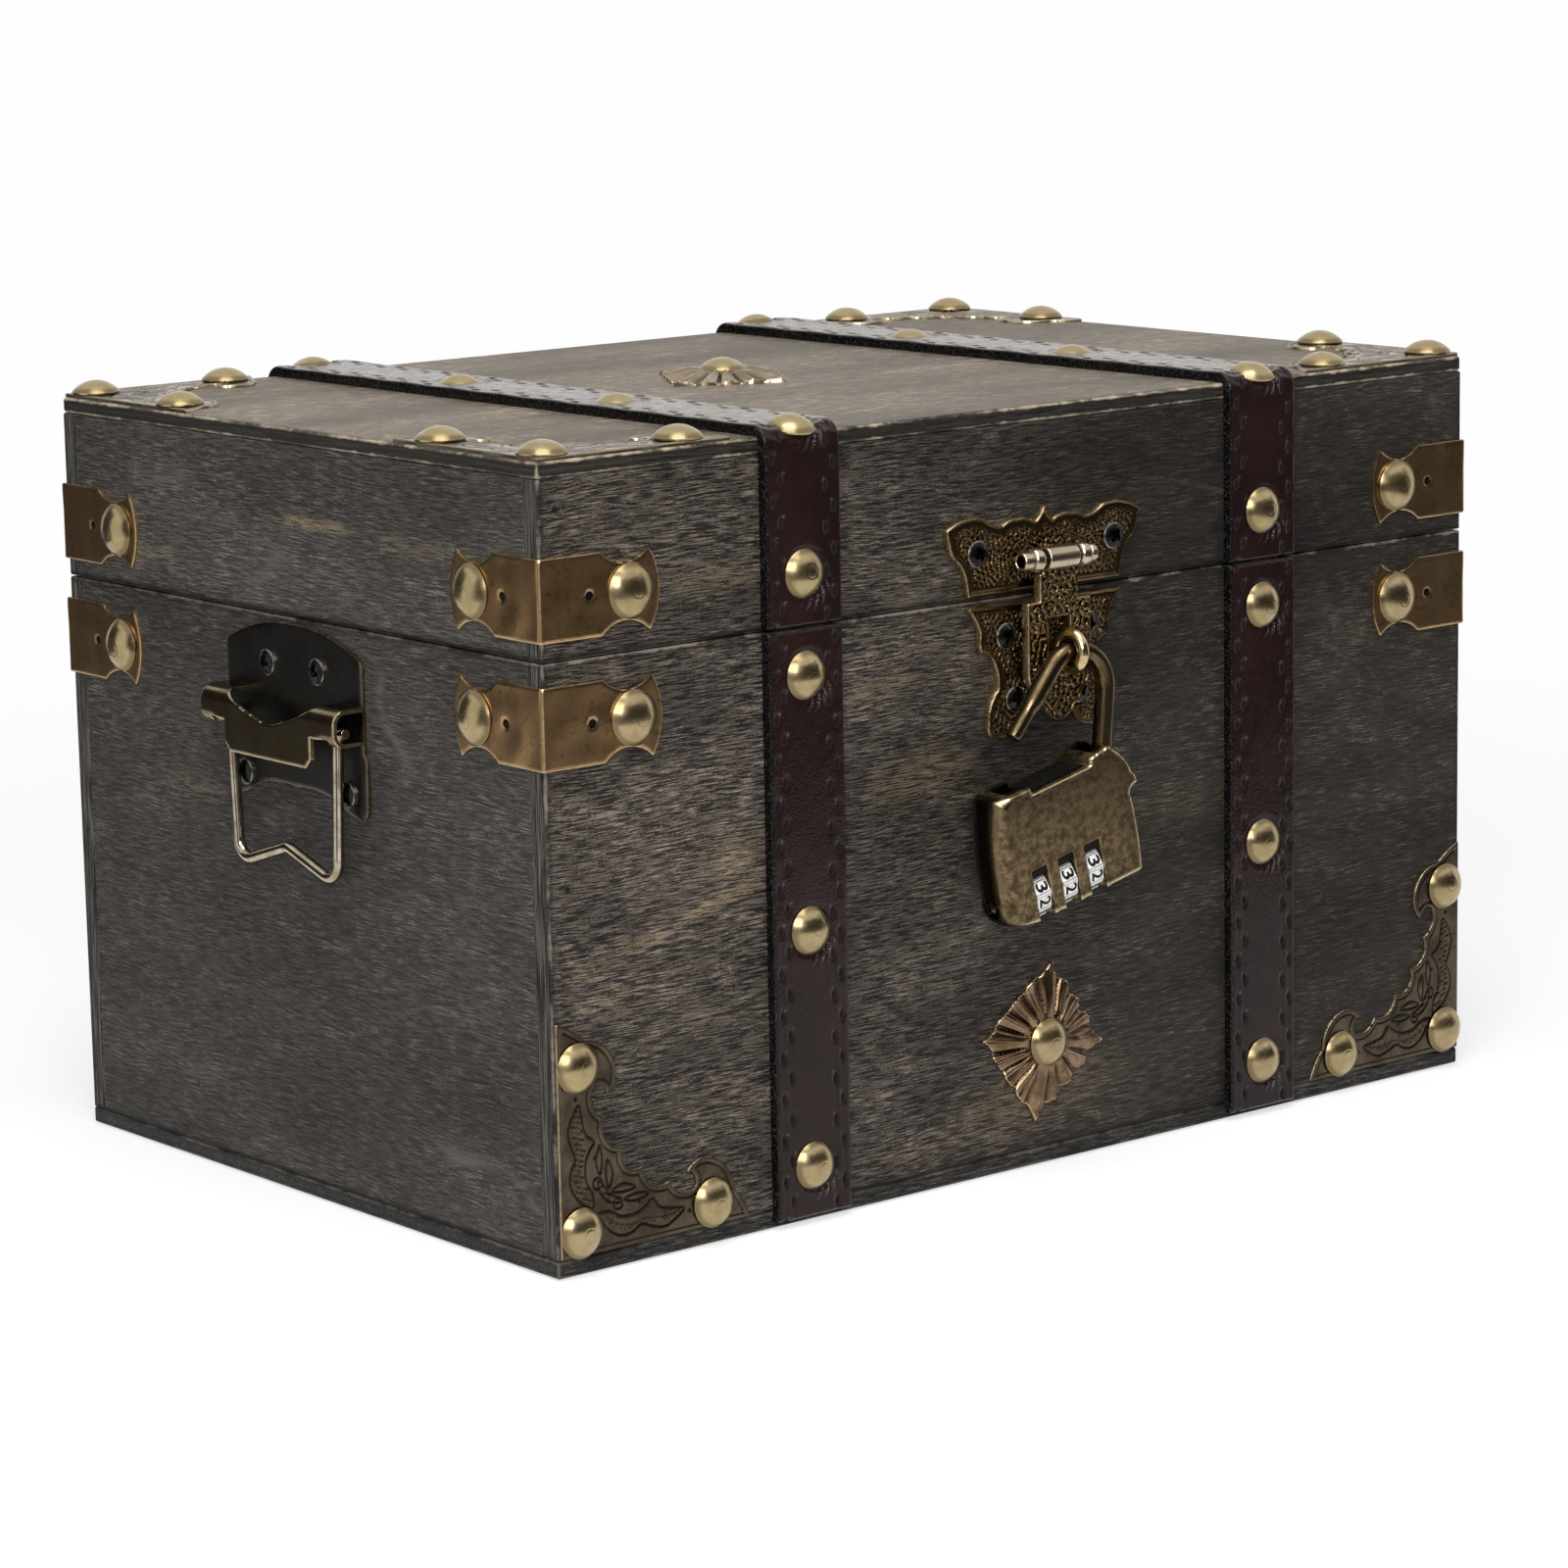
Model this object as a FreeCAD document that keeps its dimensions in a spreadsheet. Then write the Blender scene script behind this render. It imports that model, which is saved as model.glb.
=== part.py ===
import FreeCAD, Part
import math
import os
import Sketcher
from types import SimpleNamespace

# A wooden keepsake chest with leather straps, brass nails, a butterfly clasp and a number padlock.
# X runs to the right along the front, -Y is the front, +Z is up.
# The origin is the middle of the footprint, on the surface that the chest stands on.

SIZES = {
    # wooden box, outside sizes
    "box_width": 270.0,
    "box_depth": 180.0,
    "box_height": 170.0,
    "lid_height": 41.0,
    "wall": 5.0,
    "top_board": 3.6,
    "base_board": 3.6,
    "rim_gap": 0.3,
    "board_ease": 0.5,
    "top_ease": 0.9,
    # leather straps
    "strap_width": 20.4,
    "strap_thick": 2.4,
    "strap_clear": 6.7,
    "strap_foot": 1.5,
    "strap_cut": 0.4,
    "strap_bend": 4.4,
    "strap_ease": 0.7,
    # places of the strap nails, from the rim, the floor and the middle of the lid
    "strap_nail_rise": 11.5,
    "strap_nail_drop": 10.1,
    "strap_nail_middle": 64.0,
    "strap_nail_low": 12.5,
    "strap_nail_top": 29.0,
    "strap_nail_sink": 0.5,
    "bend_nail_tilt": 25.0,
    # domed nails
    "nail_head": 12.0,
    "nail_dome": 3.0,
    "nail_rim": 0.5,
    "nail_shank": 1.6,
    "nail_length": 4.2,
    "nail_point": 1.6,
    # sheet of the bands, plates and ornaments, and their punched holes
    "sheet": 0.8,
    "punch_play": 0.15,
    # folded corner bands
    "band_height": 17.2,
    "band_waist": 15.0,
    "band_tip": 27.5,
    "band_rise": 12.7,
    "band_drop": 13.6,
    "band_nail": 22.5,
    "band_hole": 12.0,
    "band_hole_size": 2.0,
    "band_fold": 0.7,
    # embossed corner plates
    "plate_leg": 50.0,
    "plate_foot": 4.2,
    "plate_edge": 0.6,
    "plate_nail_near": 5.0,
    "plate_nail_far": 40.0,
    # four-pointed ornaments
    "ornament_size": 35.0,
    "ornament_peak": 1.8,
    "ornament_peak_size": 15.0,
    "ornament_rise": 28.3,
    "ornament_turn": 8.5,
    "lid_ornament_across": -12.0,
    "lid_ornament_back": 3.0,
    # wood screws
    "screw_head": 5.8,
    "screw_dome": 1.5,
    "screw_rim": 0.5,
    "screw_shank": 2.2,
    "screw_length": 4.6,
    "screw_recess": 0.9,
    "screw_recess_size": 3.2,
    "screw_recess_slot": 0.8,
    # butterfly clasp
    "clasp_shift": 1.0,
    "clasp_sheet": 2.0,
    "wing_span": 56.4,
    "wing_height": 18.8,
    "wing_gap": 1.2,
    "tail_span": 45.0,
    "tail_height": 29.4,
    "tail_gap": 1.4,
    "wing_screw_across": 20.0,
    "wing_screw_rise": 9.3,
    "tail_screw_across": 12.0,
    "tail_screw_drop": 8.3,
    "tail_screw_low_across": 9.4,
    "tail_screw_low_drop": 22.5,
    "pin_rise": 8.2,
    "pin_stand": 6.2,
    "pin_size": 2.4,
    "pin_play": 0.06,
    "pin_head": 4.2,
    "pin_head_long": 1.8,
    "pin_tail_long": 5.5,
    "pin_bore": 1.4,
    "knuckle_size": 5.4,
    "knuckle_long": 3.4,
    "knuckle_gap": 0.3,
    "hasp_knuckle_long": 9.4,
    "hasp_width": 18.4,
    "hasp_neck": 11.2,
    "hasp_length": 36.0,
    "hasp_shoulder": 9.4,
    "hasp_sheet": 2.2,
    "hasp_stand": 4.4,
    "hasp_slot": 6.4,
    "hasp_slot_drop": 13.2,
    "hasp_slot_long": 12.6,
    "staple_drop": 12.0,
    "staple_stand": 10.0,
    "staple_ring": 7.6,
    "staple_wire": 2.4,
    # padlock
    "shackle_size": 3.7,
    "shackle_bend": 8.9,
    "shackle_shift": 1.2,
    "shackle_foot_across": 8.5,
    "shackle_foot_drop": 27.0,
    "shackle_tip_across": 17.4,
    "shackle_tip_drop": 17.3,
    "shackle_eye": 4.8,
    "shackle_eye_thick": 3.2,
    "pivot_size": 2.2,
    "pivot_play": 0.05,
    "lock_tilt": 13.0,
    "lock_width": 42.7,
    "lock_height": 30.2,
    "lock_thick": 11.0,
    "lock_round": 4.6,
    "lock_ease": 0.8,
    "lock_play": 0.35,
    "lock_recess": 7.2,
    "lock_recess_deep": 7.0,
    "lock_mouth_long": 6.6,
    "lock_mouth_wide": 4.6,
    "lock_mouth_deep": 10.0,
    "lock_mouth_across": 26.9,
    "latch_step": 1.3,
    "dial_size": 12.2,
    "dial_wide": 4.1,
    "dial_pitch": 7.95,
    "dial_across": 18.9,
    "dial_drop": 19.3,
    "dial_play": 0.25,
    "spindle_size": 4.6,
    "spindle_play": 0.05,
    "spindle_inset": 1.0,
    # side handles
    "handle_shift": -1.5,
    "handle_sheet": 1.0,
    "handle_width": 53.0,
    "handle_height": 40.0,
    "handle_drop": 1.4,
    "handle_screw_across": 9.5,
    "handle_screw_drop": 9.2,
    "handle_low_across": 19.5,
    "handle_low_drop": 34.6,
    "tunnel_long": 51.0,
    "tunnel_drop": 19.2,
    "tunnel_depth": 6.5,
    "tunnel_height": 6.4,
    "tunnel_bend": 2.2,
    "tunnel_dip": 4.6,
    "tunnel_lip": 3.2,
    "flap_wide": 33.0,
    "flap_drop": 28.6,
    "notch_rise": 1.0,
    "bail_wire": 2.8,
    "bail_play": 0.2,
    "bail_stand": 2.9,
    "bail_wide": 41.0,
    "bail_stub": 4.0,
    "bail_drop": 33.5,
    "bail_taper": 1.6,
    "bail_dip": 6.0,
    "bail_corner": 4.0,
    "bail_bend": 2.2,
    # butt hinges on the back
    "hinge_clear": 2.0,
    "hinge_long": 30.0,
    "hinge_leaf": 12.0,
    "hinge_sheet": 1.0,
    "hinge_knuckle": 4.8,
    "hinge_stand": 2.6,
    "hinge_pin": 2.4,
    "hinge_pin_play": 0.05,
    "hinge_gap": 0.3,
    "hinge_screw_across": 9.0,
    "hinge_screw_rise": 7.6,
    # reach of every cut past the face that it starts from
    "overrun": 1.0,
}

# Half of the corner plate's inner edge, from the tip of one leg to the inner corner on the diagonal:
# shares of the leg along the other leg and along this one, and the bulge to the next point.
PLATE_SHARES = [
    (0.0, 1.0, -0.05),
    (0.14, 0.915, -0.18),
    (0.30, 0.775, -0.15),
    (0.255, 0.665, 0.35),
    (0.175, 0.70, 0.20),
    (0.235, 0.568, 0.29),
    (0.325, 0.43, 0.147),
]
PLATE_CORNER_SHARE = 0.34

# Right half of the clasp's upper plate, from the spike to the lower corner:
# shares of half the span and of the height, and the bulge to the next point.
WING_SHARES = [
    (0.0, 1.0, 0.12),
    (0.09, 0.78, -0.10),
    (0.285, 0.83, -0.10),
    (0.43, 0.775, 0.08),
    (0.62, 0.885, -0.10),
    (1.0, 0.80, -0.06),
    (0.94, 0.47, 0.10),
    (0.815, 0.20, 0.0),
    (0.79, 0.0, 0.0),
]

# Right half of the clasp's lower plate, from the upper corner to the middle of the foot:
# shares of half the span and of the height, measured down, and the bulge to the next point.
TAIL_SHARES = [
    (1.0, 0.0, 0.06),
    (0.84, 0.20, -0.10),
    (0.83, 0.335, 0.15),
    (0.65, 0.46, 0.10),
    (0.63, 0.64, -0.12),
    (0.75, 0.88, -0.30),
    (0.60, 1.0, -0.10),
    (0.44, 0.96, 0.15),
]
TAIL_NOTCH_SHARE = 0.80

# Right half of the hasp's lower end, from the straight side to the tip:
# shares of half the width and of the length, measured down, and the bulge to the next point.
HASP_SHARES = [
    (1.0, 0.66, -0.10),
    (0.78, 0.82, -0.05),
    (0.45, 0.92, -0.14),
]

# The padlock's outline from its lower left, to the right round it, from the shackle's pivot:
# shares of the width and of the height, and the bulge to the next point.
LOCK_SHARES = [
    (-0.88, -0.575, 0.30),
    (-0.75, -0.805, 0.0),
    (0.03, -0.805, 0.30),
    (0.055, -0.76, 0.03),
    (0.063, -0.205, -0.20),
    (0.12, -0.165, 0.15),
    (0.10, -0.056, 0.08),
    (0.0, 0.17, 0.25),
    (-0.06, 0.195, 0.05),
    (-0.162, 0.172, 0.0),
    (-0.173, 0.126, 0.0),
    (-0.58, 0.126, 0.0),
    (-0.585, 0.175, 0.0),
    (-0.81, 0.175, 0.04),
]
LOCK_FORK_LEFT_SHARE = -0.095
LOCK_FORK_LOW_SHARE = -0.09
LOCK_RECESS_RIGHT_SHARE = -0.18
LOCK_RECESS_LEFT_SHARE = -0.575
LOCK_TOP_SHARE = 0.175
LOCK_ROUND_LEFT_SHARE = -0.82
LOCK_ROUND_LOW_SHARE = -0.5

# The handle plate's right half, from the middle of its arched top to the middle of its foot:
# shares of half the width and of the height, measured down, and the bulge to the next point.
HANDLE_SHARES = [
    (0.0, 0.0, -0.06),
    (0.94, 0.13, -0.16),
    (0.965, 0.20, 0.0),
    (0.965, 0.635, 0.0),
    (1.0, 0.67, 0.0),
    (1.0, 0.93, -0.28),
    (0.83, 0.985, -0.06),
    (0.62, 0.93, 0.06),
]
HANDLE_FOOT_SHARE = 0.89
TUNNEL_DIP_SHARE = 0.35
TUNNEL_SIDE_SHARE = 0.06
TUNNEL_MIDDLE_SHARE = 0.10

# The bulges of a band's notches and of its end, and of the heads of nails and screws.
BAND_NOTCH_SHARE = 0.21
BAND_TAIL_SHARE = 0.15
NAIL_DOME_SHARE = 0.11
SCREW_DOME_SHARE = 0.12

# Each side of an ornament has this many lobes, each bulging by this share of its chord.
ORNAMENT_LOBES = 5
ORNAMENT_LOBE_SHARE = 0.12
ORNAMENT_FOOT_SHARE = 0.9

# The bulge of a quarter circle.
QUARTER_SHARE = (math.sqrt(2) - 1) / 2

RIGHT, LEFT = 1, -1
FRONT, BACK = -1, 1
UP, AHEAD = FreeCAD.Vector(0, 0, 1), FreeCAD.Vector(0, -1, 0)
FRONT_PLANE, SIDE_PLANE, FLOOR_PLANE = "XZ_Plane", "YZ_Plane", "XY_Plane"


class Size:
    # A length together with the sheet expression that gives it.
    def __init__(self, value, text):
        self.value = value
        self.text = text

    def __add__(self, other):
        return Size(self.value + other.value, f"({self.text} + {other.text})")

    def __sub__(self, other):
        return Size(self.value - other.value, f"({self.text} - {other.text})")

    def __mul__(self, share):
        return Size(self.value * share, f"({self.text} * ({share}))")

    def __truediv__(self, count):
        return Size(self.value / count, f"({self.text} / {count})")

    def __neg__(self):
        return self * -1


def span(across, up):
    return Size(math.hypot(across.value, up.value), f"hypot({across.text}; {up.text})")


def make_sheet(doc):
    sheet = doc.addObject("Spreadsheet::Sheet", "Sizes")
    for row, (name, value) in enumerate(SIZES.items(), start=1):
        sheet.set(f"A{row}", name)
        sheet.set(f"B{row}", str(value))
        sheet.setAlias(f"B{row}", name)
    doc.recompute()
    return SimpleNamespace(**{name: Size(sheet.get(name), f"Sizes.{name}") for name in SIZES})


doc = FreeCAD.newDocument("TreasureChest")
dim = make_sheet(doc)
zero = Size(0.0, "0")
nodes = {}

# Places that many pieces share.
half_width = dim.box_width / 2
half_depth = dim.box_depth / 2
rim = dim.box_height - dim.lid_height
lid_foot = rim + dim.rim_gap / 2
body_top = rim - dim.rim_gap / 2
strap_face = half_depth + dim.strap_thick
clasp_face = half_depth + dim.clasp_sheet
pin_height = rim + dim.pin_rise
pin_depth = half_depth + dim.pin_stand
staple_height = rim - dim.staple_drop
staple_depth = half_depth + dim.staple_stand
pivot_across = dim.clasp_shift + dim.shackle_foot_across
pivot_height = staple_height - dim.shackle_foot_drop
handle_top = rim - dim.handle_drop
tunnel_middle = handle_top - dim.tunnel_drop
bail_height = tunnel_middle - dim.tunnel_height / 2 + dim.bail_wire / 2 + dim.bail_play
bail_depth = half_width + dim.handle_sheet + dim.bail_stand
hinge_depth = half_depth + dim.hinge_stand
strap_place = half_width - dim.plate_edge - dim.plate_leg - dim.strap_clear - dim.strap_width / 2
hinge_place = strap_place - dim.strap_width / 2 - dim.hinge_clear - dim.hinge_long / 2
nail_hole = dim.nail_shank + dim.punch_play * 2
screw_hole = dim.screw_shank + dim.punch_play * 2
sheet_cut = (dim.sheet + dim.overrun) * 2


def new_body(label):
    body = doc.addObject("PartDesign::Body", label)
    body.Label = label
    return body


def sketch_on(body, plane, lift):
    sketch = body.newObject("Sketcher::SketchObject", "Outline")
    origin_plane = next(item for item in body.Origin.OriginFeatures if item.Role == plane)
    sketch.AttachmentSupport = [(origin_plane, "")]
    sketch.MapMode = "FlatFace"
    sketch.setExpression("AttachmentOffset.Base.z", lift.text)
    return sketch


def bind(sketch, constraint, size):
    index = sketch.addConstraint(constraint)
    sketch.setExpression(f"Constraints[{index}]", size.text)


def pin_point(sketch, geometry, end, across, up):
    bind(sketch, Sketcher.Constraint("DistanceX", -1, 1, geometry, end, across.value), across)
    bind(sketch, Sketcher.Constraint("DistanceY", -1, 1, geometry, end, up.value), up)


def add_side(sketch, start, finish, bulge):
    # One side of an outline: a line, or an arc whose depth is the bulge's share of its chord.
    # A positive bulge lies to the right of the way from start to finish.
    first = FreeCAD.Vector(start[0].value, start[1].value, 0)
    last = FreeCAD.Vector(finish[0].value, finish[1].value, 0)
    if bulge == 0:
        return sketch.addGeometry(Part.LineSegment(first, last)), 1, 2
    along = last - first
    chord_share = (0.25 + bulge * bulge) / (2 * abs(bulge))
    radius = along.Length * chord_share
    left = FreeCAD.Vector(-along.y, along.x, 0).normalize() * math.copysign(1, bulge)
    centre = (first + last) * 0.5 + left * (radius - abs(bulge) * along.Length)
    angles = [math.atan2(point.y - centre.y, point.x - centre.x) for point in (first, last)]
    ends = (1, 2) if bulge > 0 else (2, 1)
    if bulge < 0:
        angles.reverse()
    circle = Part.Circle(centre, FreeCAD.Vector(0, 0, 1), radius)
    side = sketch.addGeometry(Part.ArcOfCircle(circle, angles[0], angles[1]))
    chord = span(finish[0] - start[0], finish[1] - start[1])
    bind(sketch, Sketcher.Constraint("Radius", side, radius), chord * chord_share)
    return side, ends[0], ends[1]


def trace(sketch, corners):
    # A closed outline through corners of (across, up) or (across, up, bulge to the next one).
    sides = []
    for index, corner in enumerate(corners):
        following = corners[(index + 1) % len(corners)]
        bulge = corner[2] if len(corner) > 2 else 0
        sides.append(add_side(sketch, corner, following, bulge))
    for index, (side, start, _) in enumerate(sides):
        before, _, finish = sides[index - 1]
        sketch.addConstraint(Sketcher.Constraint("Coincident", before, finish, side, start))
        pin_point(sketch, side, start, corners[index][0], corners[index][1])


def trace_box(sketch, low, high):
    trace(sketch, [(low[0], low[1]), (high[0], low[1]), (high[0], high[1]), (low[0], high[1])])


def trace_circle(sketch, across, up, diameter):
    centre = FreeCAD.Vector(across.value, up.value, 0)
    circle = sketch.addGeometry(Part.Circle(centre, FreeCAD.Vector(0, 0, 1), diameter.value / 2))
    bind(sketch, Sketcher.Constraint("Diameter", circle, diameter.value), diameter)
    pin_point(sketch, circle, 3, across, up)


def pad(body, sketch, length, backwards=False, both_ways=False):
    feature = body.newObject("PartDesign::Pad", "Pad")
    feature.Profile = sketch
    feature.setExpression("Length", length.text)
    feature.Reversed = backwards
    feature.Midplane = both_ways
    return feature


def cut(body, sketch, length, backwards=False, both_ways=False):
    doc.recompute()
    before = body.Shape.Volume
    feature = body.newObject("PartDesign::Pocket", "Cut")
    feature.Profile = sketch
    feature.setExpression("Length", length.text)
    feature.Reversed = backwards
    feature.Midplane = both_ways
    doc.recompute()
    if not body.Shape.Volume < before:
        raise ValueError(f"{body.Label}: a cut takes nothing away")
    return feature


def ease(body, radius, wanted=None):
    # Rounds all edges, or those that the function wanted picks.
    doc.recompute()
    tip = body.Tip
    edges = [f"Edge{index}" for index, edge in enumerate(tip.Shape.Edges, start=1)
             if wanted is None or wanted(edge)]
    feature = body.newObject("PartDesign::Fillet", "Ease")
    feature.Base = (tip, edges)
    feature.setExpression("Radius", radius.text)
    return feature


def runs_along(edge, direction):
    first, last = edge.Vertexes[0].Point, edge.Vertexes[-1].Point
    return edge.Curve.TypeId == "Part::GeomLine" and (last - first).normalize().cross(direction).Length < 1e-6


def keep(label, thing):
    thing.Label = label
    nodes[label] = thing
    return thing


def board(label, low, high, radius):
    # A sawn board between two corners, with its edges eased.
    body = new_body(label)
    sketch = sketch_on(body, FLOOR_PLANE, low[2])
    trace_box(sketch, low, high)
    pad(body, sketch, high[2] - low[2])
    ease(body, radius)
    return keep(label, body)


def frame_boards(names, low, high):
    # Four upright boards: the front and back ones cover the ends of the side ones.
    front, back, left, right = names
    inner_depth = half_depth - dim.wall
    inner_width = half_width - dim.wall
    board(front, (-half_width, -half_depth, low), (half_width, -inner_depth, high), dim.board_ease)
    board(back, (-half_width, inner_depth, low), (half_width, half_depth, high), dim.board_ease)
    board(left, (-half_width, -inner_depth, low), (-inner_width, inner_depth, high), dim.board_ease)
    board(right, (inner_width, -inner_depth, low), (half_width, inner_depth, high), dim.board_ease)


def wooden_box():
    lid_roof = dim.box_height - dim.top_board
    board("base_board", (-half_width, -half_depth, zero), (half_width, half_depth, dim.base_board),
          dim.board_ease)
    frame_boards(["front_board", "back_board", "left_side_board", "right_side_board"],
                 dim.base_board, body_top)
    frame_boards(["lid_front_rail", "lid_back_rail", "lid_left_rail", "lid_right_rail"],
                 lid_foot, lid_roof)
    board("lid_top_board", (-half_width, -half_depth, lid_roof), (half_width, half_depth, dim.box_height),
          dim.top_ease)


def strap(label, across, corners):
    # A flat strap: its side view carried over its width, with eased long edges.
    body = new_body(label)
    sketch = sketch_on(body, SIDE_PLANE, across)
    trace(sketch, corners)
    pad(body, sketch, dim.strap_width, both_ways=True)
    reach = half_depth.value + dim.strap_thick.value / 2
    roof = dim.box_height.value + dim.strap_thick.value / 2

    def outer(edge):
        middle = edge.CenterOfMass
        on_face = abs(middle.y) > reach or middle.z > roof
        return on_face and abs(abs(middle.x - across.value) - dim.strap_width.value / 2) < dim.strap_cut.value
    ease(body, dim.strap_ease, outer)
    return keep(label, body)


def straps():
    roof = dim.box_height
    top = roof + dim.strap_thick
    body_end = rim - dim.strap_cut
    lid_end = rim + dim.strap_cut
    inner_bend = dim.top_ease
    over_lid = [
        (-half_depth, lid_end),
        (-half_depth, roof - inner_bend, -QUARTER_SHARE),
        (-half_depth + inner_bend, roof),
        (half_depth - inner_bend, roof, -QUARTER_SHARE),
        (half_depth, roof - inner_bend),
        (half_depth, lid_end),
        (strap_face, lid_end),
        (strap_face, top - dim.strap_bend, QUARTER_SHARE),
        (strap_face - dim.strap_bend, top),
        (-strap_face + dim.strap_bend, top, QUARTER_SHARE),
        (-strap_face, top - dim.strap_bend),
        (-strap_face, lid_end),
    ]
    for name, side in (("left", LEFT), ("right", RIGHT)):
        across = strap_place * side
        strap(f"lid_strap_{name}", across, over_lid)
        for place, facing in (("front", FRONT), ("back", BACK)):
            inner, outer = half_depth * facing, strap_face * facing
            strap(f"{place}_strap_{name}", across,
                  [(inner, dim.strap_foot), (inner, body_end), (outer, body_end), (outer, dim.strap_foot)])


def corner_band(label, side, facing, middle):
    # A strip folded round a vertical corner, each leg ending in a fish tail.
    body = new_body(label)
    half = dim.band_height / 2
    low, high = middle - half, middle + half
    for plane, reach, sense, lift_sense, other, outward in (
            (FRONT_PLANE, half_width, side, -facing, half_depth, facing == FRONT),
            (SIDE_PLANE, half_depth, facing, side, half_width, side == RIGHT)):
        sketch = sketch_on(body, plane, other * lift_sense)
        outer = (reach + dim.sheet) * sense
        waist = (reach - dim.band_waist) * sense
        tip = (reach - dim.band_tip) * sense
        notch, tail = BAND_NOTCH_SHARE * sense, -BAND_TAIL_SHARE * sense
        trace(sketch, [(outer, low), (waist, low, notch), (tip, low, tail), (tip, high, notch),
                       (waist, high), (outer, high)])
        pad(body, sketch, dim.sheet, backwards=not outward)
        holes = sketch_on(body, plane, other * lift_sense)
        trace_circle(holes, (reach - dim.band_nail) * sense, middle, nail_hole)
        trace_circle(holes, (reach - dim.band_hole) * sense, middle, dim.band_hole_size)
        cut(body, holes, sheet_cut, both_ways=True)
    corner = FreeCAD.Vector((half_width + dim.sheet).value * side, (half_depth + dim.sheet).value * facing, 0)

    def fold(edge):
        middle_point = edge.CenterOfMass
        flat = FreeCAD.Vector(middle_point.x, middle_point.y, 0)
        return runs_along(edge, FreeCAD.Vector(0, 0, 1)) and flat.distanceToPoint(corner) < dim.sheet.value / 2
    ease(body, dim.band_fold, fold)
    return keep(label, body)


def corner_bands():
    for place, facing in (("front", FRONT), ("back", BACK)):
        for name, side in (("left", LEFT), ("right", RIGHT)):
            corner_band(f"lid_band_{place}_{name}", side, facing, rim + dim.band_rise)
            corner_band(f"body_band_{place}_{name}", side, facing, rim - dim.band_drop)


def corner_plate(label, plane, lift, corner, across_sense, up_sense):
    # A plate with two equal legs along the edges of the wood and a scrolled inner edge.
    body = new_body(label)
    turn = across_sense * up_sense

    def place(across_share, up_share, bulge=0):
        across = corner[0] + dim.plate_leg * (across_share * across_sense)
        up = corner[1] + dim.plate_leg * (up_share * up_sense)
        return across, up, bulge * turn

    bulges = [bulge for _, _, bulge in PLATE_SHARES]
    one_leg = [place(across, up, bulge) for across, up, bulge in PLATE_SHARES]
    middle = place(PLATE_CORNER_SHARE, PLATE_CORNER_SHARE, bulges[-1])
    other_leg = [place(up, across, before)
                 for (across, up, _), before in zip(PLATE_SHARES, [0] + bulges[:-1])]
    sketch = sketch_on(body, plane, lift)
    trace(sketch, one_leg + [middle] + other_leg[::-1] + [place(0, 0)])
    pad(body, sketch, dim.sheet)
    holes = sketch_on(body, plane, lift)
    for across, up in plate_nail_offsets():
        trace_circle(holes, corner[0] + across * across_sense, corner[1] + up * up_sense, nail_hole)
    cut(body, holes, sheet_cut, both_ways=True)
    return keep(label, body)


def plate_nail_offsets():
    near, far = dim.plate_nail_near, dim.plate_nail_far
    return [(near, near), (near, far), (far, near)]


def plate_corners():
    # Each corner plate: its name, plane, face, corner and the ways of its legs.
    across = half_width - dim.plate_edge
    back = half_depth - dim.plate_edge
    for name, side in (("left", LEFT), ("right", RIGHT)):
        yield f"front_corner_plate_{name}", FRONT_PLANE, half_depth, (across * side, dim.plate_foot), -side, 1
        for place, facing in (("front", FRONT), ("back", BACK)):
            corner = (across * side, back * facing)
            yield f"lid_corner_plate_{place}_{name}", FLOOR_PLANE, dim.box_height, corner, -side, -facing


def ornament(label, position, turn):
    # A pressed four-pointed plate with scalloped sides, rising to the nail in its middle.
    body = new_body(label)
    reach = dim.ornament_size / 2
    tips = [(1, 0), (0, 1), (-1, 0), (0, -1)]
    corners = []
    for (across, up), (next_across, next_up) in zip(tips, tips[1:] + tips[:1]):
        for step in range(ORNAMENT_LOBES):
            share = step / ORNAMENT_LOBES
            corners.append((reach * (across + (next_across - across) * share),
                            reach * (up + (next_up - up) * share), ORNAMENT_LOBE_SHARE))
    sketch = sketch_on(body, FLOOR_PLANE, zero)
    trace(sketch, corners)
    pad(body, sketch, dim.sheet)
    foot = sketch_on(body, FLOOR_PLANE, dim.sheet)
    trace(foot, [(reach * (across * ORNAMENT_FOOT_SHARE), reach * (up * ORNAMENT_FOOT_SHARE))
                 for across, up in tips])
    crown = sketch_on(body, FLOOR_PLANE, dim.sheet + dim.ornament_peak)
    trace(crown, [(dim.ornament_peak_size / 2 * across, dim.ornament_peak_size / 2 * up) for across, up in tips])
    rise = body.newObject("PartDesign::AdditiveLoft", "Rise")
    rise.Profile = foot
    rise.Sections = [crown]
    hole = sketch_on(body, FLOOR_PLANE, zero)
    trace_circle(hole, zero, zero, nail_hole)
    cut(body, hole, (dim.sheet + dim.ornament_peak + dim.overrun) * 2, both_ways=True)
    body.Placement = FreeCAD.Placement(FreeCAD.Vector(), turn)
    place_at(body, position)
    return keep(label, body)


def place_at(thing, position):
    for axis, size in zip("xyz", position):
        thing.setExpression(f"Placement.Base.{axis}", size.text)


def plates_and_ornaments():
    for label, plane, lift, corner, across_sense, up_sense in plate_corners():
        corner_plate(label, plane, lift, corner, across_sense, up_sense)
    face_front = FreeCAD.Rotation(FreeCAD.Vector(1, 0, 0), 90)
    clockwise = FreeCAD.Rotation(FreeCAD.Vector(0, 0, 1), -dim.ornament_turn.value)
    ornament("front_ornament", (zero, -half_depth, dim.ornament_rise), face_front * clockwise)
    ornament("lid_ornament", (dim.lid_ornament_across, dim.lid_ornament_back, dim.box_height), clockwise)


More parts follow.
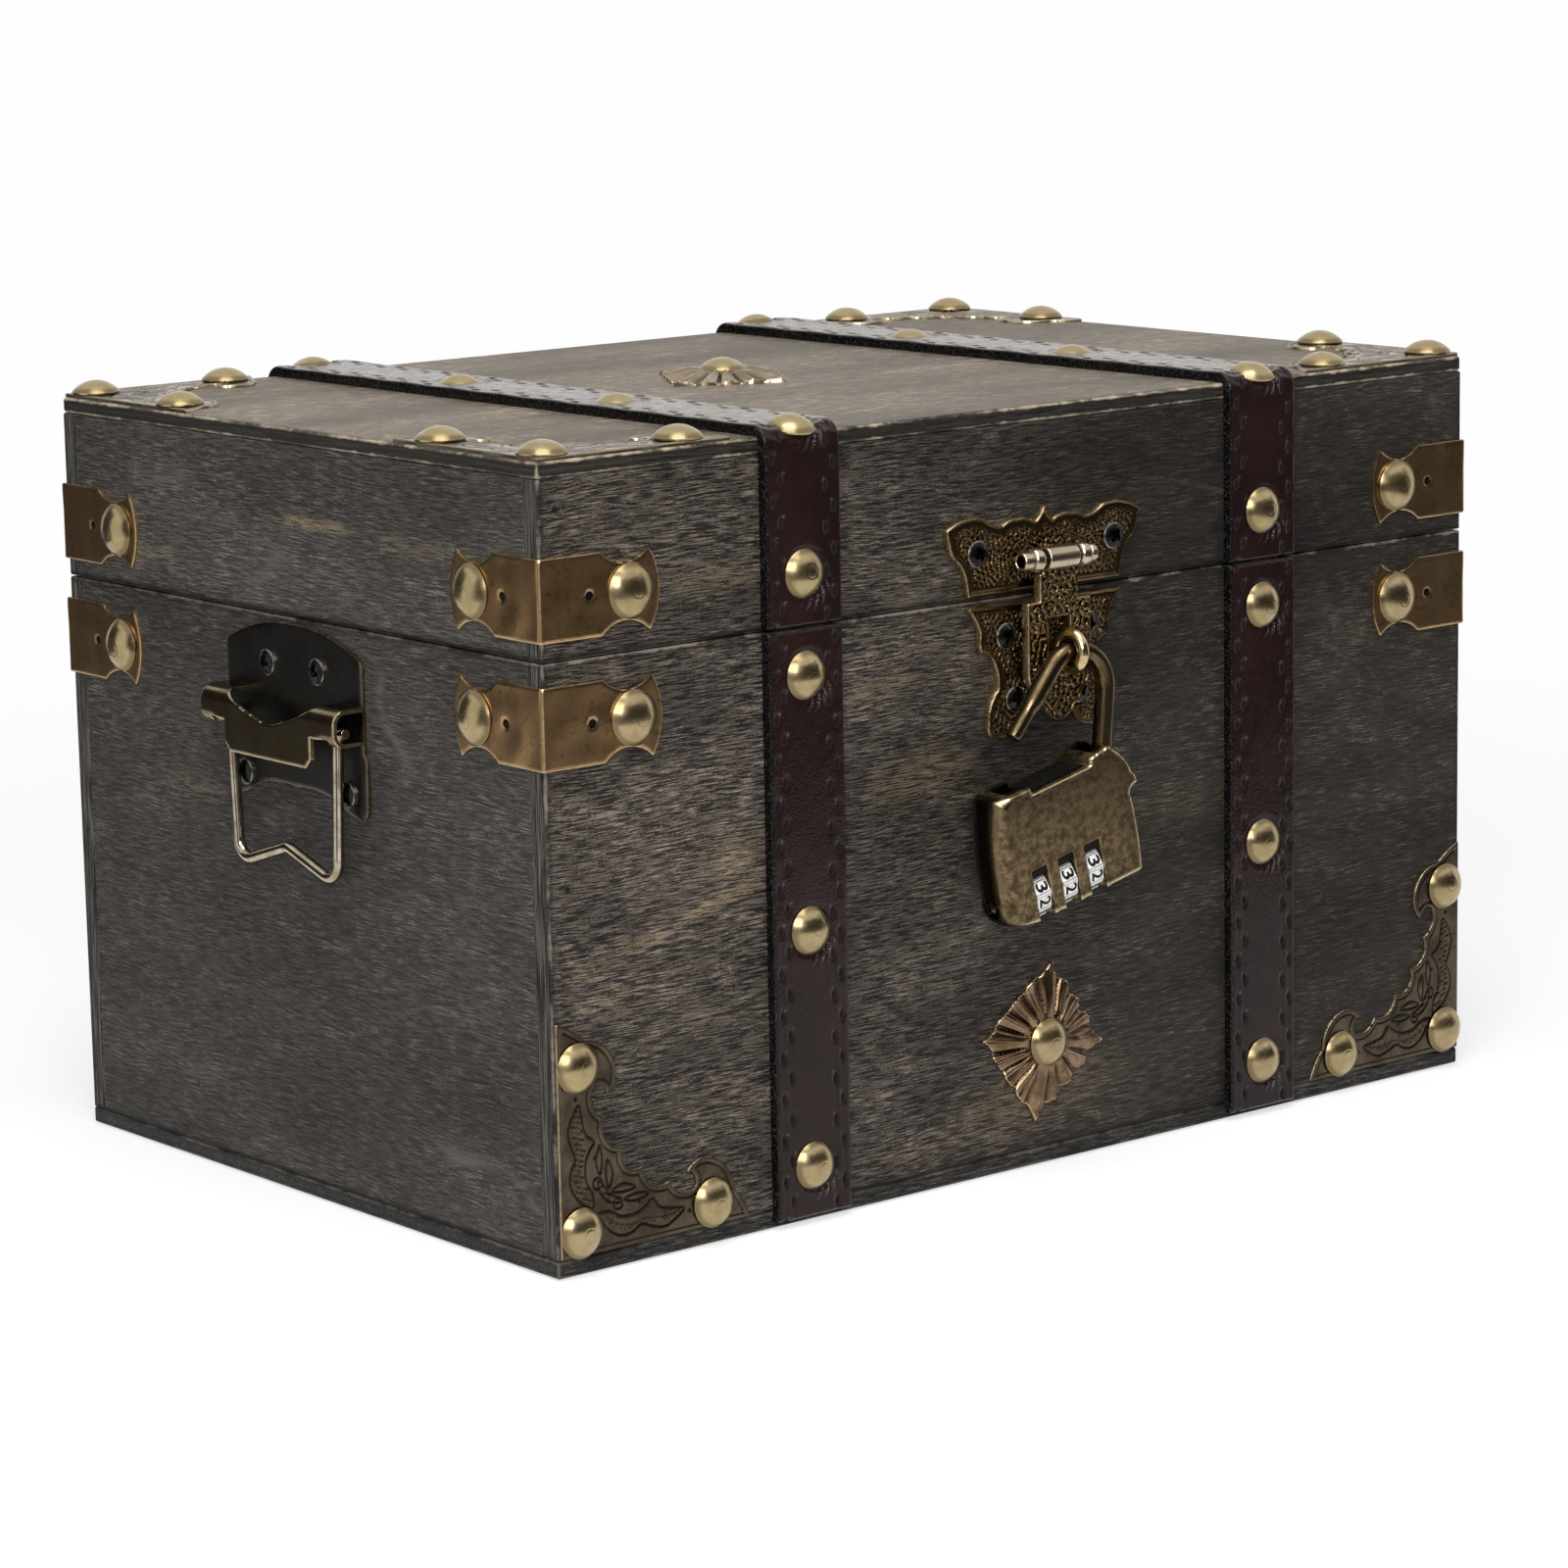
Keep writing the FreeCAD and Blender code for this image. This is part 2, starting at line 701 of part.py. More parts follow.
def nail():
    # A domed upholstery nail, head up, with the underside of its head at the origin.
    body = new_body("nail")
    head, shank = dim.nail_head / 2, dim.nail_shank / 2
    sketch = sketch_on(body, FRONT_PLANE, zero)
    trace(sketch, [(zero, -dim.nail_length), (shank, dim.nail_point - dim.nail_length), (shank, zero),
                   (head, zero), (head, dim.nail_rim, NAIL_DOME_SHARE), (shank, dim.nail_dome),
                   (zero, dim.nail_dome)])
    turned(body, sketch)
    return body


def screw():
    # A round-headed wood screw with a cross recess, head up, underside of its head at the origin.
    body = new_body("screw")
    head, shank = dim.screw_head / 2, dim.screw_shank / 2
    sketch = sketch_on(body, FRONT_PLANE, zero)
    trace(sketch, [(zero, -dim.screw_length), (shank, shank - dim.screw_length), (shank, zero),
                   (head, zero), (head, dim.screw_rim, SCREW_DOME_SHARE), (shank, dim.screw_dome),
                   (zero, dim.screw_dome)])
    turned(body, sketch)
    reach, slot = dim.screw_recess_size / 2, dim.screw_recess_slot / 2
    for half_across, half_up in ((reach, slot), (slot, reach)):
        recess = sketch_on(body, FLOOR_PLANE, dim.screw_dome)
        trace_box(recess, (-half_across, -half_up), (half_across, half_up))
        cut(body, recess, dim.screw_recess)
    return body


def turned(body, sketch):
    feature = body.newObject("PartDesign::Revolution", "Turned")
    feature.Profile = sketch
    feature.ReferenceAxis = (sketch, ["V_Axis"])
    feature.Angle = 360
    return feature


def group(label, template, places):
    # Copies of one fastener at places of (position, way that its head faces).
    links = []
    for position, facing in places:
        link = doc.addObject("App::Link", f"{template.Label}_copy")
        link.LinkedObject = template
        link.Placement = FreeCAD.Placement(FreeCAD.Vector(), FreeCAD.Rotation(FreeCAD.Vector(0, 0, 1), facing))
        place_at(link, position)
        links.append(link)
    compound = doc.addObject("Part::Compound", label)
    compound.Links = links
    return keep(label, compound)


def strap_nails():
    # Nails of the body's straps, then of the lid's straps.
    on_body, on_lid = [], []
    sunk = strap_face - dim.strap_nail_sink
    roof = dim.box_height + dim.strap_thick - dim.strap_nail_sink
    tilt = math.radians(dim.bend_nail_tilt.value)
    bend_depth = strap_face - dim.strap_bend
    bend_height = dim.box_height + dim.strap_thick - dim.strap_bend
    bend_reach = dim.strap_bend - dim.strap_nail_sink
    for side in (LEFT, RIGHT):
        across = strap_place * side
        for facing in (FRONT, BACK):
            outward = FreeCAD.Vector(0, facing, 0)
            for height in (dim.strap_nail_low, dim.strap_nail_middle, rim - dim.strap_nail_drop):
                on_body.append(((across, sunk * facing, height), outward))
            on_lid.append(((across, sunk * facing, rim + dim.strap_nail_rise), outward))
            on_lid.append(((across, dim.strap_nail_top * facing, roof), UP))
            bend = (bend_depth + bend_reach * math.sin(tilt)) * facing
            height = bend_height + bend_reach * math.cos(tilt)
            on_lid.append(((across, bend, height), FreeCAD.Vector(0, facing * math.sin(tilt), math.cos(tilt))))
    return on_body, on_lid


def band_nails(middle):
    places = []
    for side in (LEFT, RIGHT):
        for facing in (FRONT, BACK):
            places.append((((half_width - dim.band_nail) * side, (half_depth + dim.sheet) * facing, middle),
                           FreeCAD.Vector(0, facing, 0)))
            places.append((((half_width + dim.sheet) * side, (half_depth - dim.band_nail) * facing, middle),
                           FreeCAD.Vector(side, 0, 0)))
    return places


def plate_nails(plane_wanted):
    places = []
    for _, plane, lift, corner, across_sense, up_sense in plate_corners():
        for across_offset, up_offset in plate_nail_offsets():
            across = corner[0] + across_offset * across_sense
            up = corner[1] + up_offset * up_sense
            if plane == plane_wanted == FRONT_PLANE:
                places.append(((across, -lift - dim.sheet, up), AHEAD))
            if plane == plane_wanted == FLOOR_PLANE:
                places.append(((across, up, lift + dim.sheet), UP))
    return places


def nails():
    template = nail()
    on_body, on_lid = strap_nails()
    ornament_top = dim.sheet + dim.ornament_peak
    on_body += band_nails(rim - dim.band_drop) + plate_nails(FRONT_PLANE)
    on_body.append(((zero, -half_depth - ornament_top, dim.ornament_rise), AHEAD))
    on_lid += band_nails(rim + dim.band_rise) + plate_nails(FLOOR_PLANE)
    on_lid.append(((dim.lid_ornament_across, dim.lid_ornament_back, dim.box_height + ornament_top), UP))
    group("body_nails", template, on_body)
    group("lid_nails", template, on_lid)


def mirrored(points):
    # A closed outline from its right half, drawn downwards: (across, up, bulge), about the clasp's middle.
    bulges = [bulge for _, _, bulge in points]
    right = [(dim.clasp_shift + across, up, bulge) for across, up, bulge in points]
    left = [(dim.clasp_shift - across, up, before)
            for (across, up, _), before in zip(points, [0] + bulges[:-1])]
    return right, left[::-1]


def clasp_upper_plate():
    body = new_body("clasp_upper_plate")
    foot = rim + dim.wing_gap
    half = dim.wing_span / 2
    right, left = mirrored([(half * across, foot + dim.wing_height * up, bulge)
                            for across, up, bulge in WING_SHARES])
    sketch = sketch_on(body, FRONT_PLANE, half_depth)
    trace(sketch, right + left[:-1])
    pad(body, sketch, dim.clasp_sheet)
    inner = dim.hasp_knuckle_long / 2 + dim.knuckle_gap
    web = dim.knuckle_size / 4
    for start in (dim.clasp_shift + inner, dim.clasp_shift - inner - dim.knuckle_long):
        knuckle = sketch_on(body, SIDE_PLANE, start)
        trace_circle(knuckle, -pin_depth, pin_height, dim.knuckle_size)
        pad(body, knuckle, dim.knuckle_long)
        bracket = sketch_on(body, SIDE_PLANE, start)
        trace_box(bracket, (-pin_depth, pin_height - web), (-half_depth, pin_height + web))
        pad(body, bracket, dim.knuckle_long)
    bore = sketch_on(body, SIDE_PLANE, dim.clasp_shift)
    trace_circle(bore, -pin_depth, pin_height, dim.pin_size + dim.pin_play * 2)
    cut(body, bore, dim.wing_span, both_ways=True)
    clasp_screw_holes(body, upper_screws())
    return keep("clasp_upper_plate", body)


def upper_screws():
    return [(dim.clasp_shift + dim.wing_screw_across * side, rim + dim.wing_gap + dim.wing_screw_rise)
            for side in (LEFT, RIGHT)]


def lower_screws():
    places = []
    for side in (LEFT, RIGHT):
        places.append((dim.clasp_shift + dim.tail_screw_across * side, rim - dim.tail_screw_drop))
        places.append((dim.clasp_shift + dim.tail_screw_low_across * side, rim - dim.tail_screw_low_drop))
    return places


def clasp_screw_holes(body, places):
    holes = sketch_on(body, FRONT_PLANE, half_depth)
    for across, up in places:
        trace_circle(holes, across, up, screw_hole)
    cut(body, holes, (dim.clasp_sheet + dim.overrun) * 2, both_ways=True)


def clasp_lower_plate():
    body = new_body("clasp_lower_plate")
    top = rim - dim.tail_gap
    half = dim.tail_span / 2
    notch_bulge = TAIL_SHARES[-1][2]
    right, left = mirrored([(half * across, top - dim.tail_height * down, bulge)
                            for across, down, bulge in TAIL_SHARES])
    notch = (dim.clasp_shift, top - dim.tail_height * TAIL_NOTCH_SHARE, notch_bulge)
    sketch = sketch_on(body, FRONT_PLANE, half_depth)
    trace(sketch, right + [notch] + left)
    pad(body, sketch, dim.clasp_sheet)
    clasp_screw_holes(body, lower_screws())
    return keep("clasp_lower_plate", body)


def clasp_hasp():
    # The hasp: a barrel on the pin and a leaf that hangs over the lower plate, with a slot for the staple.
    body = new_body("clasp_hasp")
    barrel = sketch_on(body, SIDE_PLANE, dim.clasp_shift)
    trace_circle(barrel, -pin_depth, pin_height, dim.knuckle_size)
    pad(body, barrel, dim.hasp_knuckle_long, both_ways=True)
    half = dim.hasp_width / 2
    clear = pin_height - dim.knuckle_size / 2 - dim.knuckle_gap * 2
    shoulder = pin_height - dim.hasp_shoulder
    tip_bulge = HASP_SHARES[-1][2]
    upper = [(dim.hasp_knuckle_long / 2, pin_height, 0), (dim.hasp_knuckle_long / 2, clear, 0),
             (dim.hasp_neck / 2, clear, 0), (dim.hasp_neck / 2, shoulder, 0), (half, shoulder, 0)]
    lower = [(half * across, pin_height - dim.hasp_length * down, bulge) for across, down, bulge in HASP_SHARES]
    right, left = mirrored(upper + lower)
    tip = (dim.clasp_shift, pin_height - dim.hasp_length, tip_bulge)
    leaf = sketch_on(body, FRONT_PLANE, half_depth + dim.hasp_stand)
    trace(leaf, right + [tip] + left)
    pad(body, leaf, dim.hasp_sheet)
    bore = sketch_on(body, SIDE_PLANE, dim.clasp_shift)
    trace_circle(bore, -pin_depth, pin_height, dim.pin_size + dim.pin_play * 2)
    cut(body, bore, dim.hasp_width, both_ways=True)
    slot = sketch_on(body, FRONT_PLANE, half_depth + dim.hasp_stand)
    slot_top = pin_height - dim.hasp_slot_drop
    trace_box(slot, (dim.clasp_shift - dim.hasp_slot / 2, slot_top - dim.hasp_slot_long),
              (dim.clasp_shift + dim.hasp_slot / 2, slot_top))
    cut(body, slot, (dim.hasp_sheet + dim.overrun) * 2, both_ways=True)
    return keep("clasp_hasp", body)


def clasp_pin():
    # The pin through the knuckles, with a round head on the right and a hollow tail on the left.
    body = new_body("clasp_pin")
    reach = dim.hasp_knuckle_long / 2 + dim.knuckle_gap + dim.knuckle_long
    left, right = dim.clasp_shift - reach, dim.clasp_shift + reach
    for start, long, size in ((left, reach * 2, dim.pin_size), (right, dim.pin_head_long, dim.pin_head),
                              (left - dim.pin_tail_long, dim.pin_tail_long, dim.pin_head)):
        sketch = sketch_on(body, SIDE_PLANE, start)
        trace_circle(sketch, -pin_depth, pin_height, size)
        pad(body, sketch, long)
    bore = sketch_on(body, SIDE_PLANE, left - dim.pin_tail_long)
    trace_circle(bore, -pin_depth, pin_height, dim.pin_bore * 2)
    cut(body, bore, dim.pin_tail_long / 2, backwards=True)
    return keep("clasp_pin", body)


def clasp_staple():
    # A round eye on a stem, its hole running along the front.
    ring = doc.addObject("Part::Torus", "staple_eye")
    ring.setExpression("Radius1", (dim.staple_ring / 2).text)
    ring.setExpression("Radius2", (dim.staple_wire / 2).text)
    ring.Placement = FreeCAD.Placement(FreeCAD.Vector(), FreeCAD.Rotation(FreeCAD.Vector(0, 1, 0), 90))
    place_at(ring, (dim.clasp_shift, -staple_depth, staple_height))
    stem = doc.addObject("Part::Cylinder", "staple_stem")
    stem.setExpression("Radius", (dim.staple_wire / 2).text)
    stem.setExpression("Height", (dim.staple_stand - dim.clasp_sheet - dim.staple_ring / 2).text)
    stem.Placement = FreeCAD.Placement(FreeCAD.Vector(), FreeCAD.Rotation(FreeCAD.Vector(1, 0, 0), 90))
    place_at(stem, (dim.clasp_shift, -clasp_face, staple_height))
    staple = doc.addObject("Part::Fuse", "clasp_staple")
    staple.Base = ring
    staple.Tool = stem
    return keep("clasp_staple", staple)


def rod(path, diameter):
    # A round rod along a wire that starts at the wire's first edge.
    first = path.Edges[0]
    start = first.valueAt(first.FirstParameter)
    heading = first.tangentAt(first.FirstParameter)
    profile = Part.Wire(Part.makeCircle(diameter.value / 2, start, heading))
    return path.makePipeShell([profile], True, False)


def round_path(points, radii):
    # Straight runs through the points, with an arc of each radius at the points between the ends.
    edges = []
    last = points[0]
    for before, corner, after, radius in zip(points, points[1:], points[2:], radii):
        back = (before - corner).normalize()
        ahead = (after - corner).normalize()
        half_turn = back.getAngle(ahead) / 2
        run = radius.value / math.tan(half_turn)
        start, finish = corner + back * run, corner + ahead * run
        inward = (back + ahead).normalize()
        middle = corner + inward * (radius.value / math.sin(half_turn) - radius.value)
        edges.append(Part.LineSegment(last, start).toShape())
        edges.append(Part.Arc(start, middle, finish).toShape())
        last = finish
    edges.append(Part.LineSegment(last, points[-1]).toShape())
    return Part.Wire(edges)


def padlock_shackle():
    # The open shackle: both legs leave an arc that hangs through the staple's eye.
    shift, bend = dim.shackle_shift.value, dim.shackle_bend.value
    eye = FreeCAD.Vector(dim.clasp_shift.value, -staple_depth.value, staple_height.value)
    centre = eye + FreeCAD.Vector(shift, 0, -math.sqrt(bend ** 2 - shift ** 2))
    foot = FreeCAD.Vector(pivot_across.value, eye.y, pivot_height.value)
    tip = eye - FreeCAD.Vector(dim.shackle_tip_across.value, 0, dim.shackle_tip_drop.value)

    def on_arc(angle):
        return centre + FreeCAD.Vector(math.cos(angle), 0, math.sin(angle)) * bend

    def touch(point, sense):
        away = point - centre
        return math.atan2(away.z, away.x) % (2 * math.pi) + sense * math.acos(bend / away.Length)

    start, finish = touch(foot, 1) - 2 * math.pi, touch(tip, -1)
    path = Part.Wire([Part.LineSegment(foot, on_arc(start)).toShape(),
                      Part.Arc(on_arc(start), on_arc((start + finish) / 2), on_arc(finish)).toShape(),
                      Part.LineSegment(on_arc(finish), tip).toShape()])
    across = FreeCAD.Vector(0, 1, 0)
    thick = dim.shackle_eye_thick.value
    boss = Part.makeCylinder(dim.shackle_eye.value / 2, thick, foot - across * (thick / 2), across)
    bore = Part.makeCylinder(dim.pivot_size.value / 2 + dim.pivot_play.value, thick * 2, foot - across * thick, across)
    shackle = doc.addObject("Part::Feature", "padlock_shackle")
    shackle.Shape = rod(path, dim.shackle_size).fuse(boss).cut(bore).removeSplitter()
    return keep("padlock_shackle", shackle)


def hang_on_pivot(body):
    # The padlock's pieces are drawn about the shackle's pivot and tilt with the case.
    tilt = FreeCAD.Rotation(FreeCAD.Vector(0, 1, 0), -dim.lock_tilt.value)
    body.Placement = FreeCAD.Placement(FreeCAD.Vector(), tilt)
    place_at(body, (pivot_across, -staple_depth, pivot_height))


def dial_places():
    return [-dim.dial_across + dim.dial_pitch * step for step in (-1, 0, 1)]


def padlock_case():
    body = new_body("padlock_case")
    width, height = dim.lock_width, dim.lock_height
    sketch = sketch_on(body, FRONT_PLANE, zero)
    trace(sketch, [(width * across, height * up, bulge) for across, up, bulge in LOCK_SHARES])
    pad(body, sketch, dim.lock_thick, both_ways=True)
    left_limit = (width * LOCK_ROUND_LEFT_SHARE).value
    low_limit = (height * LOCK_ROUND_LOW_SHARE).value

    def on_face(edge):
        return abs(abs(edge.CenterOfMass.y) - dim.lock_thick.value / 2) < dim.lock_ease.value / 2

    def rounded(edge):
        middle = edge.CenterOfMass
        return on_face(edge) and middle.x < left_limit and middle.z > low_limit
    ease(body, dim.lock_round, rounded)
    through = dim.lock_thick + dim.overrun * 2
    top = height * LOCK_TOP_SHARE
    slots = sketch_on(body, FRONT_PLANE, zero)
    half = dim.dial_wide / 2 + dim.dial_play
    for across in dial_places():
        trace_box(slots, (across - half, -height), (across + half, dim.dial_size / 2 + dim.lock_play - dim.dial_drop))
    cut(body, slots, through, both_ways=True)
    recess = sketch_on(body, FLOOR_PLANE, top + dim.overrun)
    trace_box(recess, (width * LOCK_RECESS_LEFT_SHARE, -dim.lock_recess / 2),
              (width * LOCK_RECESS_RIGHT_SHARE, dim.lock_recess / 2))
    cut(body, recess, dim.lock_recess_deep + dim.overrun)
    mouth = sketch_on(body, FLOOR_PLANE, top + dim.overrun)
    trace_box(mouth, (-dim.lock_mouth_across - dim.lock_mouth_long / 2, -dim.lock_mouth_wide / 2),
              (dim.lock_mouth_long / 2 - dim.lock_mouth_across, dim.lock_mouth_wide / 2))
    cut(body, mouth, dim.lock_mouth_deep + dim.overrun)
    fork = sketch_on(body, FRONT_PLANE, zero)
    trace_box(fork, (width * LOCK_FORK_LEFT_SHARE, height * LOCK_FORK_LOW_SHARE), (width, height))
    cut(body, fork, dim.shackle_size + dim.lock_play * 2, both_ways=True)
    bore = sketch_on(body, FRONT_PLANE, zero)
    trace_circle(bore, zero, zero, dim.pivot_size + dim.pivot_play * 2)
    cut(body, bore, through, both_ways=True)
    axle = sketch_on(body, SIDE_PLANE, zero)
    trace_circle(axle, zero, -dim.dial_drop, dim.spindle_size + dim.spindle_play * 2)
    cut(body, axle, width * 2, both_ways=True)
    hang_on_pivot(body)
    return keep("padlock_case", body)


def padlock_inside():
    # The latch piece in the top recess, the pivot pin, the dial spindle and the three dials.
    latch = new_body("padlock_latch")
    floor = dim.lock_height * LOCK_TOP_SHARE - dim.lock_recess_deep
    sketch = sketch_on(latch, FLOOR_PLANE, floor)
    half = dim.lock_recess / 2 - dim.lock_play
    trace_box(sketch, (dim.lock_width * LOCK_RECESS_LEFT_SHARE + dim.lock_play, -half),
              (dim.lock_width * LOCK_RECESS_RIGHT_SHARE - dim.lock_play, half))
    pad(latch, sketch, dim.lock_recess_deep - dim.latch_step)
    hang_on_pivot(keep("padlock_latch", latch))

    pin = new_body("padlock_pivot_pin")
    sketch = sketch_on(pin, FRONT_PLANE, zero)
    trace_circle(sketch, zero, zero, dim.pivot_size)
    pad(pin, sketch, dim.lock_thick, both_ways=True)
    hang_on_pivot(keep("padlock_pivot_pin", pin))

    spindle = new_body("padlock_spindle")
    start = dim.lock_width * LOCK_SHARES[0][0] + dim.spindle_inset
    sketch = sketch_on(spindle, SIDE_PLANE, start)
    trace_circle(sketch, zero, -dim.dial_drop, dim.spindle_size)
    pad(spindle, sketch, -start)
    hang_on_pivot(keep("padlock_spindle", spindle))

    for name, across in zip(("left", "middle", "right"), dial_places()):
        label = f"padlock_dial_{name}"
        dial = new_body(label)
        sketch = sketch_on(dial, SIDE_PLANE, across)
        trace_circle(sketch, zero, -dim.dial_drop, dim.dial_size)
        trace_circle(sketch, zero, -dim.dial_drop, dim.spindle_size + dim.spindle_play * 2)
        pad(dial, sketch, dim.dial_wide, both_ways=True)
        hang_on_pivot(keep(label, dial))


def handle_plate(label, side):
    # A plate whose middle is rolled out into a tunnel for the bail, with a flap between the bail's legs.
    body = new_body(label)
    middle = dim.handle_shift
    half = dim.handle_width / 2
    face = half_width * side
    inward = side == LEFT
    bulges = [bulge for _, _, bulge in HANDLE_SHARES]
    right = [(middle + half * across, handle_top - dim.handle_height * down, bulge)
             for across, down, bulge in HANDLE_SHARES]
    left = [(middle - half * across, handle_top - dim.handle_height * down, before)
            for (across, down, _), before in zip(HANDLE_SHARES, [0] + bulges[:-1])]
    foot = (middle, handle_top - dim.handle_height * HANDLE_FOOT_SHARE, bulges[-1])
    sketch = sketch_on(body, SIDE_PLANE, face)
    trace(sketch, right + [foot] + left[:0:-1])
    pad(body, sketch, dim.handle_sheet, backwards=inward)

    base = half_width + dim.handle_sheet
    inner, outer = base + dim.tunnel_depth, base + dim.tunnel_depth + dim.handle_sheet
    roof, floor = tunnel_middle + dim.tunnel_height / 2, tunnel_middle - dim.tunnel_height / 2
    top, low = roof + dim.handle_sheet, floor - dim.handle_sheet
    bend, inner_bend = dim.tunnel_bend + dim.handle_sheet, dim.tunnel_bend
    arc = QUARTER_SHARE * side
    section = sketch_on(body, FRONT_PLANE, -middle)
    trace(section, [(face, top), ((outer - bend) * side, top, -arc), (outer * side, top - bend),
                    (outer * side, low + bend, -arc), ((outer - bend) * side, low), (face, low),
                    (face, floor), ((inner - inner_bend) * side, floor, arc), (inner * side, floor + inner_bend),
                    (inner * side, roof - inner_bend, arc), ((inner - inner_bend) * side, roof), (face, roof)])
    pad(body, section, dim.tunnel_long, both_ways=True)

    reach = dim.tunnel_depth + dim.handle_sheet + dim.overrun
    flap = dim.flap_wide / 2
    ear = dim.tunnel_long / 2 - dim.tunnel_lip
    notches = sketch_on(body, SIDE_PLANE, base * side)
    notch_top = bail_height - dim.notch_rise
    under = low - dim.overrun
    trace_box(notches, (middle - ear, under), (middle - flap, notch_top))
    trace_box(notches, (middle + flap, under), (middle + ear, notch_top))
    cut(body, notches, reach, backwards=side == RIGHT)
    belly = sketch_on(body, SIDE_PLANE, base * side)
    trace_box(belly, (middle - flap, under), (middle + flap, floor + inner_bend))
    cut(body, belly, reach, backwards=side == RIGHT)
    tongue = sketch_on(body, SIDE_PLANE, inner * side)
    trace_box(tongue, (middle - flap, handle_top - dim.flap_drop), (middle + flap, floor + inner_bend * 2))
    pad(body, tongue, dim.handle_sheet, backwards=inward)
    dip = sketch_on(body, SIDE_PLANE, base * side)
    over = top + dim.overrun
    shallow, deep = flap * TUNNEL_DIP_SHARE, top - dim.tunnel_dip
    trace(dip, [(middle - flap, over), (middle - flap, top, TUNNEL_SIDE_SHARE),
                (middle - shallow, deep, TUNNEL_MIDDLE_SHARE), (middle + shallow, deep, TUNNEL_SIDE_SHARE),
                (middle + flap, top), (middle + flap, over)])
    cut(body, dip, reach, backwards=side == RIGHT)
    holes = sketch_on(body, SIDE_PLANE, face)
    for across, up in handle_screws():
        trace_circle(holes, across, up, screw_hole)
    cut(body, holes, (dim.handle_sheet + dim.overrun) * 2, both_ways=True)
    return keep(label, body)


def handle_screws():
    places = []
    for side in (LEFT, RIGHT):
        places.append((dim.handle_shift + dim.handle_screw_across * side, handle_top - dim.handle_screw_drop))
        places.append((dim.handle_shift + dim.handle_low_across * side, handle_top - dim.handle_low_drop))
    return places


def handle_bail(label, side):
    # A wire bail: its ends turn outwards into the tunnel's ears, its foot rises in the middle.
    depth = bail_depth.value * side
    middle = dim.handle_shift.value
    height = bail_height.value
    half, stub = dim.bail_wide.value / 2, dim.bail_stub.value
    foot = height - dim.bail_drop.value
    toe = half - dim.bail_taper.value
    right = [(half + stub, height), (half, height), (toe, foot)]
    outline = right + [(0, foot + dim.bail_dip.value)] + [(-across, up) for across, up in right[::-1]]
    points = [FreeCAD.Vector(depth, middle + across, up) for across, up in outline]
    radii = [dim.bail_bend, dim.bail_corner, dim.bail_corner, dim.bail_corner, dim.bail_bend]
    bail = doc.addObject("Part::Feature", label)
    bail.Shape = rod(round_path(points, radii), dim.bail_wire)
    return keep(label, bail)


def handles():
    for name, side in (("left", LEFT), ("right", RIGHT)):
        handle_plate(f"{name}_handle_plate", side)
        handle_bail(f"{name}_handle_bail", side)


def hinge_leaf(label, across, up_sense, knuckles):
    # A leaf on the back with its knuckles on the rim line.
    body = new_body(label)
    half = dim.hinge_long / 2
    clear = dim.hinge_knuckle / 2 + dim.hinge_gap
    heights = (rim + clear * up_sense, rim + dim.hinge_leaf * up_sense)
    low, high = heights if up_sense > 0 else heights[::-1]
    sketch = sketch_on(body, FRONT_PLANE, -half_depth)
    trace_box(sketch, (across - half, low), (across + half, high))
    pad(body, sketch, dim.hinge_sheet, backwards=True)
    for start, finish in knuckles:
        knuckle = sketch_on(body, SIDE_PLANE, across + start)
        trace_circle(knuckle, hinge_depth, rim, dim.hinge_knuckle)
        pad(body, knuckle, finish - start)
        tab = sketch_on(body, SIDE_PLANE, across + start)
        heights = (rim, rim + (clear + dim.hinge_sheet) * up_sense)
        tab_low, tab_high = heights if up_sense > 0 else heights[::-1]
        trace_box(tab, (half_depth, tab_low), (half_depth + dim.hinge_sheet, tab_high))
        pad(body, tab, finish - start)
    bore = sketch_on(body, SIDE_PLANE, across)
    trace_circle(bore, hinge_depth, rim, dim.hinge_pin + dim.hinge_pin_play * 2)
    cut(body, bore, dim.hinge_long + dim.overrun, both_ways=True)
    holes = sketch_on(body, FRONT_PLANE, -half_depth)
    for screw_across, up in hinge_screws(across, up_sense):
        trace_circle(holes, screw_across, up, screw_hole)
    cut(body, holes, (dim.hinge_sheet + dim.overrun) * 2, both_ways=True)
    return keep(label, body)


def hinge_screws(across, up_sense):
    return [(across + dim.hinge_screw_across * side, rim + dim.hinge_screw_rise * up_sense)
            for side in (LEFT, RIGHT)]


def hinges():
    third = dim.hinge_long / 6
    half = dim.hinge_long / 2
    outer = [(-half, -third - dim.hinge_gap), (third + dim.hinge_gap, half)]
    pins = []
    for name, side in (("left", LEFT), ("right", RIGHT)):
        across = hinge_place * side
        hinge_leaf(f"{name}_hinge_body_leaf", across, -1, outer)
        hinge_leaf(f"{name}_hinge_lid_leaf", across, 1, [(-third, third)])
        pin = doc.addObject("Part::Cylinder", f"{name}_pin")
        pin.setExpression("Radius", (dim.hinge_pin / 2).text)
        pin.setExpression("Height", dim.hinge_long.text)
        pin.Placement = FreeCAD.Placement(FreeCAD.Vector(), FreeCAD.Rotation(FreeCAD.Vector(0, 1, 0), 90))
        place_at(pin, (across - half, hinge_depth, rim))
        pins.append(pin)
    compound = doc.addObject("Part::Compound", "hinge_pins")
    compound.Links = pins
    return keep("hinge_pins", compound)


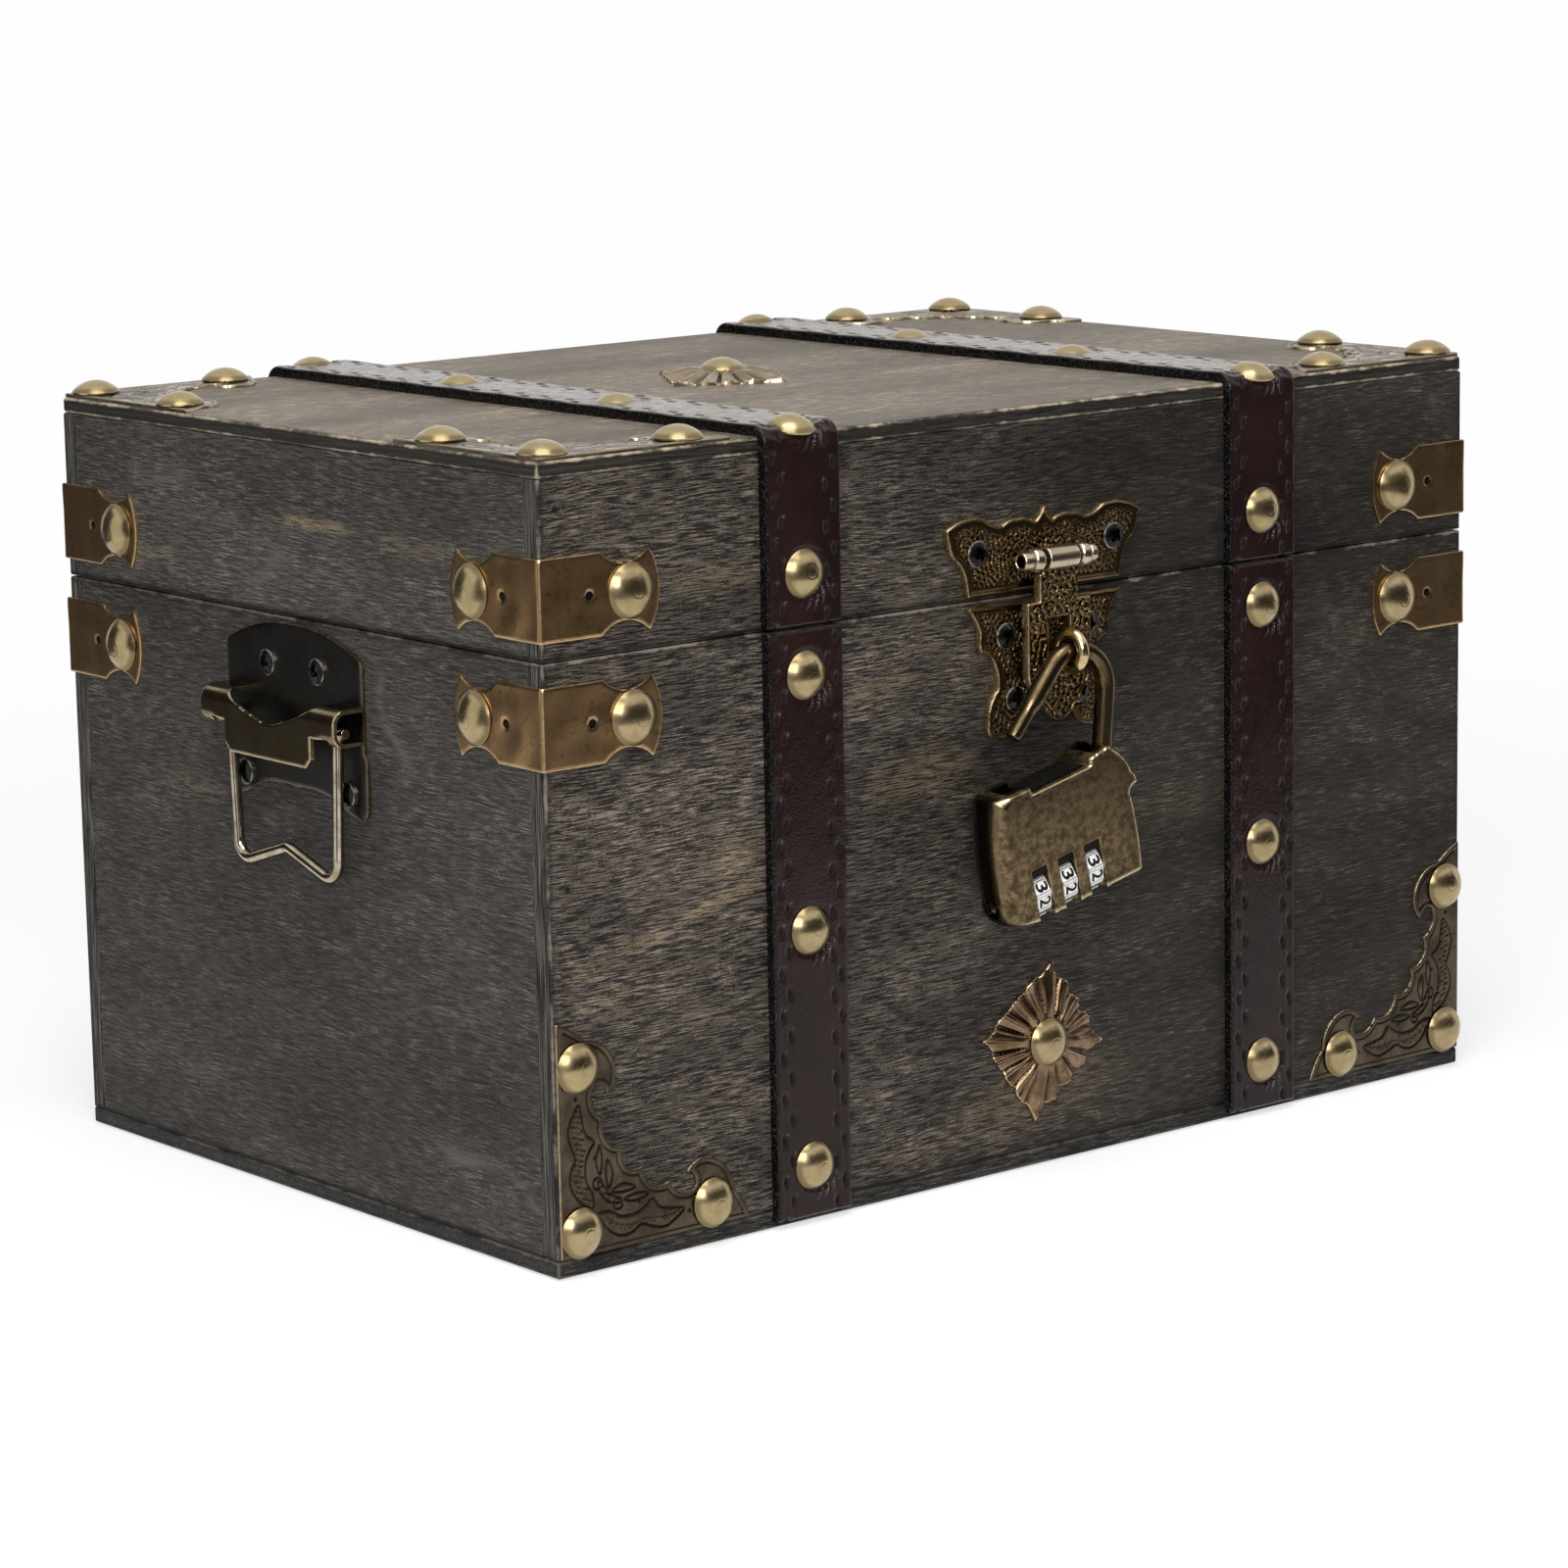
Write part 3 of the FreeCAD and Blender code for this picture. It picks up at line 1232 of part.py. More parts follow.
def screws():
    template = screw()
    on_body = [((across, -clasp_face, up), AHEAD) for across, up in lower_screws()]
    on_lid = [((across, -clasp_face, up), AHEAD) for across, up in upper_screws()]
    for side in (LEFT, RIGHT):
        for across, up in handle_screws():
            on_body.append((((half_width + dim.handle_sheet) * side, across, up), FreeCAD.Vector(side, 0, 0)))
        hinge_across = hinge_place * side
        leaf_face = half_depth + dim.hinge_sheet
        on_body += [((across, leaf_face, up), -AHEAD) for across, up in hinge_screws(hinge_across, -1)]
        on_lid += [((across, leaf_face, up), -AHEAD) for across, up in hinge_screws(hinge_across, 1)]
    group("body_screws", template, on_body)
    group("lid_screws", template, on_lid)


def check_and_write():
    doc.recompute()
    failed = [thing.Label for thing in doc.Objects if {"Invalid", "Error"} & set(thing.State)]
    for label, thing in nodes.items():
        if thing.Shape.isNull() or not thing.Shape.isValid() or not thing.Shape.Solids:
            failed.append(label)
    if failed:
        raise ValueError("failed: " + ", ".join(failed))
    os.makedirs("parts", exist_ok=True)
    for label, thing in nodes.items():
        thing.Shape.exportStep(f"parts/{label}.step")
    print(len(nodes), "pieces written")


wooden_box()
straps()
corner_bands()
plates_and_ornaments()
nails()
clasp_upper_plate()
clasp_lower_plate()
clasp_hasp()
clasp_pin()
clasp_staple()
padlock_shackle()
padlock_case()
padlock_inside()
handles()
hinges()
screws()
check_and_write()
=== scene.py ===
import math
import bmesh
import bpy
import numpy as np
from mathutils import Matrix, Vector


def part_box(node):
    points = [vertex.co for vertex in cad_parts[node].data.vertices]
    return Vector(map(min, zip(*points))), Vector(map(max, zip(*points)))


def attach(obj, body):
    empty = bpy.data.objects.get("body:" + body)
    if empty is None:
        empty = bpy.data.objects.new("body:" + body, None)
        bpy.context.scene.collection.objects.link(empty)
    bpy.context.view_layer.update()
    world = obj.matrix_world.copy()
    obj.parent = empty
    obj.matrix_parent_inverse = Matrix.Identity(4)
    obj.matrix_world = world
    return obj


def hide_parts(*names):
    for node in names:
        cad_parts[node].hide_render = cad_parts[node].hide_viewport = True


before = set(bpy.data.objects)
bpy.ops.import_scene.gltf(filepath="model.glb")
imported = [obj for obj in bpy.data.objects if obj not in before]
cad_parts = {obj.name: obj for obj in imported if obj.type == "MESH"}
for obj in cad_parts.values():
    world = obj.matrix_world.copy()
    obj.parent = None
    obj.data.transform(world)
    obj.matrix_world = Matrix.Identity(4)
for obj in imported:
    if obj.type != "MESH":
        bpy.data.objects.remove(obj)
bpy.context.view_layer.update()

# Sizes are in millimetres, and meshes in metres. X runs to the right along the front, -Y is the front.
mm = 0.001
chance = np.random.default_rng(41)

chest = {"halfWidth": 135.0, "halfDepth": 90.0, "height": 170.0, "rim": 129.0}
leftRight = (("left", -1), ("right", 1))
frontBack = (("front", -1), ("back", 1))


# Shapes
def unit(vector):
    return np.asarray(vector, float) / np.linalg.norm(vector)


def eased(low, high, value):
    # A step that runs smoothly from 0 at low to 1 at high.
    share = np.clip((value - low) / (high - low), 0, 1)
    return share * share * (3 - 2 * share)


def rounded(edge, radius):
    # How far a rounded edge lies below its face, by the distance from the edge.
    rest = np.clip((radius - edge) / radius, 0, 1)
    return radius * (1 - np.sqrt(1 - rest * rest))


def gridFaces(rows, columns, columnLoop=False):
    # Quads between neighbouring rows and columns of points; a loop joins the last column to the first.
    row, column = np.meshgrid(np.arange(rows - 1), np.arange(columns if columnLoop else columns - 1),
                              indexing="ij")
    following = (column + 1) % columns
    corners = [row * columns + column, row * columns + following, (row + 1) * columns + following,
               (row + 1) * columns + column]
    return np.stack(corners, -1).reshape(-1, 4)


def shell(points, quads, caps=(), marks=None, finish=0):
    return {"points": points, "quads": quads, "caps": caps, "marks": marks or {}, "finish": finish}


def placed(name, data):
    item = bpy.data.objects.new(name, data)
    bpy.context.scene.collection.objects.link(item)
    return item


def cleaned(mesh, distance):
    # Points nearer than the distance become one, and the faces look outwards.
    closed = bmesh.new()
    closed.from_mesh(mesh)
    bmesh.ops.remove_doubles(closed, verts=closed.verts, dist=distance)
    bmesh.ops.recalc_face_normals(closed, faces=closed.faces)
    closed.to_mesh(mesh)
    closed.free()


def markMesh(mesh, key, values):
    mesh.attributes.new(key, "FLOAT", "POINT").data.foreach_set("value", values.astype(np.float32))


def meshPoints(mesh):
    spots = np.zeros(len(mesh.vertices) * 3)
    mesh.vertices.foreach_get("co", spots)
    return spots.reshape(-1, 3)


def evaluated(item):
    return bpy.data.meshes.new_from_object(item.evaluated_get(bpy.context.evaluated_depsgraph_get()))


def meshPiece(name, shells, finishes, body, nodes, crease=38):
    # Shells joined into one piece: doubles merged, faces turned outwards, edges past the crease angle sharp.
    usual = {"edge": 3.0, "relief": 1.0}
    keys = sorted({key for item in shells for key in item["marks"]} | set(usual))
    marks = {key: [] for key in keys}
    points, faces, finishOf = [], [], []
    start = 0
    for item in shells:
        own = (item["quads"] + start).tolist() + [(np.asarray(cap) + start).tolist() for cap in item["caps"]]
        faces += own
        finishOf += [item["finish"]] * len(own)
        points.append(item["points"])
        for key in keys:
            marks[key].append(item["marks"].get(key, np.full(len(item["points"]), usual.get(key, 0.0))))
        start += len(item["points"])
    mesh = bpy.data.meshes.new(name)
    mesh.from_pydata((np.concatenate(points) * mm).tolist(), [], faces)
    mesh.polygons.foreach_set("material_index", finishOf)
    for key in keys:
        markMesh(mesh, key, np.concatenate(marks[key]))
    cleaned(mesh, 2e-6)
    return placePiece(name, mesh, finishes, body, nodes, crease)


def placePiece(name, mesh, finishes, body, nodes, crease=38):
    mesh.shade_smooth()
    mesh.set_sharp_from_angle(angle=math.radians(crease))
    for finish in finishes:
        mesh.materials.append(finish)
    piece = placed(name, mesh)
    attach(piece, body)
    if nodes:
        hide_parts(*nodes)
    return piece


def revolve(profile, sides, origin, axis, side):
    # A profile of (radius, height) carried round an axis through the origin.
    axis, first = unit(axis), unit(side)
    second = np.cross(axis, first)
    turn = np.arange(sides) * 2 * math.pi / sides
    ring = np.cos(turn)[:, None] * first + np.sin(turn)[:, None] * second
    profile = np.asarray(profile, float)
    points = np.asarray(origin) + profile[:, 1, None, None] * axis + profile[:, 0, None, None] * ring
    return points.reshape(-1, 3), gridFaces(len(profile), sides, True)


def rod(path, radius, ease, sides, flat, taper=0.0, taperRun=(9.0, 6.0)):
    # A circle carried along a path in the plane with the normal flat; each end is rounded by ease and
    # closed. The radius falls by the taper while the way to the path's last point runs through the taper's
    # run.
    path = np.asarray(path, float)
    way = np.gradient(path, axis=0)
    way /= np.linalg.norm(way, axis=1)[:, None]
    turn = np.linspace(0, math.pi / 2, 6)
    reach = np.append(ease * np.sin(turn), ease)
    narrow = np.append(ease * (1 - np.cos(turn)), radius)
    run = np.cumsum(np.linalg.norm(np.diff(path, axis=0, append=path[-1:]), axis=1)[::-1])[::-1]
    radii = radius - taper * eased(*taperRun, run)
    last = np.append(radii[-1] - narrow[:-1], 0.0)
    path = np.concatenate([path[0] - reach[::-1, None] * way[0], path, path[-1] + reach[:, None] * way[-1]])
    way = np.concatenate([np.repeat(way[:1], 7, 0), way, np.repeat(way[-1:], 7, 0)])
    radii = np.concatenate([radius - narrow[::-1], radii, last])
    flat = unit(flat)
    side = np.cross(flat, way)
    angle = np.arange(sides) * 2 * math.pi / sides
    ring = np.cos(angle)[None, :, None] * side[:, None] + np.sin(angle)[None, :, None] * flat
    return (path[:, None] + radii[:, None, None] * ring).reshape(-1, 3), gridFaces(len(path), sides, True)


def roundedPath(points, radii, step):
    # Straight runs through the points, with an arc of each radius at the points between the ends.
    points = [np.asarray(point, float) for point in points]
    stations = [points[0][None]]
    for before, corner, after, radius in zip(points, points[1:], points[2:], radii):
        back, ahead = unit(before - corner), unit(after - corner)
        half = math.acos(np.clip(back @ ahead, -1, 1)) / 2
        middle = corner + unit(back + ahead) * radius / math.sin(half)
        start = corner + back * radius / math.tan(half)
        arm, across = start - middle, unit(-back)
        turn = np.linspace(0, math.pi - 2 * half, max(4, int(radius * (math.pi - 2 * half) / step)))
        run = np.linspace(0, 1, max(2, int(np.linalg.norm(start - stations[-1][-1]) / step)))[1:-1, None]
        stations.append(stations[-1][-1] + run * (start - stations[-1][-1]))
        stations.append(middle + np.cos(turn)[:, None] * arm + np.sin(turn)[:, None] * across * radius)
    run = np.linspace(0, 1, max(2, int(np.linalg.norm(points[-1] - stations[-1][-1]) / step)))[1:, None]
    stations.append(stations[-1][-1] + run * (points[-1] - stations[-1][-1]))
    return np.concatenate(stations)


def arcSide(start, finish, bulge, step):
    # Points from start up to finish, without finish, on an arc as deep as the bulge times its chord,
    # to the right of the way when the bulge is positive.
    first, last = np.array(start[:2], float), np.array(finish[:2], float)
    chord = np.linalg.norm(last - first)
    along = (last - first) / chord
    right = np.array([along[1], -along[0]])
    share = np.arange(math.ceil(chord / step)) / math.ceil(chord / step)
    half = 2 * math.atan(2 * abs(bulge))
    if half < 1e-6:
        return first + share[:, None] * (last - first)
    radius = chord / 2 / math.sin(half)
    angle = (2 * share - 1) * half
    run = chord / 2 + radius * np.sin(angle)
    depth = radius * (np.cos(angle) - math.cos(half)) * math.copysign(1, bulge)
    return first + run[:, None] * along + depth[:, None] * right


def outlineLoop(corners, step):
    # A closed line through corners of (across, up) or (across, up, bulge to the next one).
    return np.concatenate([arcSide(start, finish, start[2] if len(start) > 2 else 0, step)
                           for start, finish in zip(corners, corners[1:] + corners[:1])])


def cornersFrom(shares, wide, tall, start=0.0):
    # Corners of (across, up, bulge) from shares of a width and a height; the height is negative for shares
    # downwards.
    return [(wide * across, start + tall * up, bulge) for across, up, bulge in shares]


def circleLoop(across, up, radius, count=28):
    turn = np.arange(count) * 2 * math.pi / count
    return np.stack([across + radius * np.cos(turn), up + radius * np.sin(turn)], 1)


def mirroredLoop(half, step, last=None):
    # A closed line from its right half, drawn downwards from the top, and an optional point in the middle
    # of its foot.
    bulges = [corner[2] for corner in half]
    left = [(-corner[0], corner[1], before) for corner, before in zip(half, [0] + bulges[:-1])]
    middle = [last] if last else []
    left = left[1:] if half[0][0] == 0 else left
    return outlineLoop(half + middle + left[::-1], step)


def nearestOnLoops(points, loops):
    # For each point the distance to the nearest place on closed loops, that place, and whether a ray
    # crosses an odd number of sides, which means inside.
    start = np.concatenate(loops)
    finish = np.concatenate([np.roll(loop, -1, 0) for loop in loops])
    way = finish - start
    square = (way ** 2).sum(1)
    rise = np.where(np.abs(way[:, 1]) < 1e-9, 1e-9, way[:, 1])
    distance, place, inside = [], [], []
    for part in np.array_split(points, 1 + len(points) * len(start) // 2000000):
        share = np.clip(((part[:, None] - start) * way).sum(2) / square, 0, 1)
        foot = start + share[..., None] * way
        far = ((part[:, None] - foot) ** 2).sum(2)
        pick = far.argmin(1)
        distance.append(np.sqrt(far[np.arange(len(part)), pick]))
        place.append(foot[np.arange(len(part)), pick])
        across, up = part[:, :1], part[:, 1:]
        meets = start[:, 0] + way[:, 0] * (up - start[:, 1]) / rise
        hit = ((start[:, 1] > up) != (finish[:, 1] > up)) & (across < meets)
        inside.append(hit.sum(1) % 2 == 1)
    return np.concatenate(distance), np.concatenate(place), np.concatenate(inside)


def sheetGrid(loops, spacing):
    # A square grid over the loops. Cells whose middle is inside stay, and points on their rim move onto the
    # loops.
    everything = np.concatenate(loops)
    low = everything.min(0) - spacing
    count = np.ceil((everything.max(0) + spacing - low) / spacing).astype(int) + 1
    across, up = np.meshgrid(low[0] + spacing * np.arange(count[0]), low[1] + spacing * np.arange(count[1]),
                             indexing="ij")
    corners = np.stack([across, up], -1)
    middles = corners[:-1, :-1].reshape(-1, 2) + spacing / 2
    kept = nearestOnLoops(middles, loops)[2].reshape(count[0] - 1, count[1] - 1)
    used = np.zeros(count, int)
    for dx, dy in ((0, 0), (1, 0), (0, 1), (1, 1)):
        used[dx:count[0] - 1 + dx, dy:count[1] - 1 + dy] += kept
    flat = corners[used > 0]
    edge, place, _ = nearestOnLoops(flat, loops)
    rim = used[used > 0] < 4
    flat = np.where(rim[:, None], place, flat)
    edge = np.where(rim, 0.0, edge)
    number = np.full(count, -1)
    number[used > 0] = np.arange(len(flat))
    around = np.pad(kept, 1)
    quads = np.stack([number[:-1, :-1], number[1:, :-1], number[1:, 1:], number[:-1, 1:]], -1)
    walls = []
    for first, second, beyond in ((0, 1, around[1:-1, :-2]), (1, 2, around[2:, 1:-1]),
                                  (2, 3, around[1:-1, 2:]), (3, 0, around[:-2, 1:-1])):
        bare = kept & ~beyond
        walls.append(quads[bare][:, [first, second]])
    return {"flat": flat, "edge": edge, "quads": quads[kept], "walls": np.concatenate(walls)}


def sheetShell(grid, top, base, place, marks=None, finish=0):
    # A closed plate: the grid at its upper heights, the same grid at its base, and a wall round both.
    flat, count = grid["flat"], len(grid["flat"])
    points = np.concatenate([place(flat, top), place(flat, base + np.zeros(count))])
    first, second = grid["walls"].T
    walls = np.stack([first, second, second + count, first + count], 1)
    quads = np.concatenate([grid["quads"], grid["quads"][:, ::-1] + count, walls])
    marks = {"edge": grid["edge"], **(marks or {})}
    return shell(points, quads, marks={key: np.tile(value, 2) for key, value in marks.items()},
                 finish=finish)


def smoothLine(points, count, closed=False):
    # A smooth cubic through the points.
    points = np.asarray(points, float)
    padded = np.concatenate([points[-1:], points,
                             points[:2]]) if closed else np.concatenate([points[:1], points, points[-1:]])
    place = np.linspace(0, len(padded) - 3, count, endpoint=not closed)
    index = np.minimum(place.astype(int), len(padded) - 4)
    share = (place - index)[:, None]
    a, b, c, d = (padded[index + step] for step in range(4))
    return 0.5 * (2 * b + (c - a) * share + (2 * a - 5 * b + 4 * c - d) * share ** 2
                  + (3 * b - a - 3 * c + d) * share ** 3)


def lineDistance(points, line):
    # Distance from each point to a sampled line.
    return np.concatenate([np.sqrt(((part[:, None] - line) ** 2).sum(2).min(1))
                           for part in np.array_split(points, 1 + len(points) * len(line) // 2000000)])


def wavyField(points, wave, waves, seed):
    # Sum of many plane waves of about one length in random directions, with a spread of 1.
    source = np.random.default_rng(seed)
    turn = source.uniform(0, 2 * math.pi, waves)
    number = 2 * math.pi / (wave * source.uniform(0.85, 1.2, waves))
    phase = source.uniform(0, 2 * math.pi, waves)
    angle = points[:, :1] * number * np.cos(turn) + points[:, 1:2] * number * np.sin(turn) + phase
    return np.cos(angle).sum(1) / math.sqrt(waves / 2)


# Nodes
def newFinish(name):
    finish = bpy.data.materials.new(name)
    finish.use_nodes = True
    tree = finish.node_tree
    tree.nodes.clear()
    output = tree.nodes.new("ShaderNodeOutputMaterial")
    shader = tree.nodes.new("ShaderNodeBsdfPrincipled")
    tree.links.new(shader.outputs[0], output.inputs[0])
    return finish, tree, shader


def add(tree, kind, inputs=None, out=0, **settings):
    item = tree.nodes.new("ShaderNode" + kind)
    for key, value in settings.items():
        setattr(item, key, value)
    for key, value in (inputs or {}).items():
        if isinstance(value, bpy.types.NodeSocket):
            tree.links.new(value, item.inputs[key])
        else:
            item.inputs[key].default_value = value
    return item.outputs[out]


def calc(tree, operation, first, second=0.0, third=0.0):
    return add(tree, "Math", {0: first, 1: second, 2: third}, operation=operation)


def times(tree, first, second):
    return calc(tree, "MULTIPLY", first, second)


def plus(tree, first, second):
    return calc(tree, "ADD", first, second)


def minus(tree, first, second):
    return calc(tree, "SUBTRACT", first, second)


def scaled(tree, value, factor, shift):
    return calc(tree, "MULTIPLY_ADD", value, factor, shift)


def absolute(tree, value):
    return calc(tree, "ABSOLUTE", value)


def larger(tree, first, second):
    return calc(tree, "MAXIMUM", first, second)


def smaller(tree, first, second):
    return calc(tree, "MINIMUM", first, second)


def blend(tree, share, first, second):
    colour = [value if isinstance(value, bpy.types.NodeSocket) else (*value, 1.0)
              for value in (first, second)]
    return add(tree, "Mix", {0: share, 6: colour[0], 7: colour[1]}, out=2, data_type="RGBA")


def spread(tree, value, low, high, first=0.0, last=1.0):
    return add(tree, "MapRange", {0: value, 1: low, 2: high, 3: first, 4: last},
               interpolation_type="SMOOTHSTEP")


def noise(tree, vector, scale, detail=2.0, rough=0.55, twist=0.0):
    return add(tree, "TexNoise", {"Vector": vector, "Scale": scale, "Detail": detail, "Roughness": rough,
                                  "Distortion": twist})


def stretch(tree, vector, scale, turn=(0, 0, 0), shift=(0, 0, 0)):
    return add(tree, "Mapping", {"Vector": vector, "Scale": scale, "Rotation": turn, "Location": shift})


def ownPlace(tree):
    return add(tree, "TexCoord", out=3)


def split(tree, vector):
    # The three sockets of a vector.
    parts = tree.nodes.new("ShaderNodeSeparateXYZ")
    tree.links.new(vector, parts.inputs[0])
    return parts.outputs


def ownFacing(tree):
    # The way that the face looks, in the piece's own axes, so that it turns with the piece.
    return split(tree, add(tree, "TexCoord", out=1))


def mark(tree, name):
    return add(tree, "Attribute", out=2, attribute_name=name, attribute_type="GEOMETRY")


def fixed(shader, **sockets):
    for key, value in sockets.items():
        shader.inputs[key.replace("_", " ")].default_value = value


def connect(tree, shader, **sockets):
    for key, value in sockets.items():
        tree.links.new(value, shader.inputs[key.replace("_", " ")])


def placing(right, upward, back, origin):
    # The matrix of a camera or lamp from its three axes and its place.
    return Matrix([[*row] for row in zip(right, upward, back, origin)] + [[0, 0, 0, 1]])


# Camera: the eye and the three axes that the chest's corners give in the photograph.
view = {"eye": (-731.362, -892.908, 292.762), "lens": 115.103, "sensor": 36, "near": 0.01,
        "right": (0.7705872, -0.63706398, -0.01856995), "down": (-0.13268386, -0.13185854, -0.98234837),
        "forward": (0.62337016, 0.75944902, -0.18613661)}
lens = bpy.data.cameras.new("photoCamera")
lens.lens = view["lens"]
lens.sensor_width = view["sensor"]
lens.clip_start = view["near"]
camera = placed("photoCamera", lens)
camera.matrix_world = placing(view["right"], -np.array(view["down"]), -np.array(view["forward"]),
                              np.array(view["eye"]) * mm)
bpy.context.scene.camera = camera
bpy.context.scene.view_settings.view_transform = "Standard"
print("camera placed")

# Light: soft boxes on the left, above and on the right, and an even surround. The background and the floor
# are white for direct, mirrored and seen-through rays, and the floor's own shading keeps a soft shadow.
# Dark curved flags lie and stand left and in front, for mirrored rays only, as the dark side of a studio
# does, with pale gaps between them.
studio = {"surround": 0.28, "floorHalf": 12, "floorDrop": 0.0004, "floorGlow": 0.62, "floorShade": 0.42,
          "farGlow": 0.98, "farShade": 0.02, "fade": (0.22, 0.75),
          "paper": ((0.90, 0.90, 0.90), (0.94, 0.94, 0.94)), "aim": (0, 0, 0.08),
          "flag": {"turns": ((100, 146), (186, 211), (225, 335)),
                   "section": [(0.42, 0.003), (2.0, 0.006), (2.0, 1.3)], "points": 60,
                   "cloth": ((0.060, 0.060, 0.060), (0.085, 0.084, 0.082))},
          "boxes": [("leftBox", (-0.75, -0.80, 0.62), 0.6, 9.5), ("topBox", (-0.30, -0.45, 1.6), 1.0, 15.0),
                    ("rightBox", (1.5, -1.2, 1.0), 0.9, 1.0)]}


def backgroundRays(tree):
    path = tree.nodes.new("ShaderNodeLightPath")
    return larger(tree, larger(tree, path.outputs["Is Camera Ray"], path.outputs["Is Glossy Ray"]),
                  path.outputs["Is Transmission Ray"])


world = bpy.data.worlds.new("studio")
bpy.context.scene.world = world
world.use_nodes = True
tree = world.node_tree
tree.nodes.clear()
strength = add(tree, "MapRange", {0: backgroundRays(tree), 3: studio["surround"], 4: 1.0})
tree.links.new(add(tree, "Background", {"Color": (1, 1, 1, 1), "Strength": strength}),
               tree.nodes.new("ShaderNodeOutputWorld").inputs[0])
for name, place, size, power in studio["boxes"]:
    lamp = bpy.data.lights.new(name, "AREA")
    lamp.size, lamp.energy = size, power
    box = placed(name, lamp)
    back = unit(np.array(place) - studio["aim"])
    side = unit(np.cross((0, 0, 1), back))
    box.matrix_world = placing(side, np.cross(back, side), back, place)


def stagePiece(name, points, faces, finish):
    mesh = bpy.data.meshes.new(name)
    mesh.from_pydata(points, [], faces)
    mesh.materials.append(finish)
    piece = placed(name, mesh)
    return piece


floorFinish, tree, shader = newFinish("paleFloor")
coord = ownPlace(tree)
seen = backgroundRays(tree)
paper = blend(tree, noise(tree, coord, 3.0), *studio["paper"])
far = spread(tree, add(tree, "VectorMath", {0: coord}, out=1, operation="LENGTH"), *studio["fade"])
shaded = blend(tree, far, (studio["floorShade"],) * 3, (studio["farShade"],) * 3)
glow = scaled(tree, far, studio["farGlow"] - studio["floorGlow"], studio["floorGlow"])
connect(tree, shader, Base_Color=blend(tree, seen, paper, shaded), Emission_Strength=times(tree, seen, glow))
fixed(shader, Emission_Color=(1, 1, 1, 1), Roughness=0.9, Specular_IOR_Level=0.0)
half, drop = studio["floorHalf"], -studio["floorDrop"]
stagePiece("floor", [(-half, -half, drop), (half, -half, drop), (half, half, drop), (-half, half, drop)],
           [(0, 1, 2, 3)], floorFinish)

flagFinish, tree, shader = newFinish("flagCloth")
weave = noise(tree, ownPlace(tree), 40.0)
connect(tree, shader, Base_Color=blend(tree, weave, *studio["flag"]["cloth"]))
fixed(shader, Roughness=0.95)
section, count = studio["flag"]["section"], studio["flag"]["points"]
for number, ends in enumerate(studio["flag"]["turns"]):
    turn = np.radians(np.linspace(*ends, count))
    rows = [np.stack([reach * np.cos(turn), reach * np.sin(turn), np.full(count, tall)], 1)
            for reach, tall in section]
    flag = stagePiece(f"flag_{number}", np.concatenate(rows).tolist(), gridFaces(len(rows), count).tolist(),
                      flagFinish)
    flag.visible_camera = flag.visible_diffuse = flag.visible_shadow = flag.visible_transmission = False
print("stage lit")


# Wood: charcoal-stained board with hairlines along the grain, worn tan patches, wandering veins and dark
# rubbed edges. A patch is (along, up, half length, half height, strength, slope), and a brad hole (along,
# up), both on the outer face. On the front, painted shade darkens the board towards the right: its three
# values give the shade at the left end, right of the middle and at the right end, and calm how much of the
# contrast is left on the right. Grain holds the scales of the noise, the shares of their stretch along the
# grain and the colours that all boards have in common.
grain = {"sway": 13.0, "swayReach": 0.004, "along": 0.05, "slowAlong": 0.34, "shortAlong": 0.3,
         "fine": 4200.0, "fibre": 1100.0, "speck": 4600.0, "clouds": 34.0, "glints": 240.0, "worn": 21.0,
         "vein": 15.0, "veins": 5.0, "ragged": 330.0, "rubbed": 75.0, "layer": 1900.0, "layerLong": 60.0,
         "edgeBlack": (0.006, 0.005, 0.0045), "bradBlack": (0.004, 0.004, 0.004),
         "seamShadowAndDirt": (0.003, 0.003, 0.003)}
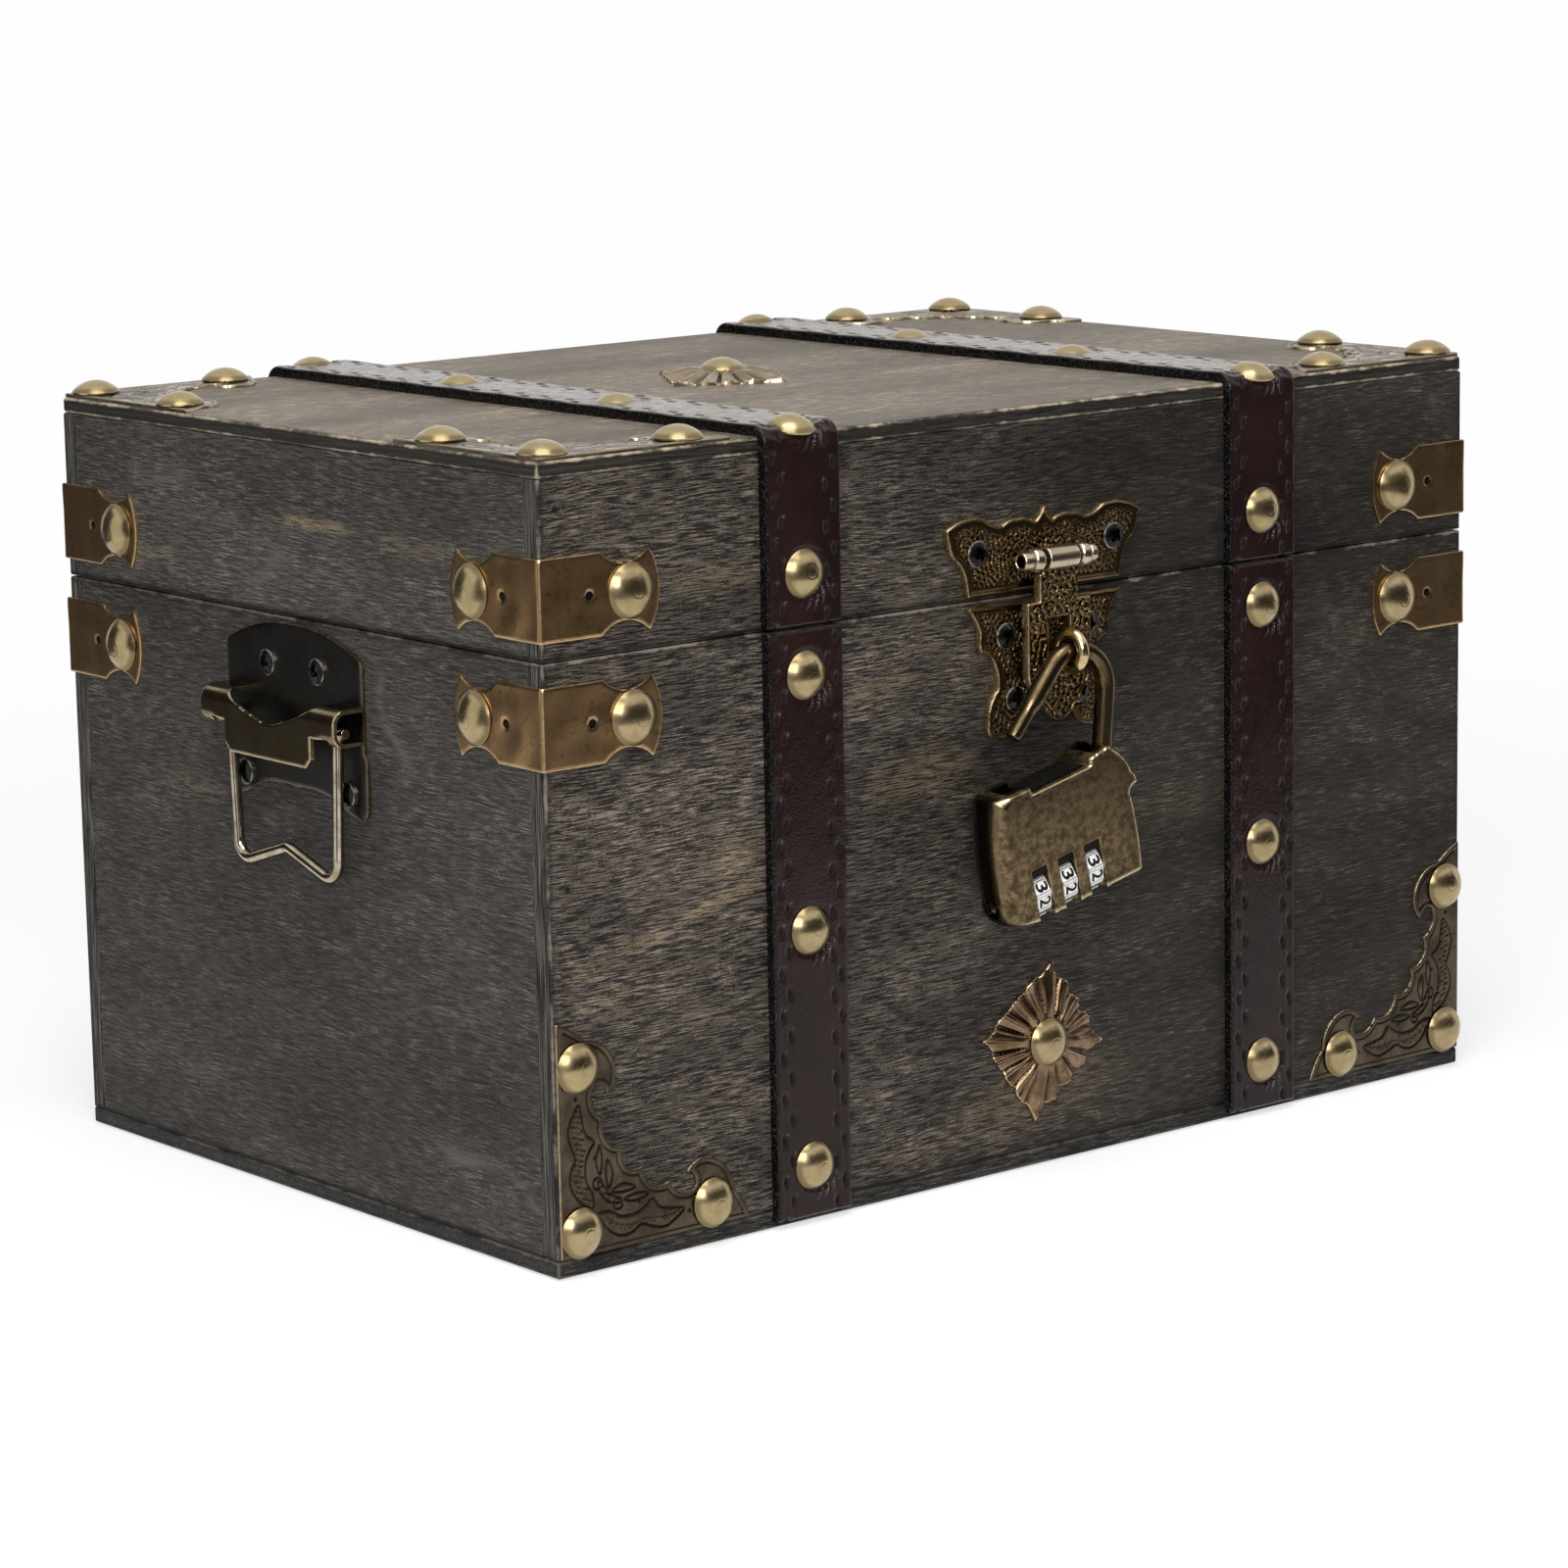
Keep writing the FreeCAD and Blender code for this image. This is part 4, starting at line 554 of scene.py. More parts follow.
wood = {"frontWood": {"along": 0, "across": 2, "dark": (0.0140, 0.0116, 0.0098),
                      "pale": (0.112, 0.0920, 0.0750), "tan": (0.250, 0.190, 0.112),
                      "sawn": (0.105, 0.101, 0.086), "end": 0, "shine": 0.16, "vein": 0.25,
                      "cloud": (0.50, 1.30), "paintedShade": (1.02, 0.34, 0.62), "calm": 0.42,
                      "patches": [(-86.0, 81.5, 10.0, 5.5, 0.5, 0.12), (-91.0, 73.5, 13.0, 2.6, 0.75, 0.22),
                                  (-110.0, 68.0, 12.0, 2.4, 0.5, 0.22), (-124.0, 64.0, 9.0, 2.8, 0.4, 0.2),
                                  (-34.0, 92.9, 17.0, 6.0, 0.6, 0.1), (-90.9, 141.8, 13.1, 3.6, 0.5, 0.0),
                                  (-115.3, 58.4, 15.5, 2.4, 0.4, 0.1),
                                  (-44.7, 113.6, 12.5, 3.0, 0.35, 0.15), (-38.3, 8.6, 17.1, 3.1, 0.3, 0.0),
                                  (2.0, 16.0, 34.0, 9.0, 0.55, 0.1), (100.5, 107.3, 13.1, 3.2, 0.25, 0.0)],
                      "brads": [(-130.1, 81.6), (-130.7, 160.1)]},
        "sideWood": {"along": 1, "across": 2, "dark": (0.024, 0.0214, 0.0192),
                     "pale": (0.062, 0.0550, 0.0492), "tan": (0.190, 0.150, 0.090),
                     "sawn": (0.105, 0.101, 0.086), "end": 1, "shine": 0.16, "vein": 1.0,
                     "cloud": (0.66, 1.16),
                     "patches": [(-9.2, 150.0, 16.5, 1.7, 0.85, 0.0), (40.4, 86.9, 15.9, 3.2, 0.3, 0.0),
                                 (-45.9, 148.3, 20.8, 2.9, 0.3, 0.0), (39.3, 20.7, 7.3, 3.2, 0.35, 0.0),
                                 (60.8, 137.9, 20.3, 2.2, 0.3, 0.0)], "brads": []},
        "topWood": {"along": 0, "across": 1, "dark": (0.026, 0.0205, 0.0150),
                    "pale": (0.255, 0.2090, 0.1540), "tan": (0.250, 0.195, 0.125),
                    "sawn": (0.026, 0.0235, 0.0205), "end": 2, "shine": 0.22, "gloss": (0.36, 0.80),
                    "vein": 0.45, "cloud": (0.62, 1.26), "patches": [], "brads": []},
        "baseWood": {"along": 0, "across": 2, "dark": (0.010, 0.0092, 0.0085),
                     "pale": (0.055, 0.0500, 0.0445), "tan": (0.100, 0.088, 0.070),
                     "sawn": (0.075, 0.072, 0.064), "end": 1, "shine": 0.16, "vein": 0.0,
                     "cloud": (0.7, 1.2), "patches": [], "brads": []}}


def woodFinish(name, low, high, seam=False, paintedLight=1.0):
    # Hairlines are stretched noise along the grain, veins are the level lines of a slow noise. Wear follows
    # the second smallest distance to the faces of the box, which is the distance to the nearest edge for a
    # point on a face. A black line along the lower edge of upright faces is painted shadow in the seam, with
    # dirt, and the last factor makes the whole board lighter or darker, which on the lid's copies is painted
    # light and shade.
    tone = wood[name]
    finish, tree, shader = newFinish(name)
    coord = ownPlace(tree)
    place = split(tree, coord)
    sway = scaled(tree, noise(tree, coord, grain["sway"], 2.0), grain["swayReach"], -grain["swayReach"] / 2)
    swayed = add(tree, "VectorMath", {0: coord, 1: add(tree, "CombineXYZ", {0: sway, 1: sway, 2: sway})},
                 operation="ADD")
    board, slow, short = [[share if axis == tone["along"] else 1.0 for axis in range(3)]
                          for share in (grain["along"], grain["slowAlong"], grain["shortAlong"])]
    fine = noise(tree, stretch(tree, swayed, board), grain["fine"], 1.0, 0.5)
    fibre = noise(tree, stretch(tree, swayed, board), grain["fibre"], 3.0, 0.65)
    speck = noise(tree, stretch(tree, swayed, short), grain["speck"], 1.0)
    clouds = noise(tree, stretch(tree, swayed, slow), grain["clouds"], 3.0, 0.55)
    hair = plus(tree, times(tree, fine, 0.70), times(tree, speck, 0.30))
    streak = spread(tree, hair, 0.44, 0.57)
    if "calm" in tone:
        keep = spread(tree, place[0], -0.05, 0.06, 1.0, tone["calm"])
        streak = scaled(tree, minus(tree, streak, 0.45), keep, 0.45)
    colour = blend(tree, streak, tone["dark"], tone["pale"])
    glint = times(tree, spread(tree, hair, 0.56, 0.61),
                  spread(tree, noise(tree, coord, grain["glints"]), 0.40, 0.62))
    colour = blend(tree, times(tree, glint, 0.8), colour, tuple(value * 2.2 for value in tone["pale"]))
    patchy = noise(tree, stretch(tree, swayed, slow), grain["worn"], 2.0)
    worn = times(tree, spread(tree, patchy, 0.58, 0.74), 0.15)
    for along, up, long, tall, strength, slope in tone["patches"]:
        across = times(tree, minus(tree, place[tone["along"]], along * mm), 1 / (long * mm))
        rise = times(tree, minus(tree, place[tone["across"]], up * mm), 1 / (tall * mm))
        rise = scaled(tree, across, -slope * long / tall, rise)
        away = plus(tree, times(tree, across, across), times(tree, rise, rise))
        worn = larger(tree, worn, spread(tree, scaled(tree, clouds, 1.6, away), 0.5, 2.1, strength, 0.0))
    colour = blend(tree, times(tree, worn, spread(tree, hair, 0.42, 0.55, 0.10, 1.0)), colour, tone["tan"])
    shade = spread(tree, clouds, 0.30, 0.70, *[value * paintedLight for value in tone["cloud"]])
    # Painted shade: the front darkens towards its right end, where less light falls.
    if "paintedShade" in tone:
        left, middle, right = tone["paintedShade"]
        shade = times(tree, shade, spread(tree, place[0], -0.10, 0.06, left, middle))
        shade = times(tree, shade, spread(tree, place[0], 0.07, 0.125, 1.0, right / middle))
    grey = add(tree, "CombineColor", {0: shade, 1: shade, 2: shade})
    colour = add(tree, "Mix", {0: 1.0, 6: colour, 7: grey}, out=2, data_type="RGBA", blend_type="MULTIPLY")
    if tone["vein"]:
        level = noise(tree, stretch(tree, coord, slow), grain["vein"], 2.0, 0.5, 0.35)
        line = absolute(tree, minus(tree, calc(tree, "FRACT", times(tree, level, grain["veins"])), 0.5))
        line = times(tree, spread(tree, line, 0.0, 0.045, 1.0, 0.0), spread(tree, clouds, 0.48, 0.62))
        line = times(tree, line, spread(tree, fibre, 0.36, 0.58, 0.0, tone["vein"]))
        colour = blend(tree, line, colour, tuple(value * 1.5 for value in tone["pale"]))
    for along, up in tone["brads"]:
        across = minus(tree, place[tone["along"]], along * mm)
        rise = minus(tree, place[tone["across"]], up * mm)
        away = calc(tree, "SQRT", plus(tree, times(tree, across, across), times(tree, rise, rise)))
        colour = blend(tree, spread(tree, away, 0.0004, 0.0010, 0.95, 0.0), colour, grain["bradBlack"])
    near = []
    for spot, first, last in zip(place, low, high):
        near.append(minus(tree, (last - first) / 2, absolute(tree, minus(tree, spot, (last + first) / 2))))
    least = smaller(tree, near[0], near[1])
    most = larger(tree, near[0], near[1])
    edge = larger(tree, least, smaller(tree, most, near[2]))
    ragged = plus(tree, edge, scaled(tree, noise(tree, coord, grain["ragged"], 3.0), 0.0014, -0.0007))
    # Sawn ends and edges show thin layers, seen where the face looks along the end axis or sideways from it.
    facing = ownFacing(tree)
    if tone["end"] != 1:
        tilt = absolute(tree, facing[tone["end"]])
        sawn = spread(tree, tilt, 0.6, 0.8) if tone["end"] == 0 else spread(tree, tilt, 0.4, 0.2)
        thin = [grain["layer"] if axis == (1 if tone["end"] == 0 else 2) else grain["layerLong"]
                for axis in range(3)]
        layers = noise(tree, stretch(tree, coord, thin), 1.0, 3.0, 0.65)
        endColour = blend(tree, spread(tree, layers, 0.40, 0.64),
                          tuple(value * 0.3 for value in tone["dark"]), tone["sawn"])
        colour = blend(tree, times(tree, sawn, 0.95), colour, endColour)
    colour = blend(tree, spread(tree, ragged, 0.0, 0.0020, 0.80, 0.0), colour, grain["edgeBlack"])
    rubbed = times(tree, spread(tree, ragged, 0.0002, 0.0008, 1.0, 0.0),
                   spread(tree, noise(tree, coord, grain["rubbed"], 4.0, 0.7), 0.40, 0.60))
    colour = blend(tree, times(tree, rubbed, 0.85), colour, tuple(value * 1.9 for value in tone["pale"]))
    # Painted shadow, with dirt: a black line along the lower edge of upright faces, at the seams.
    if seam:
        rise = minus(tree, place[2], low[2])
        rise = plus(tree, rise, scaled(tree, noise(tree, coord, 120.0, 3.0), 0.0006, -0.0003))
        upright = spread(tree, absolute(tree, facing[2]), 0.5, 0.8, 1.0, 0.0)
        colour = blend(tree, times(tree, spread(tree, rise, 0.0004, 0.0010, 1.0, 0.0), upright), colour,
                       grain["seamShadowAndDirt"])
    roughness = spread(tree, fibre, 0.30, 0.70, 0.66, 0.50)
    if "gloss" in tone:
        roughness = spread(tree, hair, 0.42, 0.58, *tone["gloss"])
    height = plus(tree, hair, times(tree, fibre, 0.4))
    bump = add(tree, "Bump", {"Height": height, "Strength": 0.6, "Distance": 0.0003})
    connect(tree, shader, Base_Color=colour, Roughness=roughness, Normal=bump)
    fixed(shader, Specular_IOR_Level=tone["shine"])
    return finish


def dressBoards():
    bodyLow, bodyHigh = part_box("front_board")[0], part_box("back_board")[1]
    lidLow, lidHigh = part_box("lid_front_rail")[0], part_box("lid_top_board")[1]
    # The lid's copies of the front and side finishes carry painted light and shade: the front darker, the
    # side lighter.
    finishes = {"bodyFront": woodFinish("frontWood", bodyLow, bodyHigh, True),
                "bodySide": woodFinish("sideWood", bodyLow, bodyHigh, True),
                "lidFront": woodFinish("frontWood", lidLow, lidHigh, True, 0.82),
                "lidSide": woodFinish("sideWood", lidLow, lidHigh, True, 1.28),
                "top": woodFinish("topWood", *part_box("lid_top_board")),
                "base": woodFinish("baseWood", *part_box("base_board"))}
    boards = {"front_board": "bodyFront", "back_board": "bodyFront", "left_side_board": "bodySide",
              "right_side_board": "bodySide", "lid_front_rail": "lidFront", "lid_back_rail": "lidFront",
              "lid_left_rail": "lidSide", "lid_right_rail": "lidSide", "lid_top_board": "top",
              "base_board": "base"}
    for node, finish in boards.items():
        dressNode(node, finishes[finish])


def dressNode(node, finish):
    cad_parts[node].material_slots[0].material = finish


dressBoards()
print("boards dressed")

# Leather straps
strap = {"width": 20.4, "thick": 2.4, "ease": 0.7, "places": {"left": -67.5, "right": 67.5}, "foot": 1.5,
         "cut": 0.4, "bend": 4.4, "innerBend": 0.9, "stitchPitch": 9.1,
         "stitchLines": ((2.0, 4.5), (4.1, 0.0)), "pitDepth": 0.55, "step": 0.42,
         "colour": (0.0118, 0.0052, 0.0049), "worn": (0.0175, 0.0080, 0.0074),
         "edge": (0.0025, 0.0023, 0.0023), "topSheen": (0.175, 0.134, 0.092),
         "edgeSpeck": (0.040, 0.038, 0.037), "pitBlack": (0.0015, 0.0012, 0.0012),
         "glintPale": (0.30, 0.27, 0.26), "shine": 0.20, "nailHeights": (12.5, 64.0, 118.9),
         "lidNailHeight": 140.5, "lidNailDepth": 29.0, "bendNail": 78, "bendWrinkle": 3.4, "columns": 47,
         "endEase": 0.5, "edgeWave": 0.10, "lineDepth": 0.02, "nailHollow": (4.8, 6.6), "hollowDepth": 0.3,
         "crumple": 0.30, "wrinkle": 0.13, "crease": 55, "cloudScale": 70.0, "cellScale": 1500.0,
         "wrinkleScale": 420.0, "speckScale": 2400.0}


def leatherFinish():
    # Burgundy hide: fine grain from small cells, soft wrinkles, black dyed edges, dark stitch holes, painted
    # glints on the creases by the nails and beside the stitch holes, and a paler grain where the strap lies
    # on top of the lid, which is painted sheen.
    finish, tree, shader = newFinish("strapLeather")
    coord = ownPlace(tree)
    clouds = noise(tree, coord, strap["cloudScale"], 3.0)
    cells = add(tree, "TexVoronoi", {"Vector": coord, "Scale": strap["cellScale"]}, feature="F1")
    wrinkle = noise(tree, coord, strap["wrinkleScale"], 4.0, 0.65, 0.4)
    colour = blend(tree, spread(tree, clouds, 0.35, 0.70), strap["colour"], strap["worn"])
    speckle = noise(tree, coord, strap["speckScale"], 2.0)
    side = blend(tree, spread(tree, speckle, 0.55, 0.68), strap["edge"], strap["edgeSpeck"])
    colour = blend(tree, spread(tree, mark(tree, "edge"), 0.25, 0.75, 1.0, 0.0), colour, side)
    colour = blend(tree, times(tree, mark(tree, "pit"), 0.9), colour, strap["pitBlack"])
    facing = ownFacing(tree)
    # Painted sheen: faces that look upwards, where the strap lies on top of the lid, are paler.
    onTop = times(tree, spread(tree, facing[2], 0.80, 0.97), spread(tree, speckle, 0.36, 0.62, 0.25, 0.85))
    colour = blend(tree, times(tree, onTop, spread(tree, mark(tree, "pit"), 0.1, 0.4, 1.0, 0.0)), colour,
                   strap["topSheen"])
    # Painted glints: pale flecks on the creases by the nails and beside the stitch holes.
    rubbed = times(tree, mark(tree, "scuff"), spread(tree, speckle, 0.46, 0.60))
    colour = blend(tree, rubbed, colour, strap["glintPale"])
    roughness = plus(tree, spread(tree, wrinkle, 0.35, 0.65, 0.13, 0.27),
                     spread(tree, mark(tree, "pit"), 0.1, 0.5, 0.0, 0.6))
    height = plus(tree, times(tree, cells, 0.6), wrinkle)
    bump = add(tree, "Bump", {"Height": height, "Strength": 0.34, "Distance": 0.0002})
    connect(tree, shader, Base_Color=colour, Roughness=roughness, Normal=bump)
    fixed(shader, Specular_IOR_Level=strap["shine"])
    return finish


def strapShell(across, outer, inner, nails, bends):
    # Rows follow the strap's side view and columns its width. The height is the thickness less the rounded
    # edges and ends, stitch lines with paired holes, a hollow round each nail and short wrinkles at the
    # bends.
    run = np.concatenate([[0], np.cumsum(np.linalg.norm(np.diff(outer, axis=0), axis=1))])[:, None]
    half = strap["width"] / 2
    width = np.concatenate([[-half, -half + 0.08, -half + 0.25],
                            np.linspace(-half + 0.5, half - 0.5, strap["columns"]),
                            [half - 0.25, half - 0.08, half]])[None]
    edge = half - np.abs(width)
    ends = np.minimum(run, run[-1] - run)
    height = strap["thick"] - rounded(edge, strap["ease"]) - rounded(ends, strap["endEase"]) + 0 * run
    wave = np.sin(run * 0.35 + np.sign(width) * 1.3)
    height += strap["edgeWave"] * wave * np.exp(-((edge - 1.2) / 1.1) ** 2)
    pit, scuff = np.zeros_like(height), np.zeros_like(height)
    for inset, phase in strap["stitchLines"]:
        pitch = strap["stitchPitch"]
        along = (run - phase - 3.0 + pitch / 2 + np.sign(width) * 1.1) % pitch - pitch / 2
        line = np.exp(-((edge - inset) / 0.26) ** 2)
        hole = np.exp(-(along / 1.25) ** 2 - ((edge - inset) / 0.58) ** 2)
        pit = np.maximum(pit, np.maximum(hole, 0.12 * line))
        # Painted glints: a pale fleck beside each stitch hole.
        lip = np.exp(-((along - 1.3) / 0.4) ** 2 - ((edge - inset - 0.7) / 0.3) ** 2)
        scuff = np.maximum(scuff, 0.35 * lip)
        height -= strap["lineDepth"] * line
    height -= strap["pitDepth"] * pit
    for nail in nails:
        away = np.hypot(run - nail, width)
        height -= strap["hollowDepth"] * (1 - eased(*strap["nailHollow"], away))
        aside = np.arctan2(width, nail - run)
        ridge = np.sin(aside * 19 + away * 2.6)
        crumple = np.exp(-(away - strap["nailHollow"][1]) ** 2 - ((aside - 0.65) / 0.5) ** 2)
        height += strap["crumple"] * ridge * crumple
        # Painted glints on the crumpled ridges beside each nail.
        scuff = np.maximum(scuff, np.clip(ridge, 0, 1) ** 2 * crumple)
    for bend in bends:
        ripple = np.sin(run * 2.7 + 1.5 * np.sin(width * 0.7)) * np.exp(-((run - bend) / 4.5) ** 2)
        height += strap["wrinkle"] * ripple * eased(0.0, 3.0, edge)
    share = (height / strap["thick"])[..., None]
    line = inner[:, None] + share * (outer - inner)[:, None]
    line = np.concatenate([line, inner[:, None], inner[:, None]], 1)
    spot = np.broadcast_to(np.concatenate([width[0], [half, -half]]), line.shape[:2])
    points = np.stack([across + spot, line[..., 0], line[..., 1]], -1)
    rows, columns = spot.shape
    pad = ((0, 0), (0, 2))
    marks = {"edge": np.pad(np.broadcast_to(np.minimum(edge, ends + 0.2), height.shape), pad).ravel(),
             "pit": np.pad(pit, pad).ravel(), "scuff": np.pad(scuff, pad).ravel()}
    caps = [np.arange(columns), np.arange(columns) + (rows - 1) * columns]
    return shell(points.reshape(-1, 3), gridFaces(rows, columns, True), caps, marks)


def makeStraps():
    finish = leatherFinish()
    depth, top, rim, step = chest["halfDepth"], chest["height"], chest["rim"], strap["step"]
    thick, bend, inner = strap["thick"], strap["bend"], strap["innerBend"]
    start = rim + strap["cut"]
    bendTop = top + thick - bend
    upright = np.arange(0, 1, step / (bendTop - start))[:, None]
    turn = np.linspace(0, math.pi / 2, 26)[:, None]
    flat = np.linspace(0, 1, int(2 * (depth + thick - bend) / step))[1:-1, None]
    outerFront = np.array([-depth - thick, start]) + upright * (0, bendTop - start)
    innerFront = np.array([-depth, start]) + upright * (0, top - inner - start)
    quarter = np.concatenate([-np.cos(turn), np.sin(turn)], 1)
    outerBend = np.array([-depth - thick + bend, bendTop]) + bend * quarter
    innerBend = np.array([-depth + inner, top - inner]) + inner * quarter
    outerTop = outerBend[-1] + flat * (2 * (depth + thick - bend), 0)
    innerTop = innerBend[-1] + flat * (2 * (depth - inner), 0)
    other = np.array([-1.0, 1.0])
    outer = np.concatenate([outerFront, outerBend, outerTop, (outerBend * other)[::-1],
                            (outerFront * other)[::-1]])
    innerLine = np.concatenate([innerFront, innerBend, innerTop, (innerBend * other)[::-1],
                                (innerFront * other)[::-1]])
    length = np.linalg.norm(np.diff(outer, axis=0), axis=1).sum()
    half = [strap["lidNailHeight"] - start, bendTop - start + bend * math.radians(strap["bendNail"]),
            bendTop - start + bend * math.pi / 2 + depth + thick - bend - strap["lidNailDepth"]]
    nails = half + [length - place for place in half]
    bends = [bendTop - start + strap["bendWrinkle"], length - (bendTop - start + strap["bendWrinkle"])]
    low, high = strap["foot"], rim - strap["cut"]
    rise = np.linspace(0, 1, int((high - low) / step))[:, None]
    driven = [height - low for height in strap["nailHeights"]]
    for name, across in strap["places"].items():
        meshPiece(f"lidStrap_{name}", [strapShell(across, outer, innerLine, nails, bends)], [finish], "lid",
                  [f"lid_strap_{name}"], strap["crease"])
        for place, facing in frontBack:
            line = np.array([facing * depth, low]) + rise * (0, high - low)
            shells = [strapShell(across, line + (facing * thick, 0), line, driven, [])]
            meshPiece(f"{place}Strap_{name}", shells, [finish], "chest", [f"{place}_strap_{name}"],
                      strap["crease"])


makeStraps()
print("straps laid")


# Metals: each row is two tones, specks, bare metal, the scales of blotches and grit, the share of grit, the
# roughness from low to high, the width of worn edges, the bump and, where there is one, the colour of
# hollows, which is painted shade on the nails' rims and the padlock's sides, and the width of patina.
metalColumns = ("base", "dark", "speck", "bright", "blotch", "grit", "gritShare", "rough", "wear", "bump",
                "recess", "patina")
# nailBrass's hollow colour darkens the ring marks and, as painted shade, the rims of the domes.
metalRows = {"nailBrass": ((0.41, 0.324, 0.18), (0.345, 0.266, 0.138), (0.286, 0.208, 0.104),
                           (0.85, 0.74, 0.5), 260.0, 2600.0, 0.16, (0.22, 0.3), 0.0, 0.03,
                           (0.125, 0.09, 0.045)),
             "bandBronze": ((0.4, 0.252, 0.122), (0.225, 0.136, 0.065), (0.037, 0.022, 0.012),
                            (0.66, 0.5, 0.27), 95.0, 700.0, 0.45, (0.24, 0.38), 0.28, 0.05),
             "plateBronze": ((0.104, 0.081, 0.056), (0.058, 0.045, 0.031), (0.018, 0.012, 0.007),
                             (0.36, 0.29, 0.185), 150.0, 1300.0, 0.4, (0.28, 0.42), 0.15, 0.08,
                             (0.008, 0.0062, 0.0044)),
             # Painted light: a lighter copy of plateBronze for the plates on the lid top, standing for the
             # glare there.
             "lidPlateBronzeLit": ((0.3, 0.248, 0.18), (0.18, 0.146, 0.104), (0.05, 0.038, 0.026),
                                (0.46, 0.38, 0.26), 150.0, 1300.0, 0.4, (0.24, 0.38), 0.15, 0.08,
                                (0.01, 0.008, 0.0056)),
             "ornamentCopper": ((0.262, 0.176, 0.104), (0.125, 0.08, 0.046), (0.054, 0.032, 0.019),
                                (0.6, 0.46, 0.3), 190.0, 1200.0, 0.35, (0.18, 0.3), 0.4, 0.08,
                                (0.06, 0.038, 0.022)),
             # Painted light: a lighter copy of ornamentCopper for the ornament on the lid top, standing for
             # the glare there.
             "lidOrnamentCopperLit": ((0.345, 0.268, 0.182), (0.22, 0.165, 0.108), (0.07, 0.05, 0.032),
                                   (0.56, 0.46, 0.33), 190.0, 1200.0, 0.35, (0.2, 0.34), 0.3, 0.08,
                                   (0.09, 0.069, 0.047)),
             "haspBronze": ((0.235, 0.155, 0.072), (0.125, 0.081, 0.038), (0.035, 0.024, 0.013),
                            (0.66, 0.53, 0.31), 170.0, 1500.0, 0.4, (0.2, 0.32), 0.28, 0.12,
                            (0.008, 0.0055, 0.003)),
             "claspBronze": ((0.15, 0.097, 0.044), (0.072, 0.046, 0.022), (0.032, 0.022, 0.012),
                             (0.62, 0.49, 0.28), 170.0, 1500.0, 0.4, (0.22, 0.34), 0.2, 0.12,
                             (0.01, 0.0068, 0.0036)),
             # lockBronze's hollow colour is painted shade on the padlock's sides and inside its cuts.
             "lockBronze": ((0.28, 0.2, 0.11), (0.11, 0.077, 0.042), (0.03, 0.021, 0.012), (0.62, 0.5, 0.3),
                            520.0, 3000.0, 0.9, (0.22, 0.36), 1.0, 0.12, (0.01, 0.0072, 0.0042), 5.0),
             "shackleBronze": ((0.155, 0.111, 0.058), (0.078, 0.055, 0.028), (0.053, 0.038, 0.021),
                               (0.5, 0.4, 0.24), 300.0, 2000.0, 0.4, (0.18, 0.3), 0.0, 0.14),
             "stapleBrass": ((0.62, 0.49, 0.28), (0.42, 0.31, 0.15), (0.18, 0.12, 0.06), (0.85, 0.74, 0.5),
                             330.0, 2400.0, 0.2, (0.14, 0.24), 0.0, 0.03),
             "pinNickel": ((0.52, 0.45, 0.34), (0.4, 0.33, 0.235), (0.24, 0.18, 0.11), (0.85, 0.8, 0.72),
                           330.0, 2600.0, 0.2, (0.18, 0.28), 0.0, 0.04, (0.006, 0.005, 0.004)),
             "handleDark": ((0.058, 0.053, 0.046), (0.036, 0.033, 0.029), (0.03, 0.024, 0.017),
                            (0.3, 0.23, 0.13), 130.0, 1100.0, 0.2, (0.26, 0.38), 0.22, 0.04),
             "handleOlive": ((0.225, 0.178, 0.105), (0.115, 0.08, 0.04), (0.048, 0.037, 0.023),
                             (0.5, 0.42, 0.26), 150.0, 1100.0, 0.15, (0.14, 0.24), 0.55, 0.03),
             "bailBronze": ((0.5, 0.435, 0.335), (0.3, 0.24, 0.16), (0.16, 0.12, 0.075), (0.5, 0.4, 0.24),
                            210.0, 1500.0, 0.2, (0.07, 0.14), 0.0, 0.03),
             "screwDark": ((0.036, 0.034, 0.032), (0.016, 0.015, 0.014), (0.085, 0.074, 0.06),
                           (0.42, 0.4, 0.37), 1400.0, 2200.0, 0.25, (0.22, 0.34), 0.3, 0.06,
                           (0.004, 0.004, 0.004)),
             "hingeBronze": ((0.13, 0.092, 0.046), (0.07, 0.049, 0.026), (0.03, 0.021, 0.013),
                             (0.5, 0.4, 0.22), 200.0, 1300.0, 0.5, (0.28, 0.42), 0.0, 0.08)}
metal = {name: dict(zip(metalColumns, row)) for name, row in metalRows.items()}


